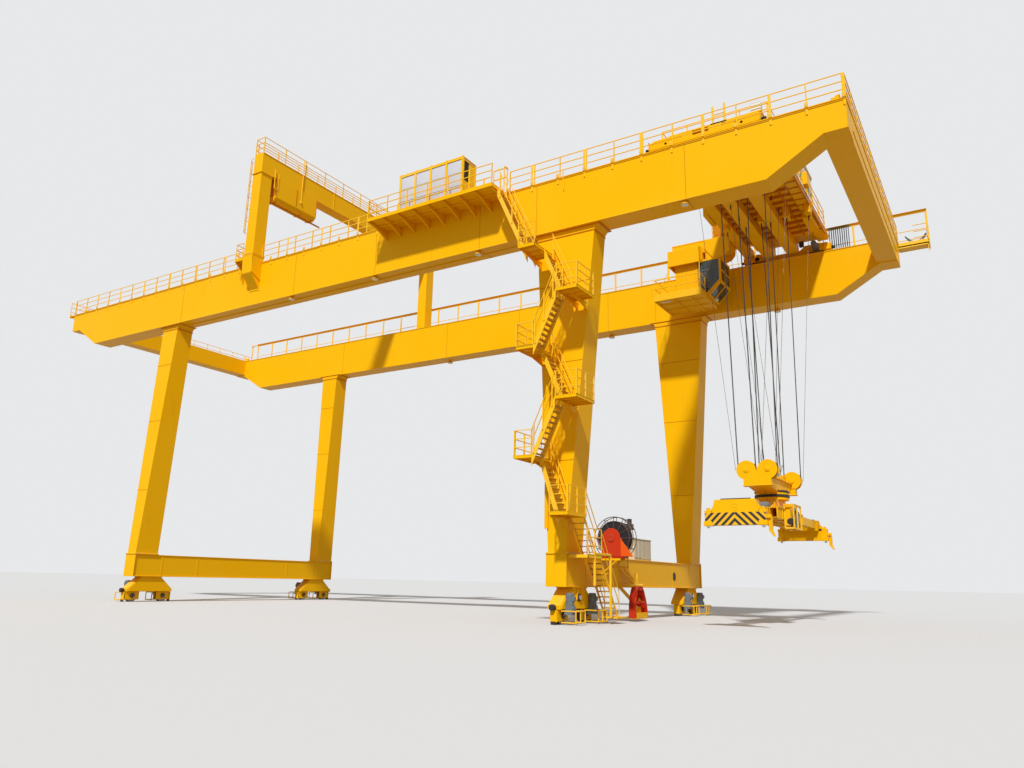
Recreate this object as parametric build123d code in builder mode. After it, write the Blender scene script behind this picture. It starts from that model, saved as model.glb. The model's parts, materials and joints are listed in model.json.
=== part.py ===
"""A rail-mounted container gantry crane, modelled at half of its real size.

X runs along the two main girders, Y along the ground rails, Z up. The origin is at rail
level, midway between the four legs. Every size is the real one in metres, times M.
"""
import os
from math import ceil, hypot

from build123d import *

SCALE = 0.5                        # model length for one length of the real crane
M = 1000 * SCALE                   # millimetres of model for one metre of the real crane

# clearances, in millimetres of the model
SEAT = 0.3                         # between a moving piece and the face that carries it
RUN = 6.0                          # between a moving piece and everything else
PIN_FIT = 0.3                      # between a pin and its bore

# main girders
TROLLEY_GAUGE = 15.20 * M          # between the rails on the two girders
GIRDER_LEFT = 26.90 * M            # left tip, from the middle of the portal
GIRDER_RIGHT = 28.00 * M           # right tip, from the middle of the portal
GIRDER_TOP = 20.70 * M
GIRDER_DEPTH = 2.74 * M
GIRDER_WIDTH = 1.21 * M
TIP_DEPTH = 1.34 * M
TIP_FLAT = 0.90 * M
TIP_SLOPE = 2.35 * M
FLANGE = 0.04 * M                  # thickness and overhang of the girder flanges
RAIL_HEIGHT = 0.12 * M
RAIL_HEAD = 0.08 * M
RAIL_FOOT = 0.15 * M
END_BEAM_DEPTH = 1.30 * M
END_BEAM_WIDTH = 1.05 * M

# legs and sill beams
LEG_SPACING = 30.36 * M            # between the middles of the two sill beams
LEG_BASE = 0.84 * M                # width along X at the sill beam
LEG_BASE_DEPTH = 1.54 * M
LEG_TOP_DEPTH = 1.14 * M
LEG_TOP_INSET = 0.18 * M           # outer face of the leg head, in from the girder's
RIGHT_LEG_TOP = 3.03 * M
RIGHT_LEG_LEAN = 0.13 * M          # head of the right leg, outwards from its foot
LEFT_LEG_TOP = 1.55 * M
LEFT_LEG_LEAN = -0.29 * M
CAP_HEIGHT = 0.30 * M              # between the leg head and the girder
CAP_HAUNCH = 0.28 * M
SILL_LENGTH = 16.94 * M
SILL_TOP = 2.87 * M
SILL_HEIGHT = 1.32 * M
SILL_WIDTH = 0.84 * M

# bogies and their wheels
BOGIE_OFFSET = 1.37 * M            # bogie middle, in from the end of the sill beam
WHEEL_BASE = 2.10 * M
WHEEL_RADIUS = 0.38 * M            # over the flanges
WHEEL_TREAD = 0.34 * M
WHEEL_WIDTH = 0.20 * M
WHEEL_FLANGE = 0.03 * M
AXLE_RADIUS = 0.06 * M
CHEEK = 0.05 * M
CHEEK_LENGTH = 0.90 * M
CHEEK_BOTTOM = 0.14 * M
TRUCK_TOP = 0.62 * M
BALANCE_LENGTH = 3.10 * M
BALANCE_EDGE = 0.16 * M
BALANCE_NECK = 1.30 * M
BALANCE_WIDTH = 0.62 * M
MOTOR_RADIUS = 0.17 * M
MOTOR_HEIGHT = 0.44 * M
GEARBOX = 0.34 * M

# walkways and railings
RAILING_HEIGHT = 1.10 * M
POST = 0.05 * M
RAIL_TUBE = 0.035 * M
NEAR_POST_PITCH = 1.445 * M
FAR_POST_PITCH = 1.95 * M
WALKWAY_WIDTH = 0.80 * M
DECK = 0.05 * M
FESTOON_HEIGHT = 2.10 * M          # track over the far walkway
FESTOON_BEAM = 0.14 * M
FESTOON_OVERHANG = 1.60 * M        # past the right tip of the girder
FESTOON_START = 24.30 * M
FESTOON_PITCH = 0.15 * M
FESTOON_LOOPS = 8
FESTOON_DROP = 1.45 * M
FESTOON_CABLE = 0.05 * M

# electrical house and its platform, outside the near girder
HOUSE_DECK_LEFT = 4.15 * M
HOUSE_DECK_LENGTH = 8.05 * M
HOUSE_DECK_WIDTH = 1.60 * M
HOUSE_DECK_TOP = 20.44 * M
HOUSE_DECK_DEPTH = 0.12 * M
HOUSE_BRACKETS = 9
BRACKET_DEPTH = 0.60 * M
BRACKET_PLATE = 0.05 * M
HOUSE_LEFT = 5.93 * M
HOUSE_LENGTH = 4.17 * M
HOUSE_DEPTH = 1.12 * M
HOUSE_HEIGHT = 2.26 * M
HOUSE_BAYS = 4
HOUSE_FRAME = 0.10 * M
PANEL_INSET = 0.03 * M

# zigzag stair on the near right leg
STAIR_WIDTH = 0.75 * M
LANE_GAP = 0.15 * M
STAIR_WALL_GAP = 0.08 * M          # between the stair and the foot of the leg's front face
LANDING_TOP_LEVEL = 16.60 * M
LANDING_RISE = 2.42 * M
LANDING_COUNT = 6
LEFT_LANDING = (14.00 * M, 14.90 * M)
RIGHT_LANDING = (16.00 * M, 17.05 * M)
LAST_LANDING = (15.75 * M, 16.65 * M)
LANDING_DEPTH = 0.10 * M
TREAD_RISE = 0.24 * M
TREAD_DEPTH = 0.19 * M
TREAD_THICKNESS = 0.03 * M
STRINGER = 0.20 * M
STRINGER_PLATE = 0.03 * M
STAIR_POST = 0.12 * M

# stair from the foot of the leg to the ground
BASE_DECK_Y = (-8.40 * M, -7.05 * M)
BASE_DECK_WIDTH = 1.05 * M
BASE_LANE = (15.90 * M, 16.55 * M)
BASE_STAIR_END = -5.25 * M
BASE_STAIR_FOOT = 0.30 * M

# service portal over the two girders
PORTAL_X = -6.50 * M
PORTAL_WIDTH = 0.80 * M
PORTAL_COLUMN_DEPTH = 0.84 * M
PORTAL_COLUMN_Y = 8.50 * M
PORTAL_UNDERSIDE = 26.70 * M
PORTAL_BEAM_DEPTH = 1.30 * M
PORTAL_SOCKET = 1.80 * M
HOIST_BOX_Y = (-7.70 * M, -4.20 * M)
HOIST_BOX_DEPTH = 1.55 * M
HOIST_BOX_WIDTH = 0.95 * M

# trolley
TROLLEY_X = 22.05 * M
TROLLEY_WHEEL_BASE = 3.45 * M
TROLLEY_WHEEL_RADIUS = 0.34 * M
TRUCK_LENGTH = 5.00 * M
TRUCK_BEAM_WIDTH = 0.40 * M
CROSS_BEAM_WIDTH = 0.60 * M
CROSS_BEAM_BOTTOM = 21.02 * M
MAIN_CROSS_BEAMS = (-0.90 * M, 0.45 * M)       # from the middle of the trolley
END_BEAM_INSET = 0.35 * M          # middle of the outer cross beams, in from the end of the truck
OUTER_BEAM_DEPTH = 0.34 * M
ROPE_BLOCK = (0.30 * M, 0.50 * M)  # carries a rope end under the deck
TROLLEY_DECK_Y = 6.20 * M
TROLLEY_DECK_TOP = 21.75 * M
TROLLEY_DECK_THICKNESS = 0.08 * M
TROLLEY_DECK_LENGTH = 4.90 * M
MACHINE_HOUSE_X = 4.40 * M
MACHINE_HOUSE_Y = (-1.50 * M, 4.60 * M)
MACHINE_HOUSE_HEIGHT = 2.45 * M

# operator's cabin, hung from the left side of the trolley
CABIN_X = (16.20 * M, 18.95 * M)
CABIN_Y = (4.30 * M, 6.10 * M)
CABIN_FLOOR = 18.25 * M
CABIN_HEIGHT = 2.25 * M
CABIN_DECK_X = (15.20 * M, 19.05 * M)
CABIN_DECK_Y = (3.30 * M, 6.30 * M)
CABIN_WALL = 0.06 * M
HANGER_INSET = (0.10 * M, 0.60 * M)    # hanger's arm inside the cabin's walls
HANGER_DEPTH = 0.75 * M
HANGER_BACK = 0.20 * M
HANGER_LENGTH = 1.70 * M
HANGER_POST = 0.90 * M
HANGER_EDGE = 0.10 * M
HANGER_DROP = 0.45 * M

# hoist, headblock and spreader
LOAD_X = 22.19 * M
SHEAVE_Y = 2.30 * M
SHEAVE_X = 0.48 * M
SHEAVE_Z = 6.86 * M
EAR_RADIUS = 0.44 * M
SHEAVE_RADIUS = 0.36 * M
EAR_PLATE = 0.04 * M
EAR_GAP = 0.30 * M
ROPE = 0.035 * M
ROPE_TOPS = (0.25 * M, 1.10 * M)   # rope ends under the trolley, from the middle of the load
SLEW_RADIUS = 0.77 * M
SLEW_TOP = 5.98 * M
SPREADER_HALF = 6.096 * M          # corner castings of a forty foot box, from its middle
SPREADER_WIDTH = 2.259 * M         # between the corner castings across the box
SPREADER_UNDER = 4.12 * M
ARM_STROKE = 3.067 * M             # from forty to twenty foot boxes
MAIN_HALF = 2.45 * M
TUBE_WIDTH = 0.34 * M
TUBE_HEIGHT = 0.46 * M
TUBE_WALL = 0.025 * M
TUBE_NEAR_X = 0.62 * M
TUBE_FAR_X = 0.24 * M
ARM_INNER = 0.95 * M               # inner end of the arm beams when they are out
END_BEAM_HEIGHT = 0.50 * M
END_BEAM_THICKNESS = 0.30 * M
PUMP_BOX_Y = (-1.00 * M, 0.10 * M)     # hydraulic box on the right side of the spreader's frame
PUMP_BOX_Z = (4.45 * M, 5.35 * M)
PUMP_BOX_DEPTH = 0.22 * M

# cable reel and its neighbours on the right sill beam
REEL_X = 16.20 * M
REEL_Y = -4.75 * M
REEL_Z = 3.72 * M
REEL_RADIUS = 0.99 * M
REEL_DRUM = 0.76 * M
REEL_WIDTH = 0.36 * M

# places that follow from the sizes above
GIRDER_BOTTOM = GIRDER_TOP - GIRDER_DEPTH
GIRDER_Y = TROLLEY_GAUGE / 2
GIRDER_OUT = GIRDER_Y + GIRDER_WIDTH / 2
GIRDER_IN = GIRDER_Y - GIRDER_WIDTH / 2
GIRDER_LENGTH = GIRDER_LEFT + GIRDER_RIGHT
LEG_TOP = GIRDER_BOTTOM - CAP_HEIGHT
SILL_BOTTOM = SILL_TOP - SILL_HEIGHT
SILL_HALF = SILL_LENGTH / 2
SIDES = ((1, "right"), (-1, "left"))
ENDS = ((-1, "near"), (1, "far"))

os.makedirs("parts", exist_ok=True)


def save(builder, name):
    """Label a finished piece and write it to its own file."""
    builder.part.label = name
    export_step(builder.part, f"parts/{name}.step")


def block(x0, x1, y0, y1, z0, z1, mode=Mode.ADD):
    """Extrude a rectangle, given by its corners, between two heights."""
    with BuildSketch(Plane.XY.offset(z0)) as outline:
        with Locations(((x0 + x1) / 2, (y0 + y1) / 2)):
            Rectangle(abs(x1 - x0), abs(y1 - y0))
    extrude(outline.sketch, amount=z1 - z0, mode=mode)


def profile_y(points, y0, y1, mode=Mode.ADD):
    """Extrude a polygon of (x, z) points from y0 to y1."""
    with BuildSketch(Plane.XZ.offset(-y0)) as outline:
        with BuildLine():
            Polyline(*points, close=True)
        make_face()
    extrude(outline.sketch, amount=-(y1 - y0), mode=mode)


def profile_x(points, x0, x1, mode=Mode.ADD):
    """Extrude a polygon of (y, z) points from x0 to x1."""
    with BuildSketch(Plane.YZ.offset(x0)) as outline:
        with BuildLine():
            Polyline(*points, close=True)
        make_face()
    extrude(outline.sketch, amount=x1 - x0, mode=mode)


def rod_x(y, z, radius, x0, x1, mode=Mode.ADD):
    """Add a round bar along X."""
    with BuildSketch(Plane.YZ.offset(x0)) as outline:
        with Locations((y, z)):
            Circle(radius)
    extrude(outline.sketch, amount=x1 - x0, mode=mode)


def rod_y(x, z, radius, y0, y1, mode=Mode.ADD):
    """Add a round bar along Y."""
    with BuildSketch(Plane.XZ.offset(-y0)) as outline:
        with Locations((x, z)):
            Circle(radius)
    extrude(outline.sketch, amount=-(y1 - y0), mode=mode)


def posts_along(start, end, pitch):
    """Places of posts between two ends, at about the given pitch."""
    bays = max(1, round((end - start) / pitch))
    return [start + (end - start) * n / bays for n in range(bays + 1)]


def bars_x(places, width, height, x0, x1):
    """Bars along X through a list of (y, z) places."""
    with BuildSketch(Plane.YZ.offset(x0)) as section:
        with Locations(*places):
            Rectangle(width, height)
    extrude(section.sketch, amount=x1 - x0)


def bars_y(places, width, height, y0, y1):
    """Bars along Y through a list of (x, z) places."""
    with BuildSketch(Plane.XZ.offset(-y0)) as section:
        with Locations(*places):
            Rectangle(width, height)
    extrude(section.sketch, amount=-(y1 - y0))


def bars_z(places, width, depth, z0, z1):
    """Bars along Z through a list of (x, y) places."""
    with BuildSketch(Plane.XY.offset(z0)) as section:
        with Locations(*places):
            Rectangle(width, depth)
    extrude(section.sketch, amount=z1 - z0)


def bar(start, end, radius):
    """A round bar from one point to another."""
    path = Vector(*end) - Vector(*start)
    with BuildSketch(Plane(origin=start, z_dir=path)) as section:
        Circle(radius)
    extrude(section.sketch, amount=path.length)


def railing_x(x0, x1, y, foot, pitch, height=RAILING_HEIGHT, rails=3, side=1):
    """Railing along X: posts with their rails on the side that y grows to, or the other."""
    places = [(x, y + side * POST / 2) for x in posts_along(x0 + POST / 2, x1 - POST / 2, pitch)]
    bars_z(places, POST, POST, foot, foot + height)
    levels = [foot + height * (n + 1) / rails - RAIL_TUBE / 2 for n in range(rails)]
    bars_x([(y + side * RAIL_TUBE / 2, z) for z in levels], RAIL_TUBE, RAIL_TUBE, x0, x1)


def railing_y(y0, y1, x, foot, pitch, height=RAILING_HEIGHT, rails=3, side=1):
    """Railing along Y, made as railing_x makes its own."""
    places = [(x + side * POST / 2, y) for y in posts_along(y0 + POST / 2, y1 - POST / 2, pitch)]
    bars_z(places, POST, POST, foot, foot + height)
    levels = [foot + height * (n + 1) / rails - RAIL_TUBE / 2 for n in range(rails)]
    bars_y([(x + side * RAIL_TUBE / 2, z) for z in levels], RAIL_TUBE, RAIL_TUBE, y0, y1)


def stringers(run0, level0, run1, level1, lane0, lane1, along_x=True):
    """The two side plates of a straight flight; those along Y end level on a floor."""
    drop = STRINGER * hypot(level1 - level0, run1 - run0) / abs(run1 - run0)
    outline = [(run0, level0), (run1, level1), (run1, level1 - drop), (run0, level0 - drop)]
    if not along_x:
        outline[3] = (run0 + (run1 - run0) * drop / (level1 - level0), level0)
    make = profile_y if along_x else profile_x
    make(outline, lane0, lane0 + STRINGER_PLATE)
    make(outline, lane1 - STRINGER_PLATE, lane1)


def treads(run0, level0, run1, level1, lane0, lane1, along_x=True):
    """The treads of a straight flight, each a slab between the two side plates."""
    drop = STRINGER * hypot(level1 - level0, run1 - run0) / abs(run1 - run0)
    steps = max(2, ceil((level1 - level0) / TREAD_RISE))
    places = []
    for n in range(1, steps):
        level = level0 + (level1 - level0) * n / steps - drop / 3
        places.append((run0 + (run1 - run0) * n / steps, level))
    make = bars_y if along_x else bars_x
    make(places, TREAD_DEPTH, TREAD_THICKNESS, lane0 + STRINGER_PLATE, lane1 - STRINGER_PLATE)


# Girders: box beams with cut-up tips and flanges
def girder_outline():
    """Side view of a girder."""
    left = -GIRDER_LEFT
    right = GIRDER_RIGHT
    tip = GIRDER_TOP - TIP_DEPTH
    return [
        (left, GIRDER_TOP),
        (left, tip),
        (left + TIP_FLAT, tip),
        (left + TIP_FLAT + TIP_SLOPE, GIRDER_BOTTOM),
        (right - TIP_FLAT - TIP_SLOPE, GIRDER_BOTTOM),
        (right - TIP_FLAT, tip),
        (right, tip),
        (right, GIRDER_TOP),
    ]


with BuildPart() as girders:
    for end, name in ENDS:
        low, high = sorted((end * GIRDER_IN, end * GIRDER_OUT))
        profile_y(girder_outline(), low, high)
        block(-GIRDER_LEFT, GIRDER_RIGHT, low - FLANGE, high + FLANGE, GIRDER_TOP - FLANGE, GIRDER_TOP)
save(girders, "main_girders")

with BuildPart() as rails:
    foot = RAIL_HEIGHT / 5
    for end, name in ENDS:
        half_rail = [(RAIL_FOOT / 2, 0), (RAIL_FOOT / 2, foot), (RAIL_HEAD / 6, 2 * foot),
                     (RAIL_HEAD / 6, 3 * foot), (RAIL_HEAD / 2, 3.4 * foot), (RAIL_HEAD / 2, RAIL_HEIGHT)]
        outline = [(end * GIRDER_Y + y, GIRDER_TOP + z) for y, z in half_rail]
        outline += [(end * GIRDER_Y - y, GIRDER_TOP + z) for y, z in reversed(half_rail)]
        profile_x(outline, -GIRDER_LEFT, GIRDER_RIGHT)
save(rails, "trolley_rails")

# End beams between the girder tips, and a walkway along the outside of each
with BuildPart() as end_beams:
    for side, name in SIDES:
        tip = GIRDER_RIGHT if side > 0 else -GIRDER_LEFT
        low, high = sorted((tip, tip - side * END_BEAM_WIDTH))
        block(low, high, -GIRDER_IN, GIRDER_IN, GIRDER_TOP - END_BEAM_DEPTH, GIRDER_TOP - FLANGE)
        block(low, high, -GIRDER_IN + FLANGE, GIRDER_IN - FLANGE, GIRDER_TOP - FLANGE, GIRDER_TOP)
save(end_beams, "end_beams")

with BuildPart() as end_walkways:
    for side, name in SIDES:
        tip = GIRDER_RIGHT if side > 0 else -GIRDER_LEFT
        edge = tip + side * WALKWAY_WIDTH
        far = GIRDER_OUT - RUN if side > 0 else GIRDER_OUT
        block(min(tip, edge), max(tip, edge), -GIRDER_OUT, far, GIRDER_TOP - DECK, GIRDER_TOP)
        railing_y(-GIRDER_OUT, far, edge - side * POST, GIRDER_TOP, NEAR_POST_PITCH, side=side)
        for y in posts_along(-GIRDER_OUT + BRACKET_PLATE, GIRDER_OUT - 2 * BRACKET_PLATE, 2.7 * M):
            profile_y([(tip, GIRDER_TOP - DECK), (edge, GIRDER_TOP - DECK),
                       (tip, GIRDER_TOP - TIP_DEPTH / 2)], y, y + BRACKET_PLATE)
save(end_walkways, "end_walkways")

# Legs: tapered boxes from the sill beam to a haunched cap under the girder
for side, name in SIDES:
    top_width = RIGHT_LEG_TOP if side > 0 else LEFT_LEG_TOP
    lean = RIGHT_LEG_LEAN if side > 0 else LEFT_LEG_LEAN
    foot_x = side * LEG_SPACING / 2
    head_x = foot_x + side * lean
    half = top_width / 2
    with BuildPart() as legs:
        for end, end_name in ENDS:
            foot_y = end * (SILL_HALF - LEG_BASE_DEPTH / 2)
            head_y = end * (GIRDER_OUT - LEG_TOP_INSET - LEG_TOP_DEPTH / 2)
            with BuildSketch(Plane.XY.offset(SILL_TOP)) as foot_face:
                with Locations((foot_x, foot_y)):
                    Rectangle(LEG_BASE, LEG_BASE_DEPTH)
            with BuildSketch(Plane.XY.offset(LEG_TOP)) as head_face:
                with Locations((head_x, head_y)):
                    Rectangle(top_width, LEG_TOP_DEPTH)
            loft(sections=[foot_face.sketch, head_face.sketch])
            with BuildSketch(Plane.XZ.offset(-(head_y - LEG_TOP_DEPTH / 2))) as cap:
                with BuildLine():
                    Line((head_x - half, LEG_TOP), (head_x + half, LEG_TOP))
                    RadiusArc((head_x + half, LEG_TOP), (head_x + half + CAP_HAUNCH, GIRDER_BOTTOM),
                              hypot(CAP_HAUNCH, CAP_HEIGHT))
                    Line((head_x + half + CAP_HAUNCH, GIRDER_BOTTOM),
                         (head_x - half - CAP_HAUNCH, GIRDER_BOTTOM))
                    RadiusArc((head_x - half - CAP_HAUNCH, GIRDER_BOTTOM), (head_x - half, LEG_TOP),
                              hypot(CAP_HAUNCH, CAP_HEIGHT))
                make_face()
            extrude(cap.sketch, amount=-LEG_TOP_DEPTH)
    save(legs, f"legs_{name}")

# Sill beams
with BuildPart() as sills:
    for side, name in SIDES:
        x = side * LEG_SPACING / 2
        block(x - SILL_WIDTH / 2, x + SILL_WIDTH / 2, -SILL_HALF, SILL_HALF, SILL_BOTTOM, SILL_TOP)
        for y in (-SILL_HALF, SILL_HALF - FLANGE):
            block(x - SILL_WIDTH / 2 - FLANGE, x + SILL_WIDTH / 2 + FLANGE, y, y + FLANGE,
                  SILL_BOTTOM, SILL_TOP)
save(sills, "sill_beams")

# Bogies: a balance beam with two wheel trucks
CORNERS = []
for side, name in SIDES:
    for end, end_name in ENDS:
        CORNERS.append((side, side * LEG_SPACING / 2, end * (SILL_HALF - BOGIE_OFFSET)))
HALF_BASE = WHEEL_BASE / 2
WHEEL_GAP = WHEEL_WIDTH / 2 + RUN
AXLE_HALF = WHEEL_GAP + CHEEK

with BuildPart() as bogies:
    for side, x, y in CORNERS:
        profile_x([(y - BALANCE_LENGTH / 2, TRUCK_TOP), (y + BALANCE_LENGTH / 2, TRUCK_TOP),
                   (y + BALANCE_LENGTH / 2, TRUCK_TOP + BALANCE_EDGE),
                   (y + BALANCE_NECK / 2, SILL_BOTTOM), (y - BALANCE_NECK / 2, SILL_BOTTOM),
                   (y - BALANCE_LENGTH / 2, TRUCK_TOP + BALANCE_EDGE)],
                  x - BALANCE_WIDTH / 2, x + BALANCE_WIDTH / 2)
        for wheel_y in (y - HALF_BASE, y + HALF_BASE):
            for cheek_x in (x - AXLE_HALF, x + WHEEL_GAP):
                block(cheek_x, cheek_x + CHEEK, wheel_y - CHEEK_LENGTH / 2,
                      wheel_y + CHEEK_LENGTH / 2, CHEEK_BOTTOM, TRUCK_TOP)
            rod_x(wheel_y, WHEEL_RADIUS, WHEEL_RADIUS + RUN, x - WHEEL_GAP, x + WHEEL_GAP,
                  mode=Mode.SUBTRACT)
            rod_x(wheel_y, WHEEL_RADIUS, AXLE_RADIUS, x - AXLE_HALF, x + AXLE_HALF)
save(bogies, "bogies")

WHEEL_NUMBER = 0
for side, x, y in CORNERS:
    for wheel_y in (y - HALF_BASE, y + HALF_BASE):
        WHEEL_NUMBER += 1
        with BuildPart() as wheel:
            rod_x(wheel_y, WHEEL_RADIUS, WHEEL_TREAD, x - WHEEL_WIDTH / 2, x + WHEEL_WIDTH / 2)
            for face in (x - WHEEL_WIDTH / 2, x + WHEEL_WIDTH / 2 - WHEEL_FLANGE):
                rod_x(wheel_y, WHEEL_RADIUS, WHEEL_RADIUS, face, face + WHEEL_FLANGE)
            rod_x(wheel_y, WHEEL_RADIUS, AXLE_RADIUS + PIN_FIT, x - WHEEL_WIDTH / 2,
                  x + WHEEL_WIDTH / 2, mode=Mode.SUBTRACT)
        save(wheel, f"gantry_wheel_{WHEEL_NUMBER}")

with BuildPart() as gearmotors:
    for side, x, y in CORNERS:
        face = x + side * BALANCE_WIDTH / 2
        for motor_y in (y - HALF_BASE, y + HALF_BASE):
            block(min(face, face + side * GEARBOX), max(face, face + side * GEARBOX),
                  motor_y - GEARBOX / 2, motor_y + GEARBOX / 2,
                  TRUCK_TOP - GEARBOX / 2, TRUCK_TOP + GEARBOX / 2)
            with BuildSketch(Plane.XY.offset(TRUCK_TOP + GEARBOX / 2)) as can:
                with Locations((face + side * GEARBOX / 2, motor_y)):
                    Circle(MOTOR_RADIUS)
            extrude(can.sketch, amount=MOTOR_HEIGHT)
save(gearmotors, "travel_gearmotors")

# Railing on the outer edge of the near girder; it leaves the portal and the platform free
PORTAL_LOW = PORTAL_X - PORTAL_WIDTH / 2
PORTAL_HIGH = PORTAL_X + PORTAL_WIDTH / 2
HOUSE_DECK_RIGHT = HOUSE_DECK_LEFT + HOUSE_DECK_LENGTH
with BuildPart() as near_railing:
    for x0, x1 in ((-GIRDER_LEFT, PORTAL_LOW - RUN), (PORTAL_HIGH + RUN, HOUSE_DECK_LEFT - RUN),
                   (HOUSE_DECK_RIGHT + RUN, GIRDER_RIGHT)):
        railing_x(x0, x1, -GIRDER_OUT - FLANGE, GIRDER_TOP, NEAR_POST_PITCH)
save(near_railing, "girder_railing_near")

# Far walkway with the cable track on tall posts; the portal column passes through its deck
FAR_IN = GIRDER_OUT + FLANGE
FAR_OUT = FAR_IN + WALKWAY_WIDTH
TRACK_Z = GIRDER_TOP + FESTOON_HEIGHT
TRACK_END = GIRDER_RIGHT + FESTOON_OVERHANG
with BuildPart() as far_walk:
    block(-GIRDER_LEFT, TRACK_END, FAR_IN, FAR_OUT, GIRDER_TOP - DECK, GIRDER_TOP)
    block(PORTAL_LOW, PORTAL_HIGH, FAR_IN, PORTAL_COLUMN_Y + PORTAL_COLUMN_DEPTH / 2,
          GIRDER_TOP - DECK, GIRDER_TOP, mode=Mode.SUBTRACT)
    xs = posts_along(-GIRDER_LEFT + POST / 2, TRACK_END - POST / 2, FAR_POST_PITCH)
    bars_z([(x, FAR_OUT - POST / 2) for x in xs], POST, POST, GIRDER_TOP, TRACK_Z)
    bars_x([(FAR_OUT - RAIL_TUBE / 2, GIRDER_TOP + RAILING_HEIGHT * n / 2) for n in (1, 2)],
           RAIL_TUBE, RAIL_TUBE, -GIRDER_LEFT, TRACK_END)
    bars_x([(FAR_OUT - POST / 2, TRACK_Z + FESTOON_BEAM / 2)], POST, FESTOON_BEAM,
           -GIRDER_LEFT, TRACK_END)
save(far_walk, "festoon_walkway")

with BuildPart() as festoon:
    for n in range(FESTOON_LOOPS):
        x = FESTOON_START + FESTOON_PITCH * n
        drop = FESTOON_DROP + FESTOON_DROP * 0.04 * (n % 3)
        block(x, x + FESTOON_CABLE, FAR_OUT - POST - 2 * FESTOON_CABLE, FAR_OUT - POST, TRACK_Z - drop,
              TRACK_Z + FESTOON_BEAM)
save(festoon, "festoon_cables")

# Electrical house on its bracketed platform
DECK_FRONT = -GIRDER_OUT - HOUSE_DECK_WIDTH
HOUSE_BACK = -GIRDER_OUT - FLANGE
HOUSE_FRONT = HOUSE_BACK - HOUSE_DEPTH
HOUSE_RIGHT = HOUSE_LEFT + HOUSE_LENGTH
HOUSE_ROOF = HOUSE_DECK_TOP + HOUSE_HEIGHT
with BuildPart() as house_deck:
    under = HOUSE_DECK_TOP - HOUSE_DECK_DEPTH
    block(HOUSE_DECK_LEFT, HOUSE_DECK_RIGHT, DECK_FRONT, -GIRDER_OUT, under, HOUSE_DECK_TOP)
    for x in posts_along(HOUSE_DECK_LEFT + BRACKET_PLATE, HOUSE_DECK_RIGHT - BRACKET_PLATE,
                         HOUSE_DECK_LENGTH / (HOUSE_BRACKETS - 1)):
        profile_x([(-GIRDER_OUT, under), (DECK_FRONT, under), (-GIRDER_OUT, under - BRACKET_DEPTH)],
                  x - BRACKET_PLATE / 2, x + BRACKET_PLATE / 2)
save(house_deck, "house_platform")

with BuildPart() as house:
    block(HOUSE_LEFT, HOUSE_RIGHT, HOUSE_FRONT, HOUSE_BACK, HOUSE_DECK_TOP, HOUSE_ROOF)
    bay = (HOUSE_LENGTH - HOUSE_FRAME) / HOUSE_BAYS
    for n in range(HOUSE_BAYS):
        x = HOUSE_LEFT + HOUSE_FRAME + n * bay
        block(x, x + bay - HOUSE_FRAME, HOUSE_FRONT, HOUSE_FRONT + PANEL_INSET,
              HOUSE_DECK_TOP + HOUSE_FRAME, HOUSE_ROOF - HOUSE_FRAME, mode=Mode.SUBTRACT)
    block(HOUSE_RIGHT - PANEL_INSET, HOUSE_RIGHT, HOUSE_FRONT + HOUSE_FRAME, HOUSE_BACK - HOUSE_FRAME,
          HOUSE_DECK_TOP + HOUSE_FRAME, HOUSE_ROOF - HOUSE_FRAME, mode=Mode.SUBTRACT)
save(house, "electrical_house")

with BuildPart() as house_railing:
    railing_x(HOUSE_DECK_LEFT, HOUSE_DECK_RIGHT, DECK_FRONT, HOUSE_DECK_TOP, 1.34 * M)
    railing_y(DECK_FRONT + POST, -GIRDER_OUT - 2 * POST, HOUSE_DECK_LEFT, HOUSE_DECK_TOP, 1.3 * M)
save(house_railing, "house_railing")

# Zigzag stair: two lanes of flights between landings left and right of the leg
LANE_IN = -(SILL_HALF + STAIR_WALL_GAP)
LANE_MID = LANE_IN - STAIR_WIDTH
LANE_OUTER = LANE_MID - LANE_GAP
LANE_EDGE = LANE_OUTER - STAIR_WIDTH
LEVELS = [LANDING_TOP_LEVEL - n * LANDING_RISE for n in range(LANDING_COUNT)]
LANDINGS = [LEFT_LANDING if n % 2 == 0 else RIGHT_LANDING for n in range(LANDING_COUNT - 1)]
LANDINGS.append(LAST_LANDING)
FLIGHTS = [(LEFT_LANDING[0], LEVELS[0], HOUSE_DECK_RIGHT, HOUSE_DECK_TOP, LANE_MID, LANE_IN)]
for n in range(LANDING_COUNT - 1):
    foot, head = LANDINGS[n + 1], LANDINGS[n]
    if n % 2 == 0:
        FLIGHTS.append((foot[0], LEVELS[n + 1], head[1], LEVELS[n], LANE_MID, LANE_IN))
    else:
        FLIGHTS.append((foot[1], LEVELS[n + 1], head[0], LEVELS[n], LANE_EDGE, LANE_OUTER))
BASE_FLIGHTS = [(BASE_DECK_Y[1] - 0.3 * M, SILL_TOP, LANE_IN, LEVELS[-1], *BASE_LANE, False),
                (BASE_STAIR_END, BASE_STAIR_FOOT, BASE_DECK_Y[1], SILL_TOP, *BASE_LANE, False)]


def leg_front(level):
    """Front face and side faces of the near right leg at a level: y, left x and right x."""
    share = (LEG_TOP - level) / (LEG_TOP - SILL_TOP)
    front = -(GIRDER_OUT - LEG_TOP_INSET) - share * (SILL_HALF - GIRDER_OUT + LEG_TOP_INSET)
    half = (RIGHT_LEG_TOP + share * (LEG_BASE - RIGHT_LEG_TOP)) / 2
    middle = LEG_SPACING / 2 + RIGHT_LEG_LEAN * (1 - share)
    return front, middle - half, middle + half


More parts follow.
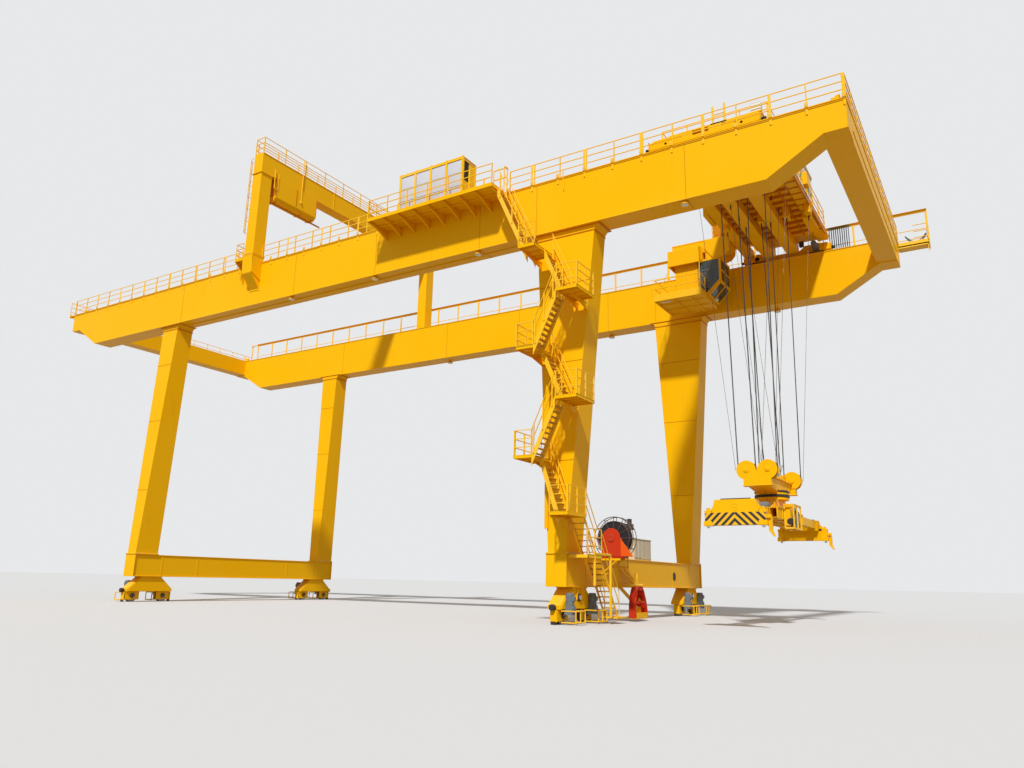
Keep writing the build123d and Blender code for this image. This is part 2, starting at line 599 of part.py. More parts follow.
with BuildPart() as landings:
    for level, (x0, x1) in zip(LEVELS[:-1], LANDINGS):
        front, left, right = leg_front(level - LANDING_DEPTH)
        arm = max(left, x0) if x0 < LEG_SPACING / 2 else x0
        block(x0, x1, LANE_EDGE, LANE_IN, level - LANDING_DEPTH, level)
        block(arm, arm + STAIR_POST, LANE_IN, front, level - LANDING_DEPTH, level)
    x0, x1 = LANDINGS[-1]
    under = LEVELS[-1] - LANDING_DEPTH
    block(x0, x1, LANE_EDGE, LANE_IN, under, LEVELS[-1])
    back = LANE_IN + 3 * STAIR_POST
    block(x0, x0 + STAIR_POST, LANE_IN - STAIR_POST, back, under - LANDING_DEPTH, under)
    block(leg_front(under)[2], x0, leg_front(under)[0], back, under - LANDING_DEPTH, under)
save(landings, "stair_landings")

with BuildPart() as stair_sides:
    for way in FLIGHTS:
        stringers(*way)
save(stair_sides, "stair_stringers")

with BuildPart() as stair_treads:
    for way in FLIGHTS + BASE_FLIGHTS:
        treads(*way)
save(stair_treads, "stair_treads")

# Railings of the stair: one line of posts with two rails on each landing and flight
with BuildPart() as stair_rails:
    for level, (x0, x1) in zip(LEVELS, LANDINGS):
        left_side = x0 < LEG_SPACING / 2
        railing_x(x0, x1, LANE_EDGE, level, 1.1 * M)
        back = x0 if left_side else x1 - POST
        railing_y(LANE_EDGE + POST, LANE_OUTER if level == LEVELS[0] else LANE_IN, back, level, 1.0 * M)
    for run0, level0, run1, level1, lane0, lane1 in FLIGHTS:
        if lane0 == LANE_EDGE or level1 == HOUSE_DECK_TOP:
            for n in (1, 2):
                rise = RAILING_HEIGHT * n / 2
                profile_y([(run0, level0 + rise), (run1, level1 + rise),
                           (run1, level1 + rise - 2 * RAIL_TUBE), (run0, level0 + rise - 2 * RAIL_TUBE)],
                          lane0 - RAIL_TUBE, lane0)
            for share in (0.1, 0.5, 0.9):
                x = run0 + (run1 - run0) * share
                z = level0 + (level1 - level0) * share
                block(x - POST / 2, x + POST / 2, lane0 - POST, lane0, z - STRINGER, z + RAILING_HEIGHT)
save(stair_rails, "stair_railings")

# Deck at the foot of the leg, with the last flights to it and to the ground
with BuildPart() as base_stair:
    face = LEG_SPACING / 2 + SILL_WIDTH / 2
    block(face, face + BASE_DECK_WIDTH, BASE_DECK_Y[0], BASE_DECK_Y[1], SILL_TOP - LANDING_DEPTH, SILL_TOP)
    for y in (BASE_DECK_Y[0] + 0.2 * M, BASE_DECK_Y[1] - 0.2 * M):
        profile_y([(face, SILL_TOP - LANDING_DEPTH), (face + BASE_DECK_WIDTH, SILL_TOP - LANDING_DEPTH),
                   (face, SILL_TOP - 0.7 * M)], y - BRACKET_PLATE / 2, y + BRACKET_PLATE / 2)
    for way in BASE_FLIGHTS:
        stringers(*way)
    railing_y(BASE_DECK_Y[0], BASE_DECK_Y[1], face + BASE_DECK_WIDTH - POST, SILL_TOP, 1.3 * M)
    run = BASE_STAIR_END - BASE_DECK_Y[1]
    for n in (1, 2):
        rise = RAILING_HEIGHT * n / 2
        profile_x([(BASE_DECK_Y[1] - POST, SILL_TOP + rise), (BASE_DECK_Y[1], SILL_TOP + rise),
                   (BASE_STAIR_END, BASE_STAIR_FOOT + rise),
                   (BASE_STAIR_END, BASE_STAIR_FOOT + rise - 2 * RAIL_TUBE),
                   (BASE_DECK_Y[1] - POST, SILL_TOP + rise - 2 * RAIL_TUBE)],
                  BASE_LANE[1], BASE_LANE[1] + RAIL_TUBE)
    for n in (0, 1):
        y = BASE_STAIR_END - POST + n * (run / 2 * -1)
        z = BASE_STAIR_FOOT + n * (SILL_TOP - BASE_STAIR_FOOT) / 2
        block(BASE_LANE[1], BASE_LANE[1] + POST, y - POST / 2, y + POST / 2, z - STRINGER,
              z + RAILING_HEIGHT)
save(base_stair, "base_stair")

# Cable reel with its stand on the outer face of the right sill beam
SILL_FACE = LEG_SPACING / 2 + SILL_WIDTH / 2
STAND_FACE = REEL_Y - REEL_WIDTH / 2 - RUN
STAND_DEPTH = 0.24 * M
STAND_HALF = 0.41 * M
HUB = 0.16 * M
REEL_PIN = 0.07 * M
with BuildPart() as stand:
    low = SILL_TOP - 0.6 * M
    back = STAND_FACE - STAND_DEPTH
    block(SILL_FACE, REEL_X + STAND_HALF, back, STAND_FACE, low, low + 0.45 * M)
    block(REEL_X - STAND_HALF, REEL_X + STAND_HALF, back, STAND_FACE, low, REEL_Z)
    rod_y(REEL_X, REEL_Z, STAND_HALF, back, STAND_FACE)
    rod_y(REEL_X, REEL_Z, REEL_PIN, STAND_FACE, REEL_Y + REEL_WIDTH / 2)
    rod_y(REEL_X, REEL_Z, HUB, REEL_Y + REEL_WIDTH / 2 + SEAT, REEL_Y + REEL_WIDTH / 2 + 2 * RUN)
    rod_y(REEL_X, REEL_Z, REEL_PIN, REEL_Y, REEL_Y + REEL_WIDTH / 2 + SEAT)
    profile_y([(REEL_X + STAND_HALF, low), (REEL_X + STAND_HALF + 0.45 * M, low),
               (REEL_X + STAND_HALF, REEL_Z)], back, back + BRACKET_PLATE)
save(stand, "reel_stand")

with BuildPart() as reel:
    y0, y1 = REEL_Y - REEL_WIDTH / 2, REEL_Y + REEL_WIDTH / 2
    rim = 0.06 * M
    rod_y(REEL_X, REEL_Z, REEL_DRUM, y0, y1)
    for y in (y0, y1 - BRACKET_PLATE):
        with BuildSketch(Plane.XZ.offset(-y)) as spokes:
            with Locations((REEL_X, REEL_Z)):
                Circle(REEL_RADIUS)
                Circle(REEL_RADIUS - rim, mode=Mode.SUBTRACT)
                with PolarLocations(REEL_RADIUS / 2, 12):
                    Rectangle(REEL_RADIUS - rim / 2, rim)
        extrude(spokes.sketch, amount=-BRACKET_PLATE)
    rod_y(REEL_X, REEL_Z, REEL_PIN + PIN_FIT, y0, y1, mode=Mode.SUBTRACT)
save(reel, "cable_reel")

# Guide for the supply cable, low on the outer face of the sill beam, and a control cabinet
with BuildPart() as guide:
    x0, x1 = SILL_FACE + 0.35 * M, SILL_FACE + 0.80 * M
    for y in (-3.15 * M, -1.40 * M):
        profile_y([(SILL_FACE, 2.2 * M), (SILL_FACE, 2.05 * M), (x0 + 0.15 * M, 1.40 * M),
                   (x0 + 0.15 * M, 1.55 * M)], y, y + 0.1 * M)
    block(x0, x1, -3.15 * M, -1.30 * M, 1.40 * M, 1.58 * M)
    for y in (-2.75 * M, -1.80 * M):
        profile_x([(y - 0.05 * M, 1.40 * M), (y + 0.05 * M, 1.40 * M), (y + 0.05 * M, 0.12 * M),
                   (y - 0.05 * M, 0.12 * M)], x0 + 0.1 * M, x1 - 0.1 * M)
    block(x0 + 0.05 * M, x1 - 0.05 * M, -2.85 * M, -1.70 * M, 0.6 * M, 0.7 * M)
save(guide, "cable_guide")

with BuildPart() as cabinet:
    x = LEG_SPACING / 2
    block(x - 0.35 * M, x + 0.35 * M, -1.05 * M, -0.15 * M, SILL_TOP, SILL_TOP + 1.03 * M)
save(cabinet, "control_cabinet")

# Service portal: two columns on the girders and a beam with a service hoist across them
COLUMN_IN = PORTAL_COLUMN_Y - PORTAL_COLUMN_DEPTH / 2
COLUMN_OUT = PORTAL_COLUMN_Y + PORTAL_COLUMN_DEPTH / 2
PORTAL_TOP = PORTAL_UNDERSIDE + PORTAL_BEAM_DEPTH
with BuildPart() as portal:
    for end, name in ENDS:
        foot = GIRDER_TOP - PORTAL_SOCKET
        places = [(COLUMN_OUT, PORTAL_UNDERSIDE), (COLUMN_IN, PORTAL_UNDERSIDE), (COLUMN_IN, GIRDER_TOP),
                  (GIRDER_OUT + FLANGE, GIRDER_TOP), (GIRDER_OUT + FLANGE, GIRDER_TOP - FLANGE),
                  (GIRDER_OUT, GIRDER_TOP - FLANGE), (GIRDER_OUT, foot),
                  (COLUMN_OUT, foot + PORTAL_SOCKET / 2)]
        profile_x([(end * y, z) for y, z in places], PORTAL_LOW, PORTAL_HIGH)
    block(PORTAL_LOW, PORTAL_HIGH, -COLUMN_OUT, COLUMN_OUT, PORTAL_UNDERSIDE, PORTAL_TOP)
save(portal, "service_portal")

with BuildPart() as portal_rail:
    for x, side in ((PORTAL_LOW, 1), (PORTAL_HIGH, -1)):
        railing_y(-COLUMN_OUT, COLUMN_OUT, x, PORTAL_TOP, 1.7 * M, side=side)
    for y, side in ((-COLUMN_OUT, 1), (COLUMN_OUT, -1)):
        railing_x(PORTAL_LOW, PORTAL_HIGH, y, PORTAL_TOP, PORTAL_WIDTH, side=side)
save(portal_rail, "portal_railing")

with BuildPart() as hoist_box:
    half = HOIST_BOX_WIDTH / 2
    low = PORTAL_UNDERSIDE - HOIST_BOX_DEPTH
    profile_y([(PORTAL_X - half, PORTAL_UNDERSIDE), (PORTAL_X - half, low + half / 2),
               (PORTAL_X - half / 2, low), (PORTAL_X + half / 2, low),
               (PORTAL_X + half, low + half / 2), (PORTAL_X + half, PORTAL_UNDERSIDE)],
              HOIST_BOX_Y[0], HOIST_BOX_Y[1])
save(hoist_box, "portal_hoist_housing")

LADDER_WIDTH = 0.45 * M
LADDER_LOW = 21.30 * M
with BuildPart() as ladder:
    back = PORTAL_LOW
    out = back - 0.22 * M
    for y in (-PORTAL_COLUMN_Y - LADDER_WIDTH / 2, -PORTAL_COLUMN_Y + LADDER_WIDTH / 2):
        block(out, out + RAIL_TUBE, y - RAIL_TUBE / 2, y + RAIL_TUBE / 2, LADDER_LOW, PORTAL_TOP)
        for z in posts_along(LADDER_LOW + 0.2 * M, PORTAL_UNDERSIDE - 0.2 * M, 2.4 * M):
            block(out, back, y - RAIL_TUBE / 2, y + RAIL_TUBE / 2, z, z + RAIL_TUBE)
    rungs = posts_along(LADDER_LOW + 0.1 * M, PORTAL_TOP - 0.1 * M, 0.3 * M)
    bars_y([(out + RAIL_TUBE / 2, z) for z in rungs], RAIL_TUBE * 0.7, RAIL_TUBE * 0.7,
           -PORTAL_COLUMN_Y - LADDER_WIDTH / 2, -PORTAL_COLUMN_Y + LADDER_WIDTH / 2)
save(ladder, "portal_ladder")

# Trolley frame: end trucks on the girder rails, cross beams and deck
RAIL_TOP = GIRDER_TOP + RAIL_HEIGHT
TRUCK_WHEEL_Z = RAIL_TOP + TROLLEY_WHEEL_RADIUS + SEAT
TRUCK_BOTTOM = 21.00 * M
TRUCK_ROOF = 21.66 * M
TROLLEY_WHEEL_WIDTH = 0.16 * M
TROLLEY_FLANGE = 0.025 * M
POCKET = TROLLEY_WHEEL_WIDTH / 2 + RUN
STAY_TOP = TRUCK_LENGTH / 2 - END_BEAM_INSET + 0.05 * M
TROLLEY_LEFT = TROLLEY_X - TRUCK_LENGTH / 2
TROLLEY_RIGHT = TROLLEY_X + TRUCK_LENGTH / 2
WHEEL_XS = (TROLLEY_X - TROLLEY_WHEEL_BASE / 2, TROLLEY_X + TROLLEY_WHEEL_BASE / 2)
with BuildPart() as trolley:
    for end, name in ENDS:
        y = end * GIRDER_Y
        block(TROLLEY_LEFT, TROLLEY_RIGHT, y - TRUCK_BEAM_WIDTH / 2, y + TRUCK_BEAM_WIDTH / 2,
              TRUCK_BOTTOM, TRUCK_ROOF)
        for x in WHEEL_XS:
            rod_y(x, TRUCK_WHEEL_Z, TROLLEY_WHEEL_RADIUS + TROLLEY_FLANGE + RUN, y - POCKET, y + POCKET,
                  mode=Mode.SUBTRACT)
            rod_y(x, TRUCK_WHEEL_Z, AXLE_RADIUS, y - TRUCK_BEAM_WIDTH / 2, y + TRUCK_BEAM_WIDTH / 2)
    inner = GIRDER_Y - TRUCK_BEAM_WIDTH / 2
    under = TROLLEY_DECK_TOP - TROLLEY_DECK_THICKNESS
    for x in MAIN_CROSS_BEAMS:
        block(TROLLEY_X + x - CROSS_BEAM_WIDTH / 2, TROLLEY_X + x + CROSS_BEAM_WIDTH / 2, -inner, inner,
              CROSS_BEAM_BOTTOM, under)
    for x in (TROLLEY_LEFT + END_BEAM_INSET, TROLLEY_RIGHT - END_BEAM_INSET):
        block(x - CROSS_BEAM_WIDTH / 2, x + CROSS_BEAM_WIDTH / 2, -inner, inner,
              under - OUTER_BEAM_DEPTH, under)
    for end, name in ENDS:
        y = end * SHEAVE_Y
        for top in (*ROPE_TOPS, STAY_TOP):
            for x in (LOAD_X - top, LOAD_X + top):
                block(x - ROPE_BLOCK[0] / 2, x + ROPE_BLOCK[0] / 2, y - ROPE_BLOCK[1] / 2,
                      y + ROPE_BLOCK[1] / 2, CROSS_BEAM_BOTTOM, under)
    block(TROLLEY_LEFT, TROLLEY_RIGHT, -TROLLEY_DECK_Y, TROLLEY_DECK_Y,
          TROLLEY_DECK_TOP - TROLLEY_DECK_THICKNESS, TROLLEY_DECK_TOP)
save(trolley, "trolley_frame")

WHEEL_NUMBER = 0
for x in WHEEL_XS:
    for end, name in ENDS:
        WHEEL_NUMBER += 1
        y = end * GIRDER_Y
        half = TROLLEY_WHEEL_WIDTH / 2
        with BuildPart() as wheel:
            rod_y(x, TRUCK_WHEEL_Z, TROLLEY_WHEEL_RADIUS, y - half, y + half)
            for face in (y - half, y + half - TROLLEY_FLANGE):
                rod_y(x, TRUCK_WHEEL_Z, TROLLEY_WHEEL_RADIUS + TROLLEY_FLANGE, face, face + TROLLEY_FLANGE)
            rod_y(x, TRUCK_WHEEL_Z, AXLE_RADIUS + PIN_FIT, y - half, y + half, mode=Mode.SUBTRACT)
        save(wheel, f"trolley_wheel_{WHEEL_NUMBER}")

with BuildPart() as machinery:
    block(TROLLEY_X - MACHINE_HOUSE_X / 2, TROLLEY_X + MACHINE_HOUSE_X / 2, MACHINE_HOUSE_Y[0],
          MACHINE_HOUSE_Y[1], TROLLEY_DECK_TOP, TROLLEY_DECK_TOP + MACHINE_HOUSE_HEIGHT)
save(machinery, "machinery_house")

with BuildPart() as trolley_rail:
    for x, side in ((TROLLEY_LEFT, 1), (TROLLEY_RIGHT, -1)):
        railing_y(-TROLLEY_DECK_Y, TROLLEY_DECK_Y, x, TROLLEY_DECK_TOP, 1.5 * M, side=side)
    for y, side in ((-TROLLEY_DECK_Y, 1), (TROLLEY_DECK_Y, -1)):
        railing_x(TROLLEY_LEFT, TROLLEY_RIGHT, y, TROLLEY_DECK_TOP, 1.3 * M, side=side)
save(trolley_rail, "trolley_railing")

# Operator's cabin on a hanger at the left side of the trolley
CABIN_ROOF = CABIN_FLOOR + CABIN_HEIGHT
CABIN_DECK_TOP = CABIN_FLOOR
CABIN_SLANT = 0.75 * M
with BuildPart() as hanger:
    y0, y1 = CABIN_Y[0] + HANGER_INSET[0], CABIN_Y[1] - HANGER_INSET[1]
    x0 = CABIN_X[0] - HANGER_BACK
    block(x0, TROLLEY_LEFT, y0, y1, TROLLEY_DECK_TOP - HANGER_DEPTH, TROLLEY_DECK_TOP)
    block(x0, CABIN_X[0] + HANGER_LENGTH, CABIN_Y[0] - HANGER_EDGE, CABIN_Y[1] + HANGER_EDGE,
          CABIN_ROOF, TROLLEY_DECK_TOP - HANGER_DROP)
    block(CABIN_X[1] - HANGER_POST, CABIN_X[1], y0, y1, CABIN_ROOF, TROLLEY_DECK_TOP)
save(hanger, "cabin_hanger")

with BuildPart() as cabin:
    x0, x1 = CABIN_X
    y0, y1 = CABIN_Y
    profile_y([(x0, CABIN_FLOOR), (x1 - CABIN_SLANT, CABIN_FLOOR), (x1, CABIN_FLOOR + CABIN_SLANT),
               (x1, CABIN_ROOF), (x0, CABIN_ROOF)], y0, y1)
    wall = CABIN_WALL
    profile_y([(x0 + wall, CABIN_FLOOR + wall), (x1 - CABIN_SLANT - wall / 3, CABIN_FLOOR + wall),
               (x1 - wall, CABIN_FLOOR + CABIN_SLANT + wall / 3), (x1 - wall, CABIN_ROOF - wall),
               (x0 + wall, CABIN_ROOF - wall)], y0 + wall, y1 - wall, mode=Mode.SUBTRACT)
    block(x1 - 2 * wall, x1 + wall, y0 + wall, y1 - wall, CABIN_FLOOR + CABIN_SLANT + wall,
          CABIN_ROOF - 2 * wall, mode=Mode.SUBTRACT)
    profile_y([(x1 - CABIN_SLANT + wall, CABIN_FLOOR - wall), (x1 + wall, CABIN_FLOOR + CABIN_SLANT - wall),
               (x1 - 3 * wall, CABIN_FLOOR + CABIN_SLANT - wall),
               (x1 - CABIN_SLANT + wall, CABIN_FLOOR + 4 * wall)], y0 + wall, y1 - wall,
              mode=Mode.SUBTRACT)
save(cabin, "cabin_body")

with BuildPart() as glass:
    pane = wall / 3
    block(x1 - wall / 2 - pane, x1 - wall / 2, y0 + wall, y1 - wall, CABIN_FLOOR + CABIN_SLANT + wall,
          CABIN_ROOF - 2 * wall)
    low = (x1 - CABIN_SLANT + 1.1 * wall, CABIN_FLOOR + 0.9 * wall)
    high = (x1 - 1.4 * wall, CABIN_FLOOR + CABIN_SLANT - 1.6 * wall)
    profile_y([low, high, (high[0], high[1] + pane), (low[0], low[1] + pane)], y0 + wall, y1 - wall)
save(glass, "cabin_glass")

with BuildPart() as cabin_walk:
    x0, x1 = CABIN_DECK_X
    y0, y1 = CABIN_DECK_Y
    block(x0, CABIN_X[1] - CABIN_SLANT - 0.1 * M, y0, y1, CABIN_FLOOR - 0.15 * M, CABIN_FLOOR)
    block(x0, x1, y0, CABIN_Y[0] - 0.05 * M, CABIN_FLOOR - 0.15 * M, CABIN_FLOOR)
    railing_x(x0, x1, y0, CABIN_FLOOR, 1.3 * M)
    railing_y(y0 + POST, y1, x0, CABIN_FLOOR, 1.4 * M)
    railing_x(x0 + POST, CABIN_X[0] - RUN, y1 - POST, CABIN_FLOOR, 1.0 * M)
save(cabin_walk, "cabin_walkway")

# Hoist ropes from the headblock to the underside of the trolley
ROPE_TOP = CROSS_BEAM_BOTTOM - 2 * SEAT
with BuildPart() as ropes:
    tangent = SHEAVE_RADIUS + ROPE + SEAT
    for end, name in ENDS:
        y = end * SHEAVE_Y
        for side in (-1, 1):
            for step, top in zip((-1, 1), ROPE_TOPS):
                bar((LOAD_X + side * (SHEAVE_X + step * tangent), y, SHEAVE_Z),
                    (LOAD_X + side * top, y, ROPE_TOP), ROPE)
            y_stay = y + end * (EAR_GAP + EAR_PLATE) / 2
            bar((LOAD_X + side * (SHEAVE_X + EAR_RADIUS + ROPE / 2 + SEAT), y_stay, SHEAVE_Z),
                (LOAD_X + side * STAY_TOP, y_stay, ROPE_TOP - 2 * SEAT), ROPE / 2)
save(ropes, "hoist_ropes")

# Headblock with four sheaves and the upper half of the slewing ring
PLATE_GAP = EAR_GAP / 2
BODY_HALF = 0.62 * M
BODY_LOW = 6.15 * M
with BuildPart() as headblock:
    for end, name in ENDS:
        y = end * SHEAVE_Y
        for y0 in (y - PLATE_GAP - EAR_PLATE, y + PLATE_GAP):
            block(LOAD_X - BODY_HALF, LOAD_X + BODY_HALF, y0, y0 + EAR_PLATE, BODY_LOW, SHEAVE_Z)
            for side in (-1, 1):
                rod_y(LOAD_X + side * SHEAVE_X, SHEAVE_Z, EAR_RADIUS, y0, y0 + EAR_PLATE)
        for side in (-1, 1):
            rod_y(LOAD_X + side * SHEAVE_X, SHEAVE_Z, AXLE_RADIUS, y - PLATE_GAP, y + PLATE_GAP)
        block(LOAD_X - BODY_HALF, LOAD_X + BODY_HALF, y - PLATE_GAP, y + PLATE_GAP, BODY_LOW,
              SHEAVE_Z - SHEAVE_RADIUS - RUN)
    inner = SHEAVE_Y - PLATE_GAP - EAR_PLATE
    profile_x([(-inner, BODY_LOW), (-inner, BODY_LOW + 0.5 * M), (inner, BODY_LOW + 0.5 * M),
               (inner, BODY_LOW), (SLEW_RADIUS, SLEW_TOP), (-SLEW_RADIUS, SLEW_TOP)],
              LOAD_X - 0.42 * M, LOAD_X + 0.42 * M)
    with BuildSketch(Plane.XY.offset(SLEW_TOP)) as ring:
        with Locations((LOAD_X, 0)):
            Circle(SLEW_RADIUS)
    extrude(ring.sketch, amount=0.12 * M)
save(headblock, "headblock_frame")

with BuildPart() as sheaves:
    for end, name in ENDS:
        y = end * SHEAVE_Y
        half = PLATE_GAP - SEAT
        for side in (-1, 1):
            x = LOAD_X + side * SHEAVE_X
            rod_y(x, SHEAVE_Z, SHEAVE_RADIUS, y - half, y + half)
            rod_y(x, SHEAVE_Z, AXLE_RADIUS + PIN_FIT, y - half, y + half, mode=Mode.SUBTRACT)
save(sheaves, "headblock_sheaves")

# Spreader: main frame of four tubes that slews, two arms that slide in them, two flippers
TUBE_LOW = 4.70 * M
TUBE_TOP = TUBE_LOW + TUBE_HEIGHT
SPREADER_RING_LOW = SLEW_TOP - 0.30 * M
TUBE_XS = (-TUBE_NEAR_X, -TUBE_FAR_X, TUBE_FAR_X, TUBE_NEAR_X)
FRAME_HALF = TUBE_NEAR_X + TUBE_WIDTH / 2
with BuildPart() as spreader:
    for x in TUBE_XS:
        block(LOAD_X + x - TUBE_WIDTH / 2, LOAD_X + x + TUBE_WIDTH / 2, -MAIN_HALF, MAIN_HALF,
              TUBE_LOW, TUBE_TOP)
    block(LOAD_X - FRAME_HALF, LOAD_X + FRAME_HALF, -MAIN_HALF, MAIN_HALF, TUBE_TOP - TUBE_WALL,
          TUBE_TOP)
    profile_x([(-MAIN_HALF * 0.8, TUBE_TOP), (MAIN_HALF * 0.8, TUBE_TOP),
               (SLEW_RADIUS, SPREADER_RING_LOW), (-SLEW_RADIUS, SPREADER_RING_LOW)],
              LOAD_X - 0.42 * M, LOAD_X + 0.42 * M)
    with BuildSketch(Plane.XY.offset(SPREADER_RING_LOW)) as ring:
        with Locations((LOAD_X, 0)):
            Circle(SLEW_RADIUS)
    extrude(ring.sketch, amount=SLEW_TOP - SEAT - SPREADER_RING_LOW)
    for x in TUBE_XS:
        half = TUBE_WIDTH / 2 - TUBE_WALL
        block(LOAD_X + x - half, LOAD_X + x + half, -MAIN_HALF, MAIN_HALF, TUBE_LOW + TUBE_WALL,
              TUBE_TOP - TUBE_WALL, mode=Mode.SUBTRACT)
    block(LOAD_X + FRAME_HALF, LOAD_X + FRAME_HALF + PUMP_BOX_DEPTH, *PUMP_BOX_Y, *PUMP_BOX_Z)
save(spreader, "spreader_frame")

ARM_HALF = TUBE_WIDTH / 2 - TUBE_WALL - RUN
ARM_LOW = TUBE_LOW + TUBE_WALL + SEAT
ARM_TOP = TUBE_TOP - TUBE_WALL - RUN
END_TOP = SPREADER_UNDER + END_BEAM_HEIGHT
HINGE_X = LOAD_X + SPREADER_WIDTH / 2 + 0.23 * M
HINGE_Z = 4.45 * M
FLIPPER_PIN = 0.03 * M
FLIPPER_BOSS = 0.065 * M
for end, name in ENDS:
    out = end * (SPREADER_HALF + 0.09 * M)
    face = out - end * END_BEAM_THICKNESS
    head = face - end * 0.32 * M
    inner_xs = (-TUBE_FAR_X, TUBE_FAR_X) if end < 0 else (-TUBE_NEAR_X, TUBE_NEAR_X)
    with BuildPart() as arm:
        for x in inner_xs:
            low, high = sorted((end * ARM_INNER, head))
            block(LOAD_X + x - ARM_HALF, LOAD_X + x + ARM_HALF, low, high, ARM_LOW, ARM_TOP)
        low, high = sorted((head, out - end * 0.05 * M))
        block(LOAD_X - 0.85 * M, LOAD_X + 0.85 * M, low, high, END_TOP, ARM_TOP + 0.02 * M)
        low, high = sorted((face, out))
        half = SPREADER_WIDTH / 2 + 0.12 * M
        block(LOAD_X - half, LOAD_X + half, low, high, SPREADER_UNDER, END_TOP)
        lug = LOAD_X + half
        for lug_y in (low + 0.01 * M, high - 0.06 * M):
            block(lug, HINGE_X + FLIPPER_BOSS, lug_y, lug_y + 0.05 * M, HINGE_Z - FLIPPER_BOSS,
                  HINGE_Z + FLIPPER_BOSS)
        rod_y(HINGE_X, HINGE_Z, FLIPPER_PIN, low + 0.01 * M, high - 0.01 * M)
        for side in (-1, 1):
            lock_x = LOAD_X + side * SPREADER_WIDTH / 2
            with BuildSketch(Plane.XY.offset(SPREADER_UNDER)) as lock:
                with Locations((lock_x, end * SPREADER_HALF)):
                    Circle(0.045 * M)
            extrude(lock.sketch, amount=-0.10 * M)
    save(arm, f"spreader_arm_{name}")
    with BuildPart() as flipper:
        y0, y1 = low + 0.06 * M + RUN, high - 0.06 * M - RUN
        rod_y(HINGE_X, HINGE_Z, FLIPPER_BOSS, y0, y1)
        block(HINGE_X - FLIPPER_BOSS / 2, HINGE_X + FLIPPER_BOSS / 2, y0, y1, HINGE_Z - 0.55 * M, HINGE_Z)
        profile_y([(HINGE_X - FLIPPER_BOSS / 2, HINGE_Z - 0.55 * M),
                   (HINGE_X + FLIPPER_BOSS / 2, HINGE_Z - 0.55 * M),
                   (HINGE_X + 0.16 * M, HINGE_Z - 0.80 * M), (HINGE_X + 0.10 * M, HINGE_Z - 0.80 * M)],
                  y0, y1)
        rod_y(HINGE_X, HINGE_Z, FLIPPER_PIN + PIN_FIT, y0, y1, mode=Mode.SUBTRACT)
    save(flipper, f"flipper_{name}")
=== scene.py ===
"""Looks of a rail-mounted container gantry crane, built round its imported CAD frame."""

import json
import logging
import math
from dataclasses import dataclass
from enum import Enum
from typing import Iterable, Optional, Sequence

import bpy
from mathutils import Matrix, Vector

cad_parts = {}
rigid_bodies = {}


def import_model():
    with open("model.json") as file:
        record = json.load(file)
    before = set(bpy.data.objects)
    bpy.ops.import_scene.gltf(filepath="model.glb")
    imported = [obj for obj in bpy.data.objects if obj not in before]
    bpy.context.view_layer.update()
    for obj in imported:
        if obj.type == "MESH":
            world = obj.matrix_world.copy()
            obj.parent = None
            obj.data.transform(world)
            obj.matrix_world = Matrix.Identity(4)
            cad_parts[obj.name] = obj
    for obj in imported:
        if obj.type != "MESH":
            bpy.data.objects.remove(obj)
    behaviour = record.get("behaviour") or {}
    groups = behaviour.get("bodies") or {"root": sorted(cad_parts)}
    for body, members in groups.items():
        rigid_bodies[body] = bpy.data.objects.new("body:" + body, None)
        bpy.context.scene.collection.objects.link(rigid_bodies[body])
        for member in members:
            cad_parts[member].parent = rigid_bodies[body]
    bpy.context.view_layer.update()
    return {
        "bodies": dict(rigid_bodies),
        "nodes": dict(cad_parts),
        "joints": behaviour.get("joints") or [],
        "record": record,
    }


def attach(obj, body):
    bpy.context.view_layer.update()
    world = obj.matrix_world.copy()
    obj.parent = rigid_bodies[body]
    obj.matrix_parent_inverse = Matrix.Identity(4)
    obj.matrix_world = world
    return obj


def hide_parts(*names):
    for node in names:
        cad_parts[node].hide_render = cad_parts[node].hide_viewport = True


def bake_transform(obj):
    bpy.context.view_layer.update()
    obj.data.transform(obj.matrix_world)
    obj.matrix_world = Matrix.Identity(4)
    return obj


SCALE = 0.5  # model metres for one metre of the real crane

# Places that several sub-assemblies share, in real metres.
LOAD_X = 22.19  # middle of the ropes, the headblock and the spreader
SILL_X = 15.18  # ground rails, sill beams and feet of the legs
RAIL_Y = 7.60  # trolley rails and trucks
WEB_OUT = 8.205  # outer web of a girder
WEB_IN = 6.995  # inner web of a girder
GIRDER_TOP = 20.70
GIRDER_BOTTOM = 17.96
GIRDER_LEFT = -26.90
GIRDER_RIGHT = 28.00
LEG_TOP = 17.66
SILL_TOP = 2.87
SILL_HALF = 8.47  # half the length of a sill beam
LEG_IN = 0.18  # from the outer web to a leg's head
TROLLEY_DECK = 21.75
TROLLEY_UNDER = 21.67

BEVEL_ANGLE = math.radians(38)  # edges sharper than this are bevelled
SMOOTH_ANGLE = math.radians(32)  # edges flatter than this are shaded smooth

Point = tuple[float, float, float]
Span = tuple[float, float]
Piece = bpy.types.Object
log = logging.getLogger("crane")


def real(x: float, y: float, z: float) -> Vector:
    """Place in the model of a point measured on the real crane, in metres."""
    return Vector((x, y, z)) * SCALE


def about(middle: float, half: float) -> Span:
    """Span that reaches equally far to both sides of a middle."""
    return middle - half, middle + half


def reach(start: float, length: float) -> Span:
    """Span from a start over a length that may be negative, lower end first."""
    return min(start, start + length), max(start, start + length)


def outward(base: float, way: int, low: float, high: float) -> Span:
    """Span between two distances from a base, counted in the direction of way (1 or -1), lower end first."""
    a, b = base + way * low, base + way * high
    return min(a, b), max(a, b)


def spread(low: float, high: float, pitch: float) -> list[float]:
    """Places from low to high, evenly apart and no further than a pitch."""
    gaps = max(1, math.ceil((high - low) / pitch - 1e-6))
    return [low + (high - low) * n / gaps for n in range(gaps + 1)]


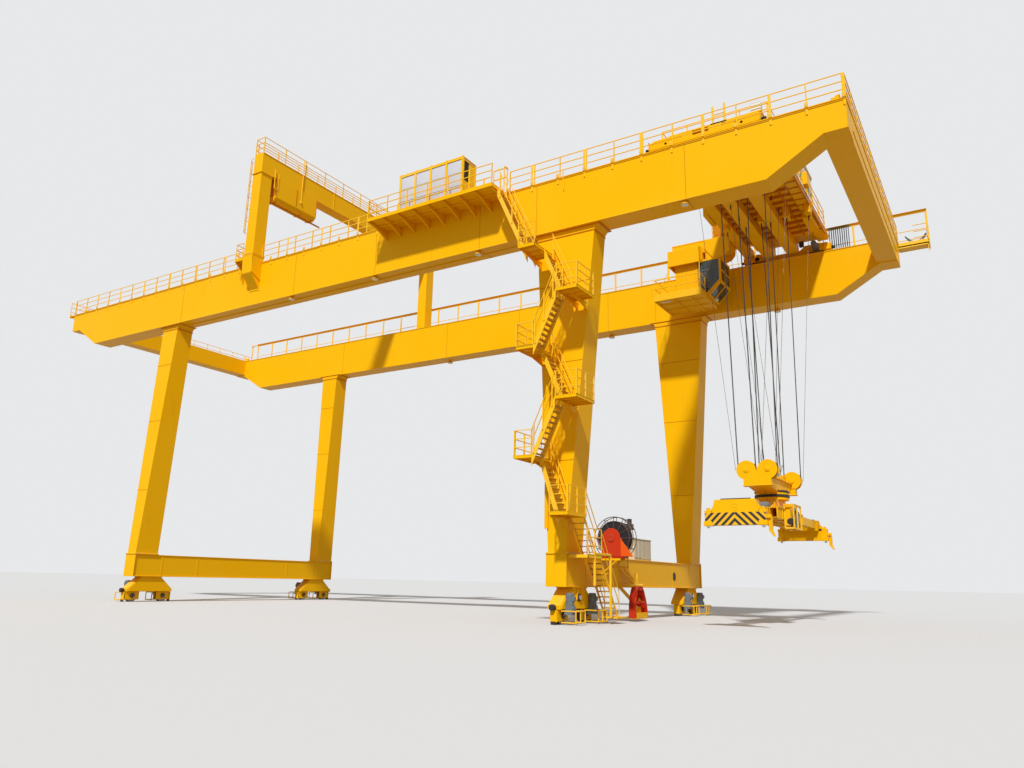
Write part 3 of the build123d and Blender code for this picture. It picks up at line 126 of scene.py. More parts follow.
def circle(count: int) -> list[float]:
    """Angles of points that stand evenly round a circle."""
    return [math.tau * n / count for n in range(count)]


def arc(count: int) -> list[float]:
    """Angles from 0 to half a turn, in a number of steps."""
    return [math.pi * n / count for n in range(count + 1)]


def chain(points: Sequence[Point]) -> list[tuple[Point, Point]]:
    """Pairs of neighbouring points, for a bar that follows them."""
    return list(zip(points[:-1], points[1:]))


def leg_share(level: float) -> float:
    """How far down a leg a level is: 0 at its head, 1 at its foot."""
    return (LEG_TOP - level) / (LEG_TOP - SILL_TOP)


class Slot(Enum):
    """Material slots of the record that new pieces take their finish from."""

    PAINT = "yellow_paint"
    RAILING = "yellow_rail"
    RAIL_STEEL = "rail_steel"
    WHEEL_STEEL = "wheel_steel"
    MOTOR = "motor_grey"
    PANEL = "panel_grey"
    CREAM = "house_cream"
    RED = "red_paint"
    DARK = "dark_paint"
    BEIGE = "cabinet_beige"
    CABLE = "cable_black"
    ROPE = "rope_steel"
    GLASS = "cabin_glass"
    CABIN = "cabin_paint"
    GRATING = "grating"


class Tree:
    """Short ways to add nodes to a node tree and wire them."""

    def __init__(self, tree: bpy.types.NodeTree) -> None:
        """Keep the tree that nodes are added to."""
        self.tree = tree

    def add(self, kind: str, **settings: object) -> bpy.types.Node:
        """Add a node.

        Args:
            kind: Blender's node type, without the ShaderNode in front.
            settings: node properties, and input defaults under in_0, in_1 and so on.

        Returns:
            The new node.
        """
        node = self.tree.nodes.new("ShaderNode" + kind if not kind.startswith("Node") else kind)
        for key, value in settings.items():
            if key.startswith("in_"):
                name = key[3:]
                node.inputs[int(name) if name.isdigit() else name].default_value = value
            else:
                setattr(node, key, value)
        return node

    def wire(self, source: bpy.types.NodeSocket, target: bpy.types.NodeSocket) -> None:
        """Join two sockets."""
        self.tree.links.new(source, target)

    def math(self, operation: str, *values: object, clamp: bool = False) -> bpy.types.NodeSocket:
        """Add a Math node.

        Args:
            operation: Blender's name for the operation.
            values: sockets or numbers for its inputs.
            clamp: whether the result is kept between 0 and 1.

        Returns:
            The result socket.
        """
        node = self.add("Math", operation=operation, use_clamp=clamp)
        for n, value in enumerate(values):
            if isinstance(value, (int, float)):
                node.inputs[n].default_value = value
            else:
                self.wire(value, node.inputs[n])
        return node.outputs[0]

    def mix(self, factor: object, first: object, second: object) -> bpy.types.NodeSocket:
        """Mix two colours.

        Args:
            factor: share of the second colour, a socket or a number.
            first: socket or RGB colour.
            second: socket or RGB colour.

        Returns:
            The mixed colour's socket.
        """
        node = self.add("Mix", data_type="RGBA")
        for index, value in ((0, factor), (6, first), (7, second)):
            if isinstance(value, bpy.types.NodeSocket):
                self.wire(value, node.inputs[index])
            elif index == 0:
                node.inputs[0].default_value = value
            else:
                node.inputs[index].default_value = (*value, 1.0)
        return node.outputs[2]

    def ramp(self, factor: bpy.types.NodeSocket, low: float, high: float) -> bpy.types.NodeSocket:
        """Turn a value into a mask that rises from 0 at low to 1 at high."""
        node = self.add("MapRange", in_1=low, in_2=high)
        node.interpolation_type = "SMOOTHSTEP"
        self.wire(factor, node.inputs[0])
        return node.outputs[0]

    def noise(self, place: bpy.types.NodeSocket, scale: object, detail: float = 4.0) -> bpy.types.NodeSocket:
        """Add a Noise texture over a place and return its value."""
        node = self.add("TexNoise", in_Detail=detail)
        self.wire(place, node.inputs["Vector"])
        if isinstance(scale, bpy.types.NodeSocket):
            self.wire(scale, node.inputs["Scale"])
        else:
            node.inputs["Scale"].default_value = scale
        return node.outputs["Fac"]


class EffectGroup:
    """A shader node group with named inputs and outputs, built once and used by many finishes."""

    def __init__(self, name: str, inputs: dict[str, object], outputs: dict[str, str]) -> None:
        """Make the group's tree and sockets.

        Args:
            name: name of the group.
            inputs: default of each input, a number or an RGB colour.
            outputs: kind of each output, "Float" or "Color".
        """
        self.data = bpy.data.node_groups.new(name, "ShaderNodeTree")
        for key, value in inputs.items():
            kind = "NodeSocketFloat" if isinstance(value, float) else "NodeSocketColor"
            socket = self.data.interface.new_socket(key, in_out="INPUT", socket_type=kind)
            socket.default_value = value if isinstance(value, float) else (*value, 1.0)
        for key, kind in outputs.items():
            self.data.interface.new_socket(key, in_out="OUTPUT", socket_type="NodeSocket" + kind)
        self.net = Tree(self.data)
        self.given = self.net.add("NodeGroupInput").outputs
        self.made = self.net.add("NodeGroupOutput").inputs

    def place(self, net: Tree, **values: object) -> bpy.types.Node:
        """Put the group into a material with its own values.

        Args:
            net: the material's tree.
            values: numbers or RGB colours for the group's inputs, spaces in names written as _.

        Returns:
            The group node.
        """
        node = net.add("Group")
        node.node_tree = self.data
        for key, value in values.items():
            socket = node.inputs[key.replace("_", " ")]
            socket.default_value = value if isinstance(value, float) else (*value, 1.0)
        return node


def weathered_coat() -> EffectGroup:
    """Group for paint outdoors: tint drifting over plates, rain streaks, dust and fine grain."""
    group = EffectGroup(
        "Weathered coat",
        {"Paint": (0.8, 0.6, 0.1), "Faded": (0.8, 0.7, 0.3), "Dirt": (0.25, 0.18, 0.1), "Fade": 0.3,
         "Streaks": 0.3, "Dust": 0.2, "Gloss": 0.35, "Cloud size": 0.6},
        {"Color": "Color", "Roughness": "Float", "Height": "Float"},
    )
    net, given, made = group.net, group.given, group.made
    place = net.add("TexCoord").outputs["Object"]
    cloud = net.noise(place, given["Cloud size"], 3.0)
    tall = net.add("Mapping")
    tall.inputs["Scale"].default_value = (5.0, 5.0, 0.22)
    net.wire(place, tall.inputs["Vector"])
    streak = net.ramp(net.noise(tall.outputs[0], 1.6, 5.0), 0.52, 0.78)
    patch = net.ramp(net.noise(place, 2.3, 4.0), 0.45, 0.75)
    speck = net.noise(place, 38.0, 3.0)
    fade = net.math("MULTIPLY", net.ramp(cloud, 0.35, 0.7), given["Fade"])
    colour = net.mix(fade, given["Paint"], given["Faded"])
    dirt = net.math("MULTIPLY", net.math("MULTIPLY", streak, patch), given["Streaks"], clamp=True)
    colour = net.mix(dirt, colour, given["Dirt"])
    up = net.add("SeparateXYZ")
    net.wire(net.add("NewGeometry").outputs["Normal"], up.inputs[0])
    lying = net.ramp(up.outputs[2], 0.5, 0.95)
    dust = net.math("MULTIPLY", net.math("MULTIPLY", lying, net.ramp(speck, 0.3, 0.7)), given["Dust"])
    colour = net.mix(dust, colour, (0.55, 0.47, 0.36))
    net.wire(colour, made["Color"])
    rough = net.math("ADD", given["Gloss"], net.math("MULTIPLY", net.math("SUBTRACT", speck, 0.5), 0.16))
    rough = net.math("ADD", rough, net.math("MULTIPLY", net.math("ADD", dirt, dust), 0.35), clamp=True)
    net.wire(rough, made["Roughness"])
    wave = net.noise(place, 1.1, 2.0)
    height = net.math("ADD", net.math("MULTIPLY", wave, 0.7), net.math("MULTIPLY", speck, 0.05))
    net.wire(height, made["Height"])
    return group


def worn_steel() -> EffectGroup:
    """Group for bare steel: bright where it runs, brown rust where it doesn't."""
    group = EffectGroup(
        "Worn steel",
        {"Steel": (0.4, 0.4, 0.4), "Rust": (0.2, 0.1, 0.06), "Rust amount": 0.5, "Gloss": 0.35, "Grain": 20.0},
        {"Color": "Color", "Roughness": "Float", "Height": "Float", "Rusted": "Float"},
    )
    net, given, made = group.net, group.given, group.made
    place = net.add("TexCoord").outputs["Object"]
    spot = net.noise(place, given["Grain"], 6.0)
    wide = net.noise(place, 3.0, 3.0)
    rust = net.math("MULTIPLY", net.ramp(net.math("ADD", spot, wide), 0.85, 1.25), given["Rust amount"], clamp=True)
    net.wire(net.mix(rust, given["Steel"], given["Rust"]), made["Color"])
    net.wire(net.math("ADD", given["Gloss"], net.math("MULTIPLY", rust, 0.4), clamp=True), made["Roughness"])
    net.wire(spot, made["Height"])
    net.wire(rust, made["Rusted"])
    return group


class Effects:
    """The node groups that the finishes share."""

    def __init__(self) -> None:
        """Build every group once."""
        self.coat = weathered_coat()
        self.steel = worn_steel()


@dataclass(frozen=True)
class PaintFinish:
    """Painted plate outdoors."""

    name: str
    paint: Point
    faded: Point
    dirt: Point = (0.30, 0.16, 0.05)
    fade: float = 0.3
    streaks: float = 0.25
    dust: float = 0.25
    gloss: float = 0.42
    cloud: float = 0.6
    bump: float = 0.12
    shine: float = 0.08

    def build(self, effects: Effects) -> bpy.types.Material:
        """Make the material from the shared groups."""
        material, net, shader = new_material(self.name)
        node = effects.coat.place(net, Paint=self.paint, Faded=self.faded, Dirt=self.dirt, Fade=self.fade,
                                  Streaks=self.streaks, Dust=self.dust, Gloss=self.gloss, Cloud_size=self.cloud)
        net.wire(node.outputs["Color"], shader.inputs["Base Color"])
        net.wire(node.outputs["Roughness"], shader.inputs["Roughness"])
        shader.inputs["Specular IOR Level"].default_value = self.shine
        raise_surface(net, shader, node.outputs["Height"], self.bump, 0.01)
        return material


@dataclass(frozen=True)
class SteelFinish:
    """Bare or galvanised steel."""

    name: str
    steel: Point
    rust: Point = (0.13, 0.065, 0.035)
    amount: float = 0.5
    gloss: float = 0.4
    grain: float = 20.0
    metallic: float = 0.9
    bump: float = 0.2

    def build(self, effects: Effects) -> bpy.types.Material:
        """Make the material from the shared groups."""
        material, net, shader = new_material(self.name)
        node = effects.steel.place(net, Steel=self.steel, Rust=self.rust, Rust_amount=self.amount,
                                   Gloss=self.gloss, Grain=self.grain)
        net.wire(node.outputs["Color"], shader.inputs["Base Color"])
        net.wire(node.outputs["Roughness"], shader.inputs["Roughness"])
        net.wire(net.math("MULTIPLY", net.math("SUBTRACT", 1.0, node.outputs["Rusted"]), self.metallic),
                 shader.inputs["Metallic"])
        raise_surface(net, shader, node.outputs["Height"], self.bump, 0.002)
        return material


def new_material(name: str) -> tuple[bpy.types.Material, Tree, bpy.types.Node]:
    """Make an empty material.

    Args:
        name: name of the material.

    Returns:
        The material, its tree and its Principled shader.
    """
    material = bpy.data.materials.new(name)
    material.use_nodes = True
    material.node_tree.nodes.clear()
    net = Tree(material.node_tree)
    shader = net.add("BsdfPrincipled")
    net.wire(shader.outputs[0], net.add("OutputMaterial").inputs[0])
    return material, net, shader


def raise_surface(net: Tree, shader: bpy.types.Node, height: bpy.types.NodeSocket, strength: float,
                  depth: float) -> None:
    """Feed a height through a Bump node into a shader's normal."""
    bump = net.add("Bump", in_Strength=strength, in_Distance=depth)
    net.wire(height, bump.inputs["Height"])
    net.wire(bump.outputs[0], shader.inputs["Normal"])


def glass_material(name: str, tint: Point) -> bpy.types.Material:
    """Make tinted window glass with faint dust.

    Args:
        name: name of the material.
        tint: colour of the glass.

    Returns:
        The material.
    """
    material, net, shader = new_material(name)
    dust = net.ramp(net.noise(net.add("TexCoord").outputs["Object"], 4.0, 6.0), 0.45, 0.8)
    net.wire(net.mix(net.math("MULTIPLY", dust, 0.25), tint, (0.5, 0.52, 0.5)), shader.inputs["Base Color"])
    net.wire(net.math("ADD", 0.04, net.math("MULTIPLY", dust, 0.10)), shader.inputs["Roughness"])
    shader.inputs["Transmission Weight"].default_value = 0.75
    shader.inputs["IOR"].default_value = 1.45
    return material


def chevron_material(name: str, centre: Point, pitch: float, yellow: Point, black: Point,
                     effects: Effects) -> bpy.types.Material:
    """Make black and yellow warning stripes that meet in a V over a centre.

    Args:
        name: name of the material.
        centre: point where the V meets, in model metres.
        pitch: width of one yellow and one black stripe together.
        yellow: light stripe colour.
        black: dark stripe colour.
        effects: the shared groups.

    Returns:
        The material.
    """
    material, net, shader = new_material(name)
    place = net.add("Mapping")
    place.inputs["Location"].default_value = [-c for c in centre]
    net.wire(net.add("TexCoord").outputs["Object"], place.inputs["Vector"])
    parts = net.add("SeparateXYZ")
    net.wire(place.outputs[0], parts.inputs[0])
    along = net.math("ADD", net.math("ABSOLUTE", parts.outputs[0]), parts.outputs[2])
    wave = net.math("FRACT", net.math("DIVIDE", net.math("ADD", along, 50.0 * pitch), pitch))
    dark = net.math("GREATER_THAN", wave, 0.5)
    node = effects.coat.place(net, Paint=yellow, Faded=yellow, Dirt=(0.2, 0.12, 0.06), Fade=0.2, Streaks=0.3,
                              Dust=0.1, Gloss=0.4, Cloud_size=2.0)
    net.wire(net.mix(dark, node.outputs["Color"], black), shader.inputs["Base Color"])
    net.wire(node.outputs["Roughness"], shader.inputs["Roughness"])
    raise_surface(net, shader, node.outputs["Height"], 0.15, 0.004)
    return material


def louvre_material(name: str, light: Point, dark: Point, pitch: float, effects: Effects) -> bpy.types.Material:
    """Make a louvred sheet: level blades with painted shade in the gaps between.

    Args:
        name: name of the material.
        light: blade colour.
        dark: painted shade in the gaps between the blades, also the colour of the dirt streaks.
        pitch: distance from blade to blade.
        effects: the shared groups.

    Returns:
        The material.
    """
    material, net, shader = new_material(name)
    parts = net.add("SeparateXYZ")
    net.wire(net.add("TexCoord").outputs["Object"], parts.inputs[0])
    blade = net.math("FRACT", net.math("DIVIDE", net.math("ADD", parts.outputs[2], 10.0), pitch))
    gap_shade_mask = net.ramp(blade, 0.55, 0.75)
    node = effects.coat.place(net, Paint=light, Faded=light, Dirt=dark, Fade=0.1, Streaks=0.3, Dust=0.1, Gloss=0.5,
                              Cloud_size=1.0)
    # Painted shade: the gaps between the blades take the dark colour.
    net.wire(net.mix(gap_shade_mask, node.outputs["Color"], dark), shader.inputs["Base Color"])
    net.wire(node.outputs["Roughness"], shader.inputs["Roughness"])
    raise_surface(net, shader, net.math("SUBTRACT", 1.0, blade), 0.6, 0.01)
    return material


def grating_material(name: str, steel: Point, pitch: float, effects: Effects) -> bpy.types.Material:
    """Make open bar grating: bars, with painted shade in the gaps between them.

    Args:
        name: name of the material.
        steel: colour of the bars.
        pitch: distance between bearing bars.
        effects: the shared groups.

    Returns:
        The material.
    """
    material, net, shader = new_material(name)
    place = net.add("TexCoord").outputs["Object"]
    parts = net.add("SeparateXYZ")
    net.wire(place, parts.inputs[0])
    across = net.math("FRACT", net.math("DIVIDE", net.math("ADD", parts.outputs[0], 100.0), pitch))
    along = net.math("FRACT", net.math("DIVIDE", net.math("ADD", parts.outputs[1], 100.0), pitch * 2.2))
    bar = net.math("MAXIMUM", net.math("LESS_THAN", across, 0.42), net.math("LESS_THAN", along, 0.22))
    node = effects.steel.place(net, Steel=steel, Rust=(0.55, 0.27, 0.03), Rust_amount=0.4, Gloss=0.5, Grain=9.0)
    # Painted shade: the gaps between the bars take a dark orange.
    net.wire(net.mix(bar, (0.38, 0.17, 0.01), node.outputs["Color"]), shader.inputs["Base Color"])
    net.wire(node.outputs["Roughness"], shader.inputs["Roughness"])
    net.wire(net.math("MULTIPLY", bar, 0.10), shader.inputs["Metallic"])
    raise_surface(net, shader, bar, 0.7, 0.006)
    return material


def strand_material(name: str, steel: Point, groove: Point, pitch: float, effects: Effects) -> bpy.types.Material:
    """Make wire rope: strands wound at a slant, darker between them.

    Args:
        name: name of the material.
        steel: strand colour.
        groove: colour between the strands.
        pitch: height between one strand and the next.
        effects: the shared groups.

    Returns:
        The material.
    """
    material, net, shader = new_material(name)
    parts = net.add("SeparateXYZ")
    net.wire(net.add("TexCoord").outputs["Object"], parts.inputs[0])
    slant = net.math("ADD", parts.outputs[2],
                     net.math("MULTIPLY", net.math("ADD", parts.outputs[0], parts.outputs[1]), 1.4))
    wave = net.math("SINE", net.math("MULTIPLY", slant, 2 * math.pi / pitch))
    # Darker in the grooves between the strands.
    strand = net.ramp(wave, -0.7, 0.2)
    node = effects.steel.place(net, Steel=steel, Rust=(0.12, 0.09, 0.06), Rust_amount=0.5, Gloss=0.4, Grain=14.0)
    net.wire(net.mix(strand, groove, node.outputs["Color"]), shader.inputs["Base Color"])
    net.wire(node.outputs["Roughness"], shader.inputs["Roughness"])
    shader.inputs["Metallic"].default_value = 0.6
    raise_surface(net, shader, wave, 0.5, 0.003)
    return material


class Finishes:
    """Every finish of the crane, built once."""

    def __init__(self) -> None:
        """Build the shared groups and all materials."""
        self.effects = Effects()
        build = [PaintFinish("yellow_plate", (0.94, 0.50, 0.001), (0.94, 0.545, 0.012),
                             dirt=(0.55, 0.22, 0.004)),
                 PaintFinish("yellow_tube", (0.95, 0.55, 0.012), (0.93, 0.60, 0.09), fade=0.55, streaks=0.12),
                 # orange_plate is the yellow paint darkened to deep orange: painted shade on the trolley's underside,
                 # its cubicle and the band under the leg heads. It is also the colour of the weld seams and the hoist
                 # flanges.
                 PaintFinish("orange_plate", (0.62, 0.22, 0.004), (0.72, 0.30, 0.01), dirt=(0.25, 0.09, 0.01)),
                 PaintFinish("motor_grey", (0.17, 0.20, 0.22), (0.24, 0.27, 0.29), dirt=(0.06, 0.05, 0.04),
                             cloud=2.0),
                 PaintFinish("panel_grey", (0.58, 0.60, 0.67), (0.64, 0.66, 0.71), dirt=(0.42, 0.38, 0.36),
                             streaks=0.3, gloss=0.6, shine=0.03),
                 PaintFinish("house_cream", (0.72, 0.70, 0.55), (0.76, 0.74, 0.64), dirt=(0.35, 0.28, 0.16),
                             streaks=0.35),
                 PaintFinish("cabin_paint", (0.93, 0.49, 0.001), (0.93, 0.53, 0.012),
                             dirt=(0.55, 0.22, 0.004)),
                 PaintFinish("red_paint", (0.55, 0.035, 0.012), (0.62, 0.07, 0.02), dirt=(0.18, 0.03, 0.01)),
                 PaintFinish("flame_paint", (0.82, 0.10, 0.01), (0.82, 0.16, 0.02), dirt=(0.3, 0.06, 0.01)),
                 PaintFinish("dark_paint", (0.045, 0.042, 0.040), (0.085, 0.08, 0.075),
                             dirt=(0.12, 0.08, 0.05), cloud=3.0),
                 PaintFinish("cabinet_beige", (0.58, 0.52, 0.38), (0.66, 0.60, 0.47), dirt=(0.28, 0.20, 0.1),
                             streaks=0.4),
                 PaintFinish("rubber", (0.022, 0.022, 0.024), (0.05, 0.05, 0.05), streaks=0.0, gloss=0.55,
                             shine=0.15),
                 PaintFinish("cable_blue", (0.10, 0.14, 0.17), (0.17, 0.21, 0.24), streaks=0.0, gloss=0.5,
                             shine=0.15),
                 PaintFinish("seat_cloth", (0.03, 0.035, 0.05), (0.05, 0.055, 0.07), streaks=0.0, gloss=0.8,
                             shine=0.15),
                 PaintFinish("green_band", (0.02, 0.22, 0.10), (0.05, 0.27, 0.14), dirt=(0.05, 0.10, 0.05)),
                 SteelFinish("rail_steel", (0.33, 0.31, 0.29), amount=0.9, gloss=0.35),
                 SteelFinish("wheel_steel", (0.22, 0.21, 0.20), amount=0.6, gloss=0.32),
                 SteelFinish("bright_steel", (0.62, 0.62, 0.62), amount=0.12, gloss=0.28),
                 SteelFinish("brown_steel", (0.16, 0.10, 0.07), rust=(0.09, 0.04, 0.025), amount=0.9,
                             metallic=0.3)]
        self.made = {finish.name: finish.build(self.effects) for finish in build}
        self.made["cabin_glass"] = glass_material("cabin_glass", (0.16, 0.20, 0.19))
        self.made["grating"] = grating_material("grating", (0.86, 0.47, 0.02), 0.045, self.effects)
        self.made["rope_strand"] = strand_material("rope_strand", (0.17, 0.16, 0.15), (0.035, 0.03, 0.03), 0.035,
                                                   self.effects)
        self.made["louvre_grey"] = louvre_material("louvre_grey", (0.78, 0.74, 0.62), (0.34, 0.28, 0.20), 0.09,
                                                   self.effects)
        self.made["lamp_lens"] = self.lens()
        self.made["chevron"] = chevron_material("chevron", tuple(real(LOAD_X, 0.0, 4.12)), 0.15, (0.93, 0.50, 0.004),
                                                (0.02, 0.02, 0.02), self.effects)

    def lens(self) -> bpy.types.Material:
        """Make the ribbed pale lens of a lamp."""
        material, net, shader = new_material("lamp_lens")
        rings = net.add("TexWave", in_Scale=40.0, in_Distortion=0.5)
        net.wire(net.add("TexCoord").outputs["Object"], rings.inputs["Vector"])
        net.wire(net.mix(rings.outputs["Fac"], (0.72, 0.74, 0.72), (0.88, 0.9, 0.88)), shader.inputs["Base Color"])
        shader.inputs["Roughness"].default_value = 0.15
        raise_surface(net, shader, rings.outputs["Fac"], 0.3, 0.002)
        return material

    def __getitem__(self, name: str) -> bpy.types.Material:
        """Give a finish by name."""
        return self.made[name]


SLOT_FINISH = {
    Slot.PAINT: "yellow_plate", Slot.RAILING: "yellow_tube", Slot.RAIL_STEEL: "rail_steel",
    Slot.WHEEL_STEEL: "wheel_steel", Slot.MOTOR: "motor_grey", Slot.PANEL: "panel_grey", Slot.CREAM: "house_cream",
    Slot.RED: "red_paint", Slot.DARK: "dark_paint", Slot.BEIGE: "cabinet_beige", Slot.CABLE: "rubber",
    Slot.ROPE: "rope_strand", Slot.GLASS: "cabin_glass", Slot.CABIN: "cabin_paint", Slot.GRATING: "grating",
}


class Axis(Enum):
    """Direction that a turned or extruded shape runs along."""

    X = "x"
    Y = "y"
    Z = "z"

    def turn(self) -> Point:
        """Rotation that lays a primitive's own Z along this axis."""
        return {"x": (0.0, math.pi / 2, 0.0), "y": (-math.pi / 2, 0.0, 0.0), "z": (0.0, 0.0, 0.0)}[self.value]

    def place(self, a: float, b: float, along: float) -> Point:
        """Point from two outline values and a value along the axis, in the order x, y, z."""
        return {"x": (along, a, b), "y": (a, along, b), "z": (a, b, along)}[self.value]

    def turned(self, centre: Point, radius: float, angle: float) -> Point:
        """Point at an angle on a circle about this axis."""
        offset = self.place(radius * math.cos(angle), radius * math.sin(angle), 0.0)
        return tuple(c + d for c, d in zip(centre, offset))


class Workshop:
    """Tools that add primitives in place, shape them and hand them over to a body. Sizes are real metres."""

    def __init__(self, finishes: Finishes) -> None:
        """Keep the finishes and start the list of what was made."""
        self.finishes = finishes
        self.names: list[str] = []

    def alone(self, piece: Piece) -> Piece:
        """Select one piece and nothing else."""
        bpy.ops.object.select_all(action="DESELECT")
        piece.select_set(True)
        bpy.context.view_layer.objects.active = piece
        return piece

    def settle(self, piece: Piece) -> Piece:
        """Put a piece's place, turn and size into its mesh."""
        self.alone(piece)
        bpy.ops.object.transform_apply(location=True, rotation=True, scale=True)
        return piece

    def box(self, x: Span, y: Span, z: Span) -> Piece:
        """Add a block.

        Args:
            x: lowest and highest X.
            y: lowest and highest Y.
            z: lowest and highest Z.

        Returns:
            The block.
        """
        low, high = real(x[0], y[0], z[0]), real(x[1], y[1], z[1])
        bpy.ops.object.select_all(action="DESELECT")
        bpy.ops.mesh.primitive_cube_add(size=1.0, location=(low + high) / 2, scale=high - low)
        return self.settle(bpy.context.active_object)

    def disc(self, centre: Point, radius: float, depth: float, axis: Axis = Axis.Z, sides: int = 24,
             top: Optional[float] = None) -> Piece:
        """Add a drum, cone or cap.

        Args:
            centre: middle of the drum.
            radius: its radius.
            depth: its length along the axis.
            axis: the axis it is turned about.
            sides: number of sides.
            top: radius at the far end, if it tapers.

        Returns:
            The drum.
        """
        bpy.ops.object.select_all(action="DESELECT")
        bpy.ops.mesh.primitive_cone_add(
            vertices=sides, radius1=radius * SCALE, radius2=(radius if top is None else top) * SCALE,
            depth=depth * SCALE, location=real(*centre), rotation=axis.turn())
        return self.settle(bpy.context.active_object)

    def ring(self, centre: Point, radius: float, tube: float, axis: Axis, sides: int = 40, around: int = 8) -> Piece:
        """Add a round ring of tube."""
        bpy.ops.object.select_all(action="DESELECT")
        bpy.ops.mesh.primitive_torus_add(
            major_radius=radius * SCALE, minor_radius=tube * SCALE, major_segments=sides, minor_segments=around,
            location=real(*centre), rotation=axis.turn())
        return self.settle(bpy.context.active_object)

    def bolts(self, centre: Point, radius: float, count: int, head: float, depth: float, axis: Axis) -> list[Piece]:
        """Add a circle of bolts.

        Args:
            centre: middle of the circle.
            radius: radius of the circle.
            count: number of bolts.
            head: radius of a bolt's head.
            depth: height of a head.
            axis: direction that the bolts point in.

        Returns:
            The heads.
        """
        return [self.disc(axis.turned(centre, radius, angle), head, depth, axis, 6) for angle in circle(count)]

    def plate(self, outline: Sequence[Span], axis: Axis, span: Span) -> Piece:
        """Extrude an outline into a plate or a long profile.

        Args:
            outline: corners in the two directions across the axis, in the order x, y, z.
            axis: direction of the extrusion.
            span: where it starts and ends along the axis.

        Returns:
            The plate.
        """
        bpy.ops.object.select_all(action="DESELECT")
        bpy.ops.mesh.primitive_circle_add(vertices=len(outline), radius=1.0, fill_type="NGON")
        piece = bpy.context.active_object
        for vertex, (a, b) in zip(piece.data.vertices, outline):
            vertex.co = real(*axis.place(a, b, span[0]))
        bpy.ops.object.mode_set(mode="EDIT")
        bpy.ops.mesh.select_all(action="SELECT")
        bpy.ops.mesh.extrude_region_move(
            TRANSFORM_OT_translate={"value": real(*axis.place(0.0, 0.0, span[1] - span[0]))})
        bpy.ops.mesh.select_all(action="SELECT")
        bpy.ops.mesh.normals_make_consistent(inside=False)
        bpy.ops.object.mode_set(mode="OBJECT")
        return piece

    def rod(self, start: Point, end: Point, radius: float, sides: int = 8) -> Piece:
        """Add a round bar between two points."""
        a, b = real(*start), real(*end)
        turn = (b - a).to_track_quat("Z", "Y").to_euler()
        bpy.ops.object.select_all(action="DESELECT")
        bpy.ops.mesh.primitive_cylinder_add(vertices=sides, radius=radius * SCALE, depth=(b - a).length,
                                            location=(a + b) / 2, rotation=turn)
        return self.settle(bpy.context.active_object)

    def rods(self, ends: Sequence[tuple[Point, Point]], radius: float, sides: int = 8) -> Piece:
        """Model one round bar and copy it between many pairs of points.

        Args:
            ends: start and end of each bar.
            radius: radius of the bars.
            sides: number of sides of each bar.

        Returns:
            All bars as one piece.
        """
        bpy.ops.object.select_all(action="DESELECT")
        bpy.ops.mesh.primitive_cylinder_add(vertices=sides, radius=radius * SCALE, depth=1.0, location=(0, 0, 0.5))
        pattern = self.settle(bpy.context.active_object)
        places = []
        for start, end in ends:
            a, b = real(*start), real(*end)
            turn = (b - a).to_track_quat("Z", "Y").to_matrix().to_4x4()
            places.append(Matrix.Translation(a) @ turn @ Matrix.Diagonal((1.0, 1.0, (b - a).length, 1.0)))
        return self.scatter(pattern, places)

    def scatter(self, pattern: Piece, places: Iterable[Matrix]) -> Piece:
        """Copy a modelled piece to many places and join the copies.

        Args:
            pattern: the piece, which is used up.
            places: where each copy goes, as a matrix.

        Returns:
            The joined copies.
        """
        made = []
        for matrix in places:
            mesh = pattern.data.copy()
            mesh.transform(matrix)
            made.append(bpy.data.objects.new(pattern.name, mesh))
            bpy.context.scene.collection.objects.link(made[-1])
        bpy.data.objects.remove(pattern)
        return self.join(made)

    def repeat(self, pattern: Piece, shifts: Iterable[Point]) -> Piece:
        """Copy a modelled piece by many shifts and join the copies."""
        return self.scatter(pattern, [Matrix.Translation(real(*shift)) for shift in shifts])

    def join(self, pieces: Sequence[Piece]) -> Piece:
        """Join pieces into the first of them."""
        pieces = list(pieces)
        if len(pieces) == 1:
            return pieces[0]
        bpy.ops.object.select_all(action="DESELECT")
        for piece in pieces:
            piece.select_set(True)
        bpy.context.view_layer.objects.active = pieces[0]
        bpy.ops.object.join()
        return pieces[0]

    def modify(self, piece: Piece, kind: str, **settings: object) -> Piece:
        """Add one modifier and apply it."""
        self.alone(piece)
        modifier = piece.modifiers.new(kind.lower(), kind)
        for key, value in settings.items():
            setattr(modifier, key, value)
        bpy.ops.object.modifier_apply(modifier=modifier.name)
        return piece

    def soften(self, piece: Piece, width: float, segments: int = 1) -> Piece:
        """Bevel the sharp edges of a piece by a width in real metres."""
        return self.modify(piece, "BEVEL", width=width * SCALE, segments=segments, limit_method="ANGLE",
                           angle_limit=BEVEL_ANGLE, harden_normals=False)

    def hand_over(self, pieces: Sequence[Piece] | Piece, name: str, finish: str, body: str,
                  soften: float = 0.0, replaces: Sequence[str] = (), segments: int = 1) -> Piece:
        """Join pieces, soften and smooth them, give the finish and let them ride on a body.

        Args:
            pieces: what the piece is made of.
            name: its name.
            finish: name of its finish.
            body: body that it moves with.
            soften: width of the edge bevel in real metres.
            replaces: CAD nodes that it stands for.
            segments: segments of the bevel.

        Returns:
            The finished piece.
        """
        piece = pieces if isinstance(pieces, bpy.types.Object) else self.join(pieces)
        if soften:
            self.soften(piece, soften, segments)
        self.alone(piece)
        bpy.ops.object.shade_smooth_by_angle(angle=SMOOTH_ANGLE)
        piece.name = piece.data.name = name
        piece.data.materials.clear()
        piece.data.materials.append(self.finishes[finish])
        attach(piece, body)
        if replaces:
            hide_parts(*replaces)
        self.names.append(name)
        log.info("%s: %d faces on %s", name, len(piece.data.polygons), body)
        return piece


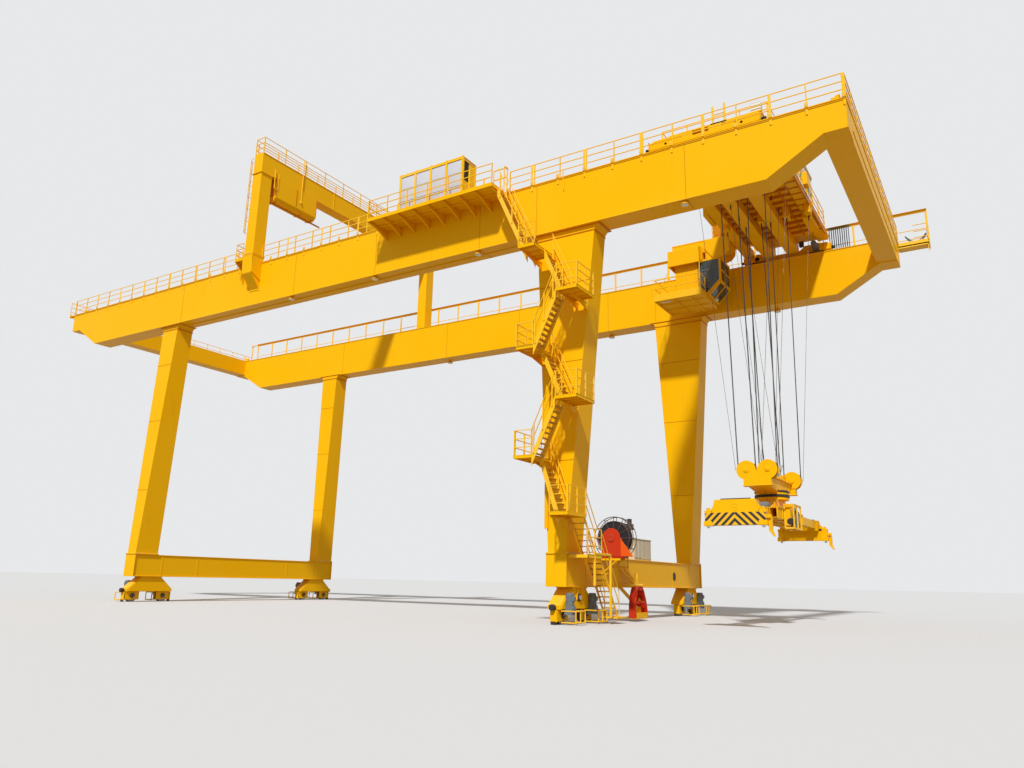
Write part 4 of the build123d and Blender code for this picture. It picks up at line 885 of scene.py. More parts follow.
@dataclass
class HoistRopes:
    """Falls of wire rope between trolley and headblock, drawn straight."""

    load_x: float = LOAD_X
    sheave_x: float = 0.48
    sheave_y: float = 2.30
    sheave_z: float = 6.86
    top: float = 21.03
    tangent: float = 0.40
    tops: tuple[float, float] = (0.25, 1.10)
    stay_top: float = 2.20
    rope: float = 0.014
    stay: float = 0.009
    twin: float = 0.05
    socket: Span = (0.30, 0.02)

    def falls(self) -> list[tuple[Point, Point]]:
        """Upper and lower end of every fall."""
        made = []
        for end in (-1, 1):
            for side in (-1, 1):
                for step, top in zip((-1, 1), self.tops):
                    x = self.load_x + side * (self.sheave_x + step * self.tangent)
                    for twin in about(0.0, self.twin):
                        y = end * self.sheave_y + twin
                        made.append(((x, y, self.sheave_z), (self.load_x + side * top, y, self.top)))
        return made

    def stays(self) -> list[tuple[Point, Point]]:
        """Upper and lower end of the thin stays that stop the load from swinging."""
        made = []
        for end in (-1, 1):
            y = end * (self.sheave_y + 0.17)
            for side in (-1, 1):
                x = self.load_x + side * (self.sheave_x + 0.47)
                made.append(((x, y, self.sheave_z), (self.load_x + side * self.stay_top, y, self.top)))
                cross = self.load_x + side * 0.12
                made.append(((cross, end * 1.30, 6.75), (self.load_x - side * 1.05, end * 0.75, self.top)))
        return made

    def build(self, shop: Workshop) -> None:
        """Build falls, stays and their sockets."""
        ropes = shop.join([shop.rods(self.falls(), self.rope, 8), shop.rods(self.stays(), self.stay, 6)])
        piece = shop.hand_over(ropes, "hoist_rope_falls", "rope_strand", "trolley",
                               replaces=["hoist_ropes"])
        piece.parent = None
        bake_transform(piece)
        sockets = []
        for low, high in self.falls()[::2] + self.stays():
            a, b = Vector(low), Vector(high)
            way = (b - a).normalized()
            sockets.append(tuple(tuple(b - way * back) for back in self.socket))
        cups = shop.rods(sockets, 0.032, 10)
        shop.hand_over(cups, "rope_sockets", "dark_paint", "trolley", soften=0.008)


@dataclass
class Headblock:
    """Ears with sheaves, tapered beams, slewing ring and the basket for the spreader cable."""

    load_x: float = LOAD_X
    ear_y: float = 2.30
    ear_x: float = 0.48
    ear_z: float = 6.86
    taper: tuple[Span, ...] = ((2.08, 6.12), (2.08, 6.18), (0.80, 6.01), (0.80, 5.985))

    def ears(self, shop: Workshop) -> Piece:
        """Rims, stiffeners and pin covers on the ear plates."""
        parts = []
        for end in (-1, 1):
            for side in (-1, 1):
                x = self.load_x + side * self.ear_x
                face = end * (self.ear_y + 0.19)
                parts.append(shop.disc((x, face + end * 0.005, self.ear_z), 0.13, 0.05, Axis.Y, 20))
                parts.append(shop.disc((x, face + end * 0.03, self.ear_z), 0.075, 0.05, Axis.Y, 12))
                inner = end * (self.ear_y - 0.19)
                parts.append(shop.disc((x, inner - end * 0.02, self.ear_z), 0.13, 0.06, Axis.Y, 20))
                parts.append(shop.box(about(x, 0.16), reach(inner, -end * 0.04), (6.45, 6.62)))
            low, high = outward(end * self.ear_y, end, -0.20, 0.20)
            parts.append(shop.box(about(self.load_x, 0.66), (low, high), (6.13, 6.17)))
            for x in about(self.load_x, 0.60):
                parts.append(shop.box(about(x, 0.025), (low + 0.02, high - 0.02), (6.17, 6.45)))
        return shop.hand_over(parts, "headblock_ear_trim", "yellow_plate", "headblock", soften=0.012)

    def sheave(self, shop: Workshop) -> Piece:
        """One grooved sheave at the origin, its bore along Y."""
        parts = [shop.disc((0, y, 0), 0.40, 0.022, Axis.Y, 32, top=0.385) for y in (-0.115, -0.01, 0.105)]
        parts.append(shop.disc((0, -0.005, 0), 0.345, 0.22, Axis.Y, 32))
        parts.append(shop.disc((0, -0.005, 0), 0.11, 0.27, Axis.Y, 16))
        return shop.join(parts)

    def build(self, shop: Workshop) -> None:
        """Build sheaves, trim, ring and cable basket."""
        self.ears(shop)
        places = [Matrix.Translation(real(self.load_x + sx * self.ear_x, sy * self.ear_y, self.ear_z))
                  for sx in (-1, 1) for sy in (-1, 1)]
        wheels = shop.scatter(self.sheave(shop), places)
        shop.hand_over(wheels, "headblock_rope_sheaves", "wheel_steel", "headblock", soften=0.006,
                       replaces=["headblock_sheaves"])
        beams = []
        for x in about(self.load_x, 0.46):
            beams.append(shop.box(about(x, 0.05), (-2.10, 2.10), (6.63, 6.67)))
            beams += [shop.plate([(end * y, z) for y, z in self.taper], Axis.X, about(x, 0.05)) for end in (-1, 1)]
        for y in (-1.55, -1.0, 1.0, 1.55):
            for x in (self.load_x - 0.43, self.load_x + 0.42):
                beams.append(shop.box((x - 0.01, x + 0.02), about(y, 0.02), (6.14, 6.64)))
        beams.append(shop.disc((self.load_x, 0, 6.71), 0.52, 0.10, Axis.Z, 32))
        beams.append(shop.box(about(self.load_x, 0.30), (1.15, 1.75), (6.66, 7.02)))
        shop.hand_over(beams, "headblock_beam_flanges", "yellow_plate", "headblock", soften=0.01)
        bolts = shop.bolts((self.load_x, 0.0, 6.12), 0.70, 28, 0.028, 0.05, Axis.Z)
        collar = shop.disc((self.load_x, 0, 6.06), 0.80, 0.075, Axis.Z, 48)
        shop.hand_over([collar, *bolts], "slewing_ring_upper", "dark_paint", "headblock", soften=0.006)
        self.basket(shop)

    def basket(self, shop: Workshop) -> None:
        """Build the round wire basket that catches the spreader cable."""
        parts = [shop.ring((self.load_x, 0, z), r, 0.017, Axis.Z, 36, 6)
                 for z, r in ((6.80, 0.40), (6.98, 0.46), (7.16, 0.52), (7.32, 0.57))]
        low, high = (self.load_x, 0.0, 6.76), (self.load_x, 0.0, 7.32)
        bars = [(Axis.Z.turned(low, 0.40, a), Axis.Z.turned(high, 0.57, a)) for a in circle(14)]
        parts.append(shop.rods(bars, 0.012, 6))
        shop.hand_over(parts, "cable_basket", "bright_steel", "headblock")
        rings = [shop.ring((self.load_x, 0, 6.80 + 0.055 * n), 0.33 + 0.02 * (n % 2), 0.03, Axis.Z, 36, 8)
                 for n in range(6)]
        shop.hand_over(rings, "basket_cable_turns", "rubber", "headblock")


@dataclass
class Spreader:
    """Main frame that slews, with machinery, and the two arms with striped end beams."""

    load_x: float = LOAD_X
    arm_y: float = 6.186
    end_half: float = 1.2495
    lock_x: float = 1.1295
    lock_y: float = 6.096

    def frame(self, shop: Workshop) -> None:
        """Trim and slewing ring on the main frame."""
        x = self.load_x
        parts = [shop.box(about(x, 0.82), about(y, 0.03), (4.655, 4.70)) for y in (-2.2, -0.8, 0.8, 2.2)]
        for side in (-1, 1):
            edge = x + side * 0.79
            for y in (-2.42, -1.6, -0.8, 0.8, 1.6, 2.42):
                parts.append(shop.box(reach(edge, side * 0.035), about(y, 0.03), (4.68, 5.18)))
            parts.append(shop.box(reach(edge, side * 0.05), (-2.45, 2.45), (5.16, 5.20)))
            for y in (-1.45, -0.75, 0.75, 1.45):
                parts.append(shop.box(outward(x, side, 0.42, 0.46), about(y, 0.025), (5.2, 5.5)))
        parts.append(shop.box(about(x, 0.55), (0.95, 1.75), (5.20, 5.56)))
        shop.hand_over(parts, "spreader_frame_trim", "yellow_plate", "spreader", soften=0.01)
        bolts = shop.bolts((x, 0.0, 5.93), 0.71, 28, 0.026, 0.05, Axis.Z)
        shop.hand_over([shop.disc((x, 0, 5.86), 0.80, 0.13, Axis.Z, 48), *bolts], "slewing_ring_lower", "dark_paint",
                       "spreader", soften=0.006)

    def machinery(self, shop: Workshop) -> None:
        """Cage, tank and pump beside the main frame."""
        x = self.load_x
        cage = []
        y0, y1, z0, z1, x0, x1 = -1.15, 0.25, 4.30, 5.38, x + 0.80, x + 1.20
        for y in (y0, (y0 + y1) / 2, y1):
            for xx in (x0, x1):
                cage.append(shop.box(about(xx, 0.03), about(y, 0.03), (z0, z1)))
            for z in (z0, z1):
                cage.append(shop.box((x0, x1), about(y, 0.03), about(z, 0.03)))
        for xx in (x0, x1):
            for z in (z0, z1):
                cage.append(shop.box(about(xx, 0.03), (y0, y1), about(z, 0.03)))
        cage.append(shop.box((x0, x1), (y0, y1), (z0 + 0.02, z0 + 0.05)))
        shop.hand_over(cage, "machinery_cage", "yellow_tube", "spreader", soften=0.008)
        units = [shop.box((x0 + 0.05, x1 - 0.05), (-0.36, 0.18), (4.40, 5.15)),
                 shop.disc((x + 1.0, -0.08, 5.22), 0.10, 0.14, Axis.Z, 16),
                 shop.box(about(x, 0.35), (-2.30, -1.75), (5.17, 5.42))]
        shop.hand_over(units, "machinery_tank", "motor_grey", "spreader", soften=0.02, segments=2)
        pumps = [shop.disc((x + 1.0, -0.80, 4.62), 0.15, 0.42, Axis.Y, 20),
                 shop.disc((x + 1.0, -0.52, 4.62), 0.09, 0.16, Axis.Y, 14)]
        pumps += [shop.ring((x + 1.0, -0.96 + 0.06 * n, 4.62), 0.15, 0.012, Axis.Y, 24, 6) for n in range(6)]
        shop.hand_over(pumps, "machinery_pump", "dark_paint", "spreader", soften=0.006)

    def arm(self, shop: Workshop, end: int, body: str) -> None:
        """Dress one arm.

        Args:
            shop: the workshop.
            end: -1 for the near arm, 1 for the far one.
            body: body that the arm belongs to.
        """
        x, out = self.load_x, end * self.arm_y
        stripes = [shop.plate([(x - self.end_half, 4.12), (x + self.end_half, 4.12), (x + self.end_half, 4.60),
                               (x + self.end_half - 0.12, 4.635), (x - self.end_half + 0.12, 4.635),
                               (x - self.end_half, 4.60)], Axis.Y, outward(out, end, -0.01, 0.018))]
        shop.hand_over(stripes, f"{body}_striped_face", "chevron", body, soften=0.006)
        trim = [shop.plate([(x - 0.98, 4.63), (x + 0.98, 4.63), (x + 0.84, 5.17), (x - 0.84, 5.17)], Axis.Y,
                           outward(out, end, -0.06, -0.03))]
        trim.append(shop.ring((x, out - end * 0.03, 4.86), 0.13, 0.016, Axis.Y, 28, 6))
        trim.append(shop.disc((x, out - end * 0.035, 4.86), 0.045, 0.04, Axis.Y, 12))
        for side in (-1, 1):
            lock = x + side * self.lock_x
            trim.append(shop.box(about(lock, 0.17), outward(out, end, -0.33, 0.035), (4.105, 4.30)))
            trim.append(shop.box(about(lock, 0.14), outward(out, end, -0.30, -0.02), (4.62, 4.74)))
            trim.append(shop.disc((lock, end * self.lock_y, 4.79), 0.07, 0.12, Axis.Z, 16))
            trim.append(shop.plate([(x + side * 0.86, 4.62), (x + side * 1.22, 4.62), (x + side * 0.86, 5.02)],
                                   Axis.Y, outward(out, end, -0.24, -0.20)))
        for rail_x in ((-0.24, 0.24) if end < 0 else (-0.62, 0.62)):
            low, high = outward(0.0, end, 5.60, 5.66)
            trim.append(shop.box(about(x + rail_x, 0.17), (low, high), (4.64, 5.16)))
        shop.hand_over(trim, f"{body}_head_trim", "yellow_plate", body, soften=0.01)
        locks = []
        for side in (-1, 1):
            place = (x + side * self.lock_x, end * self.lock_y)
            locks.append(shop.disc((*place, 4.085), 0.052, 0.07, Axis.Z, 16))
            locks.append(shop.disc((*place, 4.035), 0.075, 0.03, Axis.Z, 4))
        shop.hand_over(locks, f"{body}_twist_locks", "bright_steel", body, soften=0.006)
        hose = [shop.rod((x - 0.62, end * 5.98, 5.20), (x + 0.62, end * 5.98, 5.20), 0.03, 8),
                shop.disc((x + 0.95, end * 5.98, 4.68), 0.07, 0.2, Axis.X, 14)]
        shop.hand_over(hose, f"{body}_hoses", "rubber", body, soften=0.004)

    def flipper(self, shop: Workshop, end: int, body: str) -> None:
        """Dress one corner guide."""
        hinge, y = self.load_x + self.lock_x + 0.23, end * 6.036
        parts = [shop.plate([(hinge - 0.06, 4.42), (hinge + 0.09, 4.42), (hinge + 0.09, 3.95),
                             (hinge + 0.20, 3.66), (hinge + 0.13, 3.655), (hinge - 0.05, 3.90)], Axis.Y,
                            about(y, 0.045))]
        parts.append(shop.disc((hinge, y, 4.45), 0.085, 0.13, Axis.Y, 20))
        parts.append(shop.box((hinge + 0.06, hinge + 0.10), about(y, 0.07), (3.95, 4.40)))
        shop.hand_over(parts, f"{body}_plate", "yellow_plate", body, soften=0.01, replaces=[body])

    def build(self, shop: Workshop) -> None:
        """Build frame trim, machinery, both arms and both guides."""
        self.frame(shop)
        self.machinery(shop)
        for end, name in ((-1, "near"), (1, "far")):
            self.arm(shop, end, f"arm_{name}")
            self.flipper(shop, end, f"flipper_{name}")


@dataclass
class Trolley:
    """Trucks, cross girders, machinery house and the gear under the deck."""

    left: float = 19.55
    right: float = 24.55
    deck: float = TROLLEY_DECK
    under: float = TROLLEY_UNDER
    half_y: float = 6.20
    wheels: tuple[float, float] = (20.325, 23.775)
    main_beams: tuple[float, float] = (21.15, 22.50)

    def frame(self, shop: Workshop) -> None:
        """Trucks of two side plates round the wheels, cross girders, rope blocks and deck."""
        low, mid, high, beam = 21.00, 21.20, 21.44, 21.02
        side = [(self.left, low), (self.right, low), (self.right, 21.30), (24.35, high), (23.15, high),
                (22.85, mid), (21.25, mid), (20.95, high), (19.75, high), (self.left, 21.30)]
        parts = []
        for end in (-1, 1):
            y = end * RAIL_Y
            parts += [shop.plate(side, Axis.Y, (y + face, y + face + 0.08)) for face in (-0.20, 0.12)]
            parts.append(shop.box((20.80, 23.30), about(y, 0.12), (low, mid)))
            parts += [shop.box(x, about(y, 0.12), (low, 21.30)) for x in ((19.55, 19.85), (24.25, 24.55))]
            parts += [shop.box(x, about(y, 0.12), (high - 0.03, high))
                      for x in ((19.75, 19.97), (20.68, 20.95), (23.15, 23.42), (24.13, 24.35))]
            parts += [shop.rod((x, y - 0.2, 21.161), (x, y + 0.2, 21.161), 0.07, 16) for x in self.wheels]
            for top in (0.25, 1.10, 2.20):
                for x in about(LOAD_X, top):
                    parts.append(shop.box(about(x, 0.15), outward(0.0, end, 2.05, 2.55), (beam, self.under)))
            parts.append(shop.box((20.35, self.right), outward(0.0, end, 6.20, 7.40), (self.under, self.deck)))
        for x in self.main_beams:
            parts.append(shop.box(about(x, 0.30), (-7.40, 7.40), (beam, self.under)))
        for x, depth in ((self.left + 0.35, 0.34), (self.right - 0.35, 0.12)):
            parts.append(shop.box(about(x, 0.30), (-7.40, 7.40), (self.under - depth, self.under)))
        parts.append(shop.box((self.left, self.right), (-self.half_y, self.half_y), (self.under, self.deck)))
        shop.hand_over(parts, "trolley_steel_frame", "yellow_plate", "trolley", soften=0.01,
                       replaces=("trolley_frame",))

    def fittings(self, shop: Workshop) -> None:
        """Upright posts, a pale louvred box and the tall cubicle over the cabin's hanger."""
        posts = [shop.rod((x, -7.30, 21.3), (x, -7.30, top), 0.045, 10)
                 for x, top in ((22.40, 22.62), (22.93, 22.66))]
        posts += [shop.rod((22.40, -7.30, 22.2), (22.93, -7.30, 22.2), 0.025),
                  shop.box((22.3, 23.03), (-7.4, -7.2), (21.66, 21.75))]
        posts += [shop.rod((24.28, -7.1, 21.7), (24.28, -7.1, 21.82), 0.08, 12)]
        shop.hand_over(posts, "trolley_near_posts", "yellow_tube", "trolley")
        shop.hand_over(shop.box((24.06, 24.50), (-7.25, -6.95), (21.80, 22.26)), "trolley_louvre_box",
                       "louvre_grey", "trolley", soften=0.012)
        tower = [shop.box((18.50, 18.98), (4.62, 6.18), (21.75, 23.90)),
                 shop.box((19.02, 19.52), (4.60, 6.20), (21.60, 23.95)),
                 shop.box((18.46, 19.56), (4.56, 6.22), (23.90, 23.97)),
                 shop.box((18.60, 18.88), (4.60, 4.63), (22.0, 23.7)),
                 shop.box((19.13, 19.42), (4.58, 4.61), (21.9, 23.7))]
        rungs = [((18.42, 4.75, 21.8), (18.42, 4.75, 23.95)), ((18.42, 5.2, 21.8), (18.42, 5.2, 23.95))]
        rungs += [((18.42, 4.75, z), (18.42, 5.2, z)) for z in (22.05, 22.35, 22.65, 22.95, 23.25, 23.55, 23.85)]
        # The cubicle's walls are deep orange: painted shade.
        shop.hand_over(tower, "trolley_cubicle", "orange_plate", "trolley", soften=0.015)
        shop.hand_over(shop.rods(rungs, 0.02, 8), "trolley_cubicle_ladder", "yellow_tube", "trolley")

    def underside(self, shop: Workshop) -> None:
        """Ribs, edge channels and flanges under the deck; the ribs and channels are deep orange as painted shade."""
        ribs = [shop.box((self.left, self.right), about(y, 0.03), (21.50, self.under))
                for y in [-5.6 + 0.7 * n for n in range(17)]]
        for x in (self.left + 0.04, self.right - 0.04):
            ribs.append(shop.box(about(x, 0.04), (-self.half_y, self.half_y), (21.42, 21.76)))
        for x in (20.45, 21.85, 23.4, 23.9):
            ribs.append(shop.box(about(x, 0.03), (-self.half_y, self.half_y), (21.55, self.under)))
        # Ribs and edge channels in deep orange: painted shade under the deck.
        shop.hand_over(ribs, "trolley_deck_ribs", "orange_plate", "trolley", soften=0.008)
        flanges = []
        for x in self.main_beams:
            flanges.append(shop.box(about(x, 0.34), (-7.38, 7.38), (20.985, 21.02)))
            for y in (-5.2, -3.6, -1.2, 1.2, 3.6, 5.2):
                for side in (-1, 1):
                    flanges.append(shop.box(outward(x, side, 0.30, 0.335), about(y, 0.02), (21.02, 21.60)))
        shop.hand_over(flanges, "trolley_girder_flanges", "yellow_plate", "trolley", soften=0.006)

    def trucks(self, shop: Workshop) -> None:
        """Buffers, wheel guards, drives and end plates of the two trucks."""
        plates, dark, motors = [], [], []
        for end in (-1, 1):
            y = end * RAIL_Y
            for x, side in ((self.left, -1), (self.right, 1)):
                plates.append(shop.box(reach(x, side * 0.04), about(y, 0.24), (20.97, 21.42)))
                dark.append(shop.disc((x + side * 0.13, y, 21.13), 0.09, 0.22, Axis.X, 20))
            for x in self.wheels:
                dark.append(shop.disc((x, y - end * 0.22, 21.16), 0.13, 0.05, Axis.Y, 20))
            for x in (19.9, 20.75, 23.35, 24.2):
                plates.append(shop.box(about(x, 0.02), outward(y, -end, 0.19, 0.225), (21.02, 21.58)))
            x = self.wheels[1]
            motors.append(shop.box(about(x, 0.17), outward(0.0, end, 7.38, 7.05), (20.98, 21.34)))
            motors.append(shop.disc((x, end * 6.80, 21.18), 0.15, 0.50, Axis.Y, 20))
            motors += [shop.ring((x, end * (6.62 + 0.07 * n), 21.18), 0.152, 0.012, Axis.Y, 24, 6) for n in range(6)]
        shop.hand_over(plates, "trolley_truck_plates", "yellow_plate", "trolley", soften=0.008)
        shop.hand_over(dark, "trolley_buffers", "rubber", "trolley", soften=0.012, segments=2)
        shop.hand_over(motors, "trolley_drives", "motor_grey", "trolley", soften=0.01)

    def house(self, shop: Workshop) -> None:
        """Machinery house: framed sheets, roof, band, louvres and door, and the boxes at the deck's sides."""
        x0, x1, y0, y1, z0, z1 = 19.85, 24.25, -1.50, 4.60, 21.75, 24.20
        frame = [shop.box((x0 - 0.07, x1 + 0.07), (y0 - 0.07, y1 + 0.07), (z1 - 0.01, z1 + 0.05))]
        for n in range(10):
            y = y0 + (y1 - y0) * n / 9
            for x, side in ((x0, -1), (x1, 1)):
                frame.append(shop.box(reach(x, side * 0.025), about(y, 0.03), (z0, z1)))
        for n in range(7):
            x = x0 + (x1 - x0) * n / 6
            for y, side in ((y0, -1), (y1, 1)):
                frame.append(shop.box(about(x, 0.03), reach(y, side * 0.025), (z0, z1)))
        for n in range(8):
            x = x0 + 0.3 + (x1 - x0 - 0.6) * n / 7
            frame.append(shop.box(about(x, 0.02), (y0, y1), (z1 + 0.05, z1 + 0.08)))
        shop.hand_over(frame, "machinery_house_frame", "house_cream", "trolley", soften=0.006)
        band = [shop.box((x0 - 0.012, x1 + 0.012), (y0 - 0.012, y1 + 0.012), (22.95, 23.15))]
        shop.hand_over(band, "machinery_house_band", "green_band", "trolley", soften=0.004)
        vents = []
        for y in (-0.9, 1.0, 2.9):
            vents.append(shop.box((x1, x1 + 0.04), (y, y + 0.9), (23.3, 23.9)))
            vents.append(shop.box((x0 - 0.04, x0), (y, y + 0.9), (23.3, 23.9)))
        vents.append(shop.box((20.4, 21.3), (y0 - 0.04, y0), (21.85, 23.85)))
        shop.hand_over(vents, "machinery_house_louvres", "louvre_grey", "trolley", soften=0.008)
        under = [shop.box((23.92, 24.40), (3.0, 5.0), (21.15, 21.72)),
                 shop.box((24.56, 24.80), (0.4, 0.95), (21.8, 22.5)),
                 shop.box((19.30, 19.56), (0.4, 1.9), (21.30, 22.0))]
        shop.hand_over(under, "trolley_side_boxes", "yellow_plate", "trolley", soften=0.015)

    def reeving(self, shop: Workshop) -> None:
        """Rope guides and drum mounts that hang under the deck."""
        parts, dark = [], []
        for end in (-1, 1):
            for x in (21.94, 22.44, 21.09, 23.29, 19.99, 24.39):
                for y in about(end * 2.30, 0.19):
                    parts.append(shop.plate([(x - 0.22, 21.67), (x + 0.22, 21.67), (x + 0.14, 21.04),
                                             (x - 0.14, 21.04)], Axis.Y, about(y, 0.015)))
                dark.append(shop.disc((x, end * 2.30, 21.22), 0.06, 0.42, Axis.Y, 12))
        for y in (-6.6, 6.55):
            dark.append(shop.box((23.0, 23.25), about(y, 0.12), (21.05, 21.35)))
        # The guide plates under the deck are deep orange: painted shade.
        shop.hand_over(parts, "rope_guide_plates", "orange_plate", "trolley", soften=0.008)
        shop.hand_over(dark, "trolley_pins", "dark_paint", "trolley", soften=0.006)

    def build(self, shop: Workshop) -> None:
        """Build the trolley's pieces."""
        self.frame(shop)
        self.fittings(shop)
        self.underside(shop)
        self.trucks(shop)
        self.house(shop)
        self.reeving(shop)


@dataclass
class Cabin:
    """Operator's cabin with framed glass, its walkway, hanger and the seat inside."""

    left: float = 16.20
    right: float = 18.95
    near: float = 4.30
    far: float = 6.10
    floor: float = 18.25
    roof: float = 20.50

    def shell(self, shop: Workshop) -> None:
        """Frames, a black sheet behind the side glass as painted shade of the cabin's inside, and roof on the cabin's
        walls.
        """
        frame, dark, glass, window_shade_sheets = [], [], [], []
        window = [(17.58, 18.42), (18.16, 18.42), (18.87, 19.08), (18.87, 20.38), (17.58, 20.38)]
        for y in (self.near + 0.03, (self.near + self.far) / 2, self.far - 0.03):
            frame.append(shop.box((self.right - 0.05, self.right + 0.03), about(y, 0.035), (19.0, self.roof)))
            low = shop.plate([(18.20, 18.24), (18.26, 18.21), (18.99, 18.94), (18.95, 19.02)], Axis.Y,
                             about(y, 0.035))
            frame.append(low)
        for z in (19.0, 19.72, 20.44):
            frame.append(shop.box((self.right - 0.05, self.right + 0.03), (self.near, self.far), about(z, 0.035)))
        frame.append(shop.rod((18.22, self.near, 18.23), (18.22, self.far, 18.23), 0.045, 8))
        for y, side in ((self.near, -1), (self.far, 1)):
            skin = reach(y, side * 0.03)
            for x, low_z in ((17.55, 18.36), (18.90, 19.06)):
                frame.append(shop.box(about(x, 0.035), skin, (low_z, 20.45)))
            frame.append(shop.box((17.52, 18.94), skin, (20.38, 20.45)))
            frame.append(shop.plate([(17.52, 18.36), (18.18, 18.36), (18.93, 19.06), (18.87, 19.10), (18.15, 18.42),
                                     (17.52, 18.42)], Axis.Y, skin))
            frame.append(shop.box((self.left, 18.2), skin, (18.28, 18.36)))
            for x in (16.24, 16.85, 17.45):
                frame.append(shop.box(about(x, 0.02), skin, (18.36, 20.45)))
            # Painted shade: a black sheet behind the side glass, in the window's shape.
            window_shade_sheets.append(shop.plate(window, Axis.Y, outward(y, side, -0.001, 0.004)))
            glass.append(shop.plate(window, Axis.Y, outward(y, side, 0.008, 0.014)))
            for n in range(8):
                z = 18.52 + 0.15 * n
                dark.append(shop.box((17.62, 18.20), outward(y, side, 0.012, 0.03), (z, z + 0.03)))
            dark.append(shop.box((17.58, 18.87), outward(y, side, 0.012, 0.03), (19.78, 19.82)))
        shop.hand_over(frame, "cabin_window_frames", "cabin_paint", "trolley", soften=0.008)
        shop.hand_over(glass, "cabin_side_glass", "cabin_glass", "trolley", soften=0.004)
        shop.hand_over(window_shade_sheets, "cabin_side_window_shade", "rubber", "trolley")
        shop.hand_over(dark, "cabin_blinds", "motor_grey", "trolley", soften=0.005)

    def top(self, shop: Workshop) -> None:
        """Fascia, cooler and hanger plates over the cabin."""
        parts = [shop.box((15.90, 17.85), (3.95, 4.05), (20.30, 21.28)),
                 shop.box((15.90, 17.85), (4.05, 6.2), (21.22, 21.28)),
                 shop.box((15.86, 15.92), (3.95, 6.2), (20.30, 21.28)),
                 shop.box((17.80, 17.86), (3.95, 4.25), (20.30, 21.28))]
        for x in (16.3, 16.9, 17.5):
            parts.append(shop.box(about(x, 0.02), (4.05, 4.22), (20.5, 21.2)))
        hanger = [(18.00, 21.75), (18.00, 21.2), (18.55, 20.48), (18.95, 20.48), (19.30, 20.60), (19.52, 20.85),
                  (19.56, 21.20), (19.56, 21.75)]
        for y in (4.36, 5.52):
            parts.append(shop.plate(hanger, Axis.Y, about(y, 0.02)))
        parts.append(shop.box((16.0, 19.5), (4.38, 4.42), (21.70, 21.78)))
        shop.hand_over(parts, "cabin_hanger_plates", "cabin_paint", "trolley", soften=0.01)
        cooler = [shop.box((16.35, 17.35), (4.55, 5.55), (21.28, 21.68)), shop.disc((16.85, 5.05, 21.70), 0.30, 0.05)]
        cooler += [shop.ring((16.85, 5.05, 21.73), r, 0.012, Axis.Z, 24, 6) for r in (0.1, 0.19, 0.28)]
        shop.hand_over(cooler, "cabin_cooler", "panel_grey", "trolley", soften=0.02, segments=2)

    def deck(self, shop: Workshop) -> None:
        """Underside frame, toe boards and braces of the cabin walkway."""
        parts = []
        end, top = 18.05, 19.33
        for x in (15.22, 16.3, 17.3, end - 0.03):
            parts.append(shop.box(about(x, 0.03), (3.32, 6.28), (17.98, 18.10)))
        for y in (3.33, 4.28, 5.3, 6.27):
            parts.append(shop.box((15.2, end), about(y, 0.03), (18.0, 18.10)))
        parts.append(shop.box((15.2, end), (3.30, 6.30), (18.10, self.floor)))
        parts.append(shop.box((15.2, end), (3.30, 3.315), (self.floor, 18.42)))
        parts.append(shop.box((15.2, 15.215), (3.3, 6.3), (self.floor, 18.42)))
        parts.append(shop.box((end - 0.015, end), (3.3, 4.24), (self.floor, 18.42)))
        bars = []
        for n in range(3):
            x = 15.24 + 0.93 * n
            bars += [((x, 3.33, 18.30), (x + 0.93, 3.33, top - 0.03)),
                     ((x + 0.93, 3.33, 18.30), (x, 3.33, top - 0.03))]
        parts.append(shop.rods(bars, 0.014, 6))
        rails = [((15.3, 3.4, 18.3), (16.0, 4.1, 20.4)), ((17.9, 3.4, 18.3), (17.8, 4.0, 20.35))]
        rails += [((x, 3.33, 18.2), (x, 3.33, top)) for x in (15.24, 16.17, 17.10, end - 0.03)]
        rails += [((x, y, 18.2), (x, y, top))
                  for x, y in ((15.24, 4.8), (15.24, 6.26), (16.15, 6.26), (end - 0.03, 4.2))]
        for z in (18.8, top):
            rails += [((15.24, 3.33, z), (end - 0.03, 3.33, z)), ((15.24, 3.33, z), (15.24, 6.26, z)),
                      ((15.24, 6.26, z), (16.15, 6.26, z)), ((end - 0.03, 3.33, z), (end - 0.03, 4.2, z))]
        parts.append(shop.rods(rails, 0.026, 8))
        shop.hand_over(parts, "cabin_walkway_frame", "yellow_tube", "trolley", soften=0.006,
                       replaces=("cabin_walkway",))
        lamp = [shop.box((15.6, 16.1), (3.5, 3.62), (17.93, 18.0)),
                shop.disc((18.4, 5.2, 18.16), 0.09, 0.06, Axis.Z, 16)]
        shop.hand_over(lamp, "cabin_deck_lamp", "lamp_lens", "trolley", soften=0.01)

    def inside(self, shop: Workshop) -> None:
        """Seat, desks and levers behind the glass."""
        seat = [shop.box((17.35, 17.85), (4.95, 5.45), (18.72, 18.86)),
                shop.box((17.25, 17.38), (4.97, 5.43), (18.86, 19.55)),
                shop.box((17.25, 17.36), (5.08, 5.32), (19.58, 19.76)),
                shop.disc((17.6, 5.2, 18.5), 0.10, 0.42, Axis.Z, 16),
                shop.disc((17.6, 5.2, 18.34), 0.24, 0.05, Axis.Z, 20)]
        shop.hand_over(seat, "cabin_seat", "seat_cloth", "trolley", soften=0.04, segments=3)
        desk = [shop.box((17.45, 18.0), (4.62, 4.85), (18.32, 19.08)),
                shop.box((17.45, 18.0), (5.55, 5.78), (18.32, 19.08))]
        for y in (4.74, 5.66):
            desk += [shop.rod((17.85, y, 19.08), (17.90, y, 19.24), 0.02, 8),
                     shop.disc((17.90, y, 19.26), 0.04, 0.06)]
        shop.hand_over(desk, "cabin_desks", "motor_grey", "trolley", soften=0.02, segments=2)

    def build(self, shop: Workshop) -> None:
        """Build the cabin's pieces."""
        self.shell(shop)
        self.top(shop)
        self.deck(shop)
        self.inside(shop)


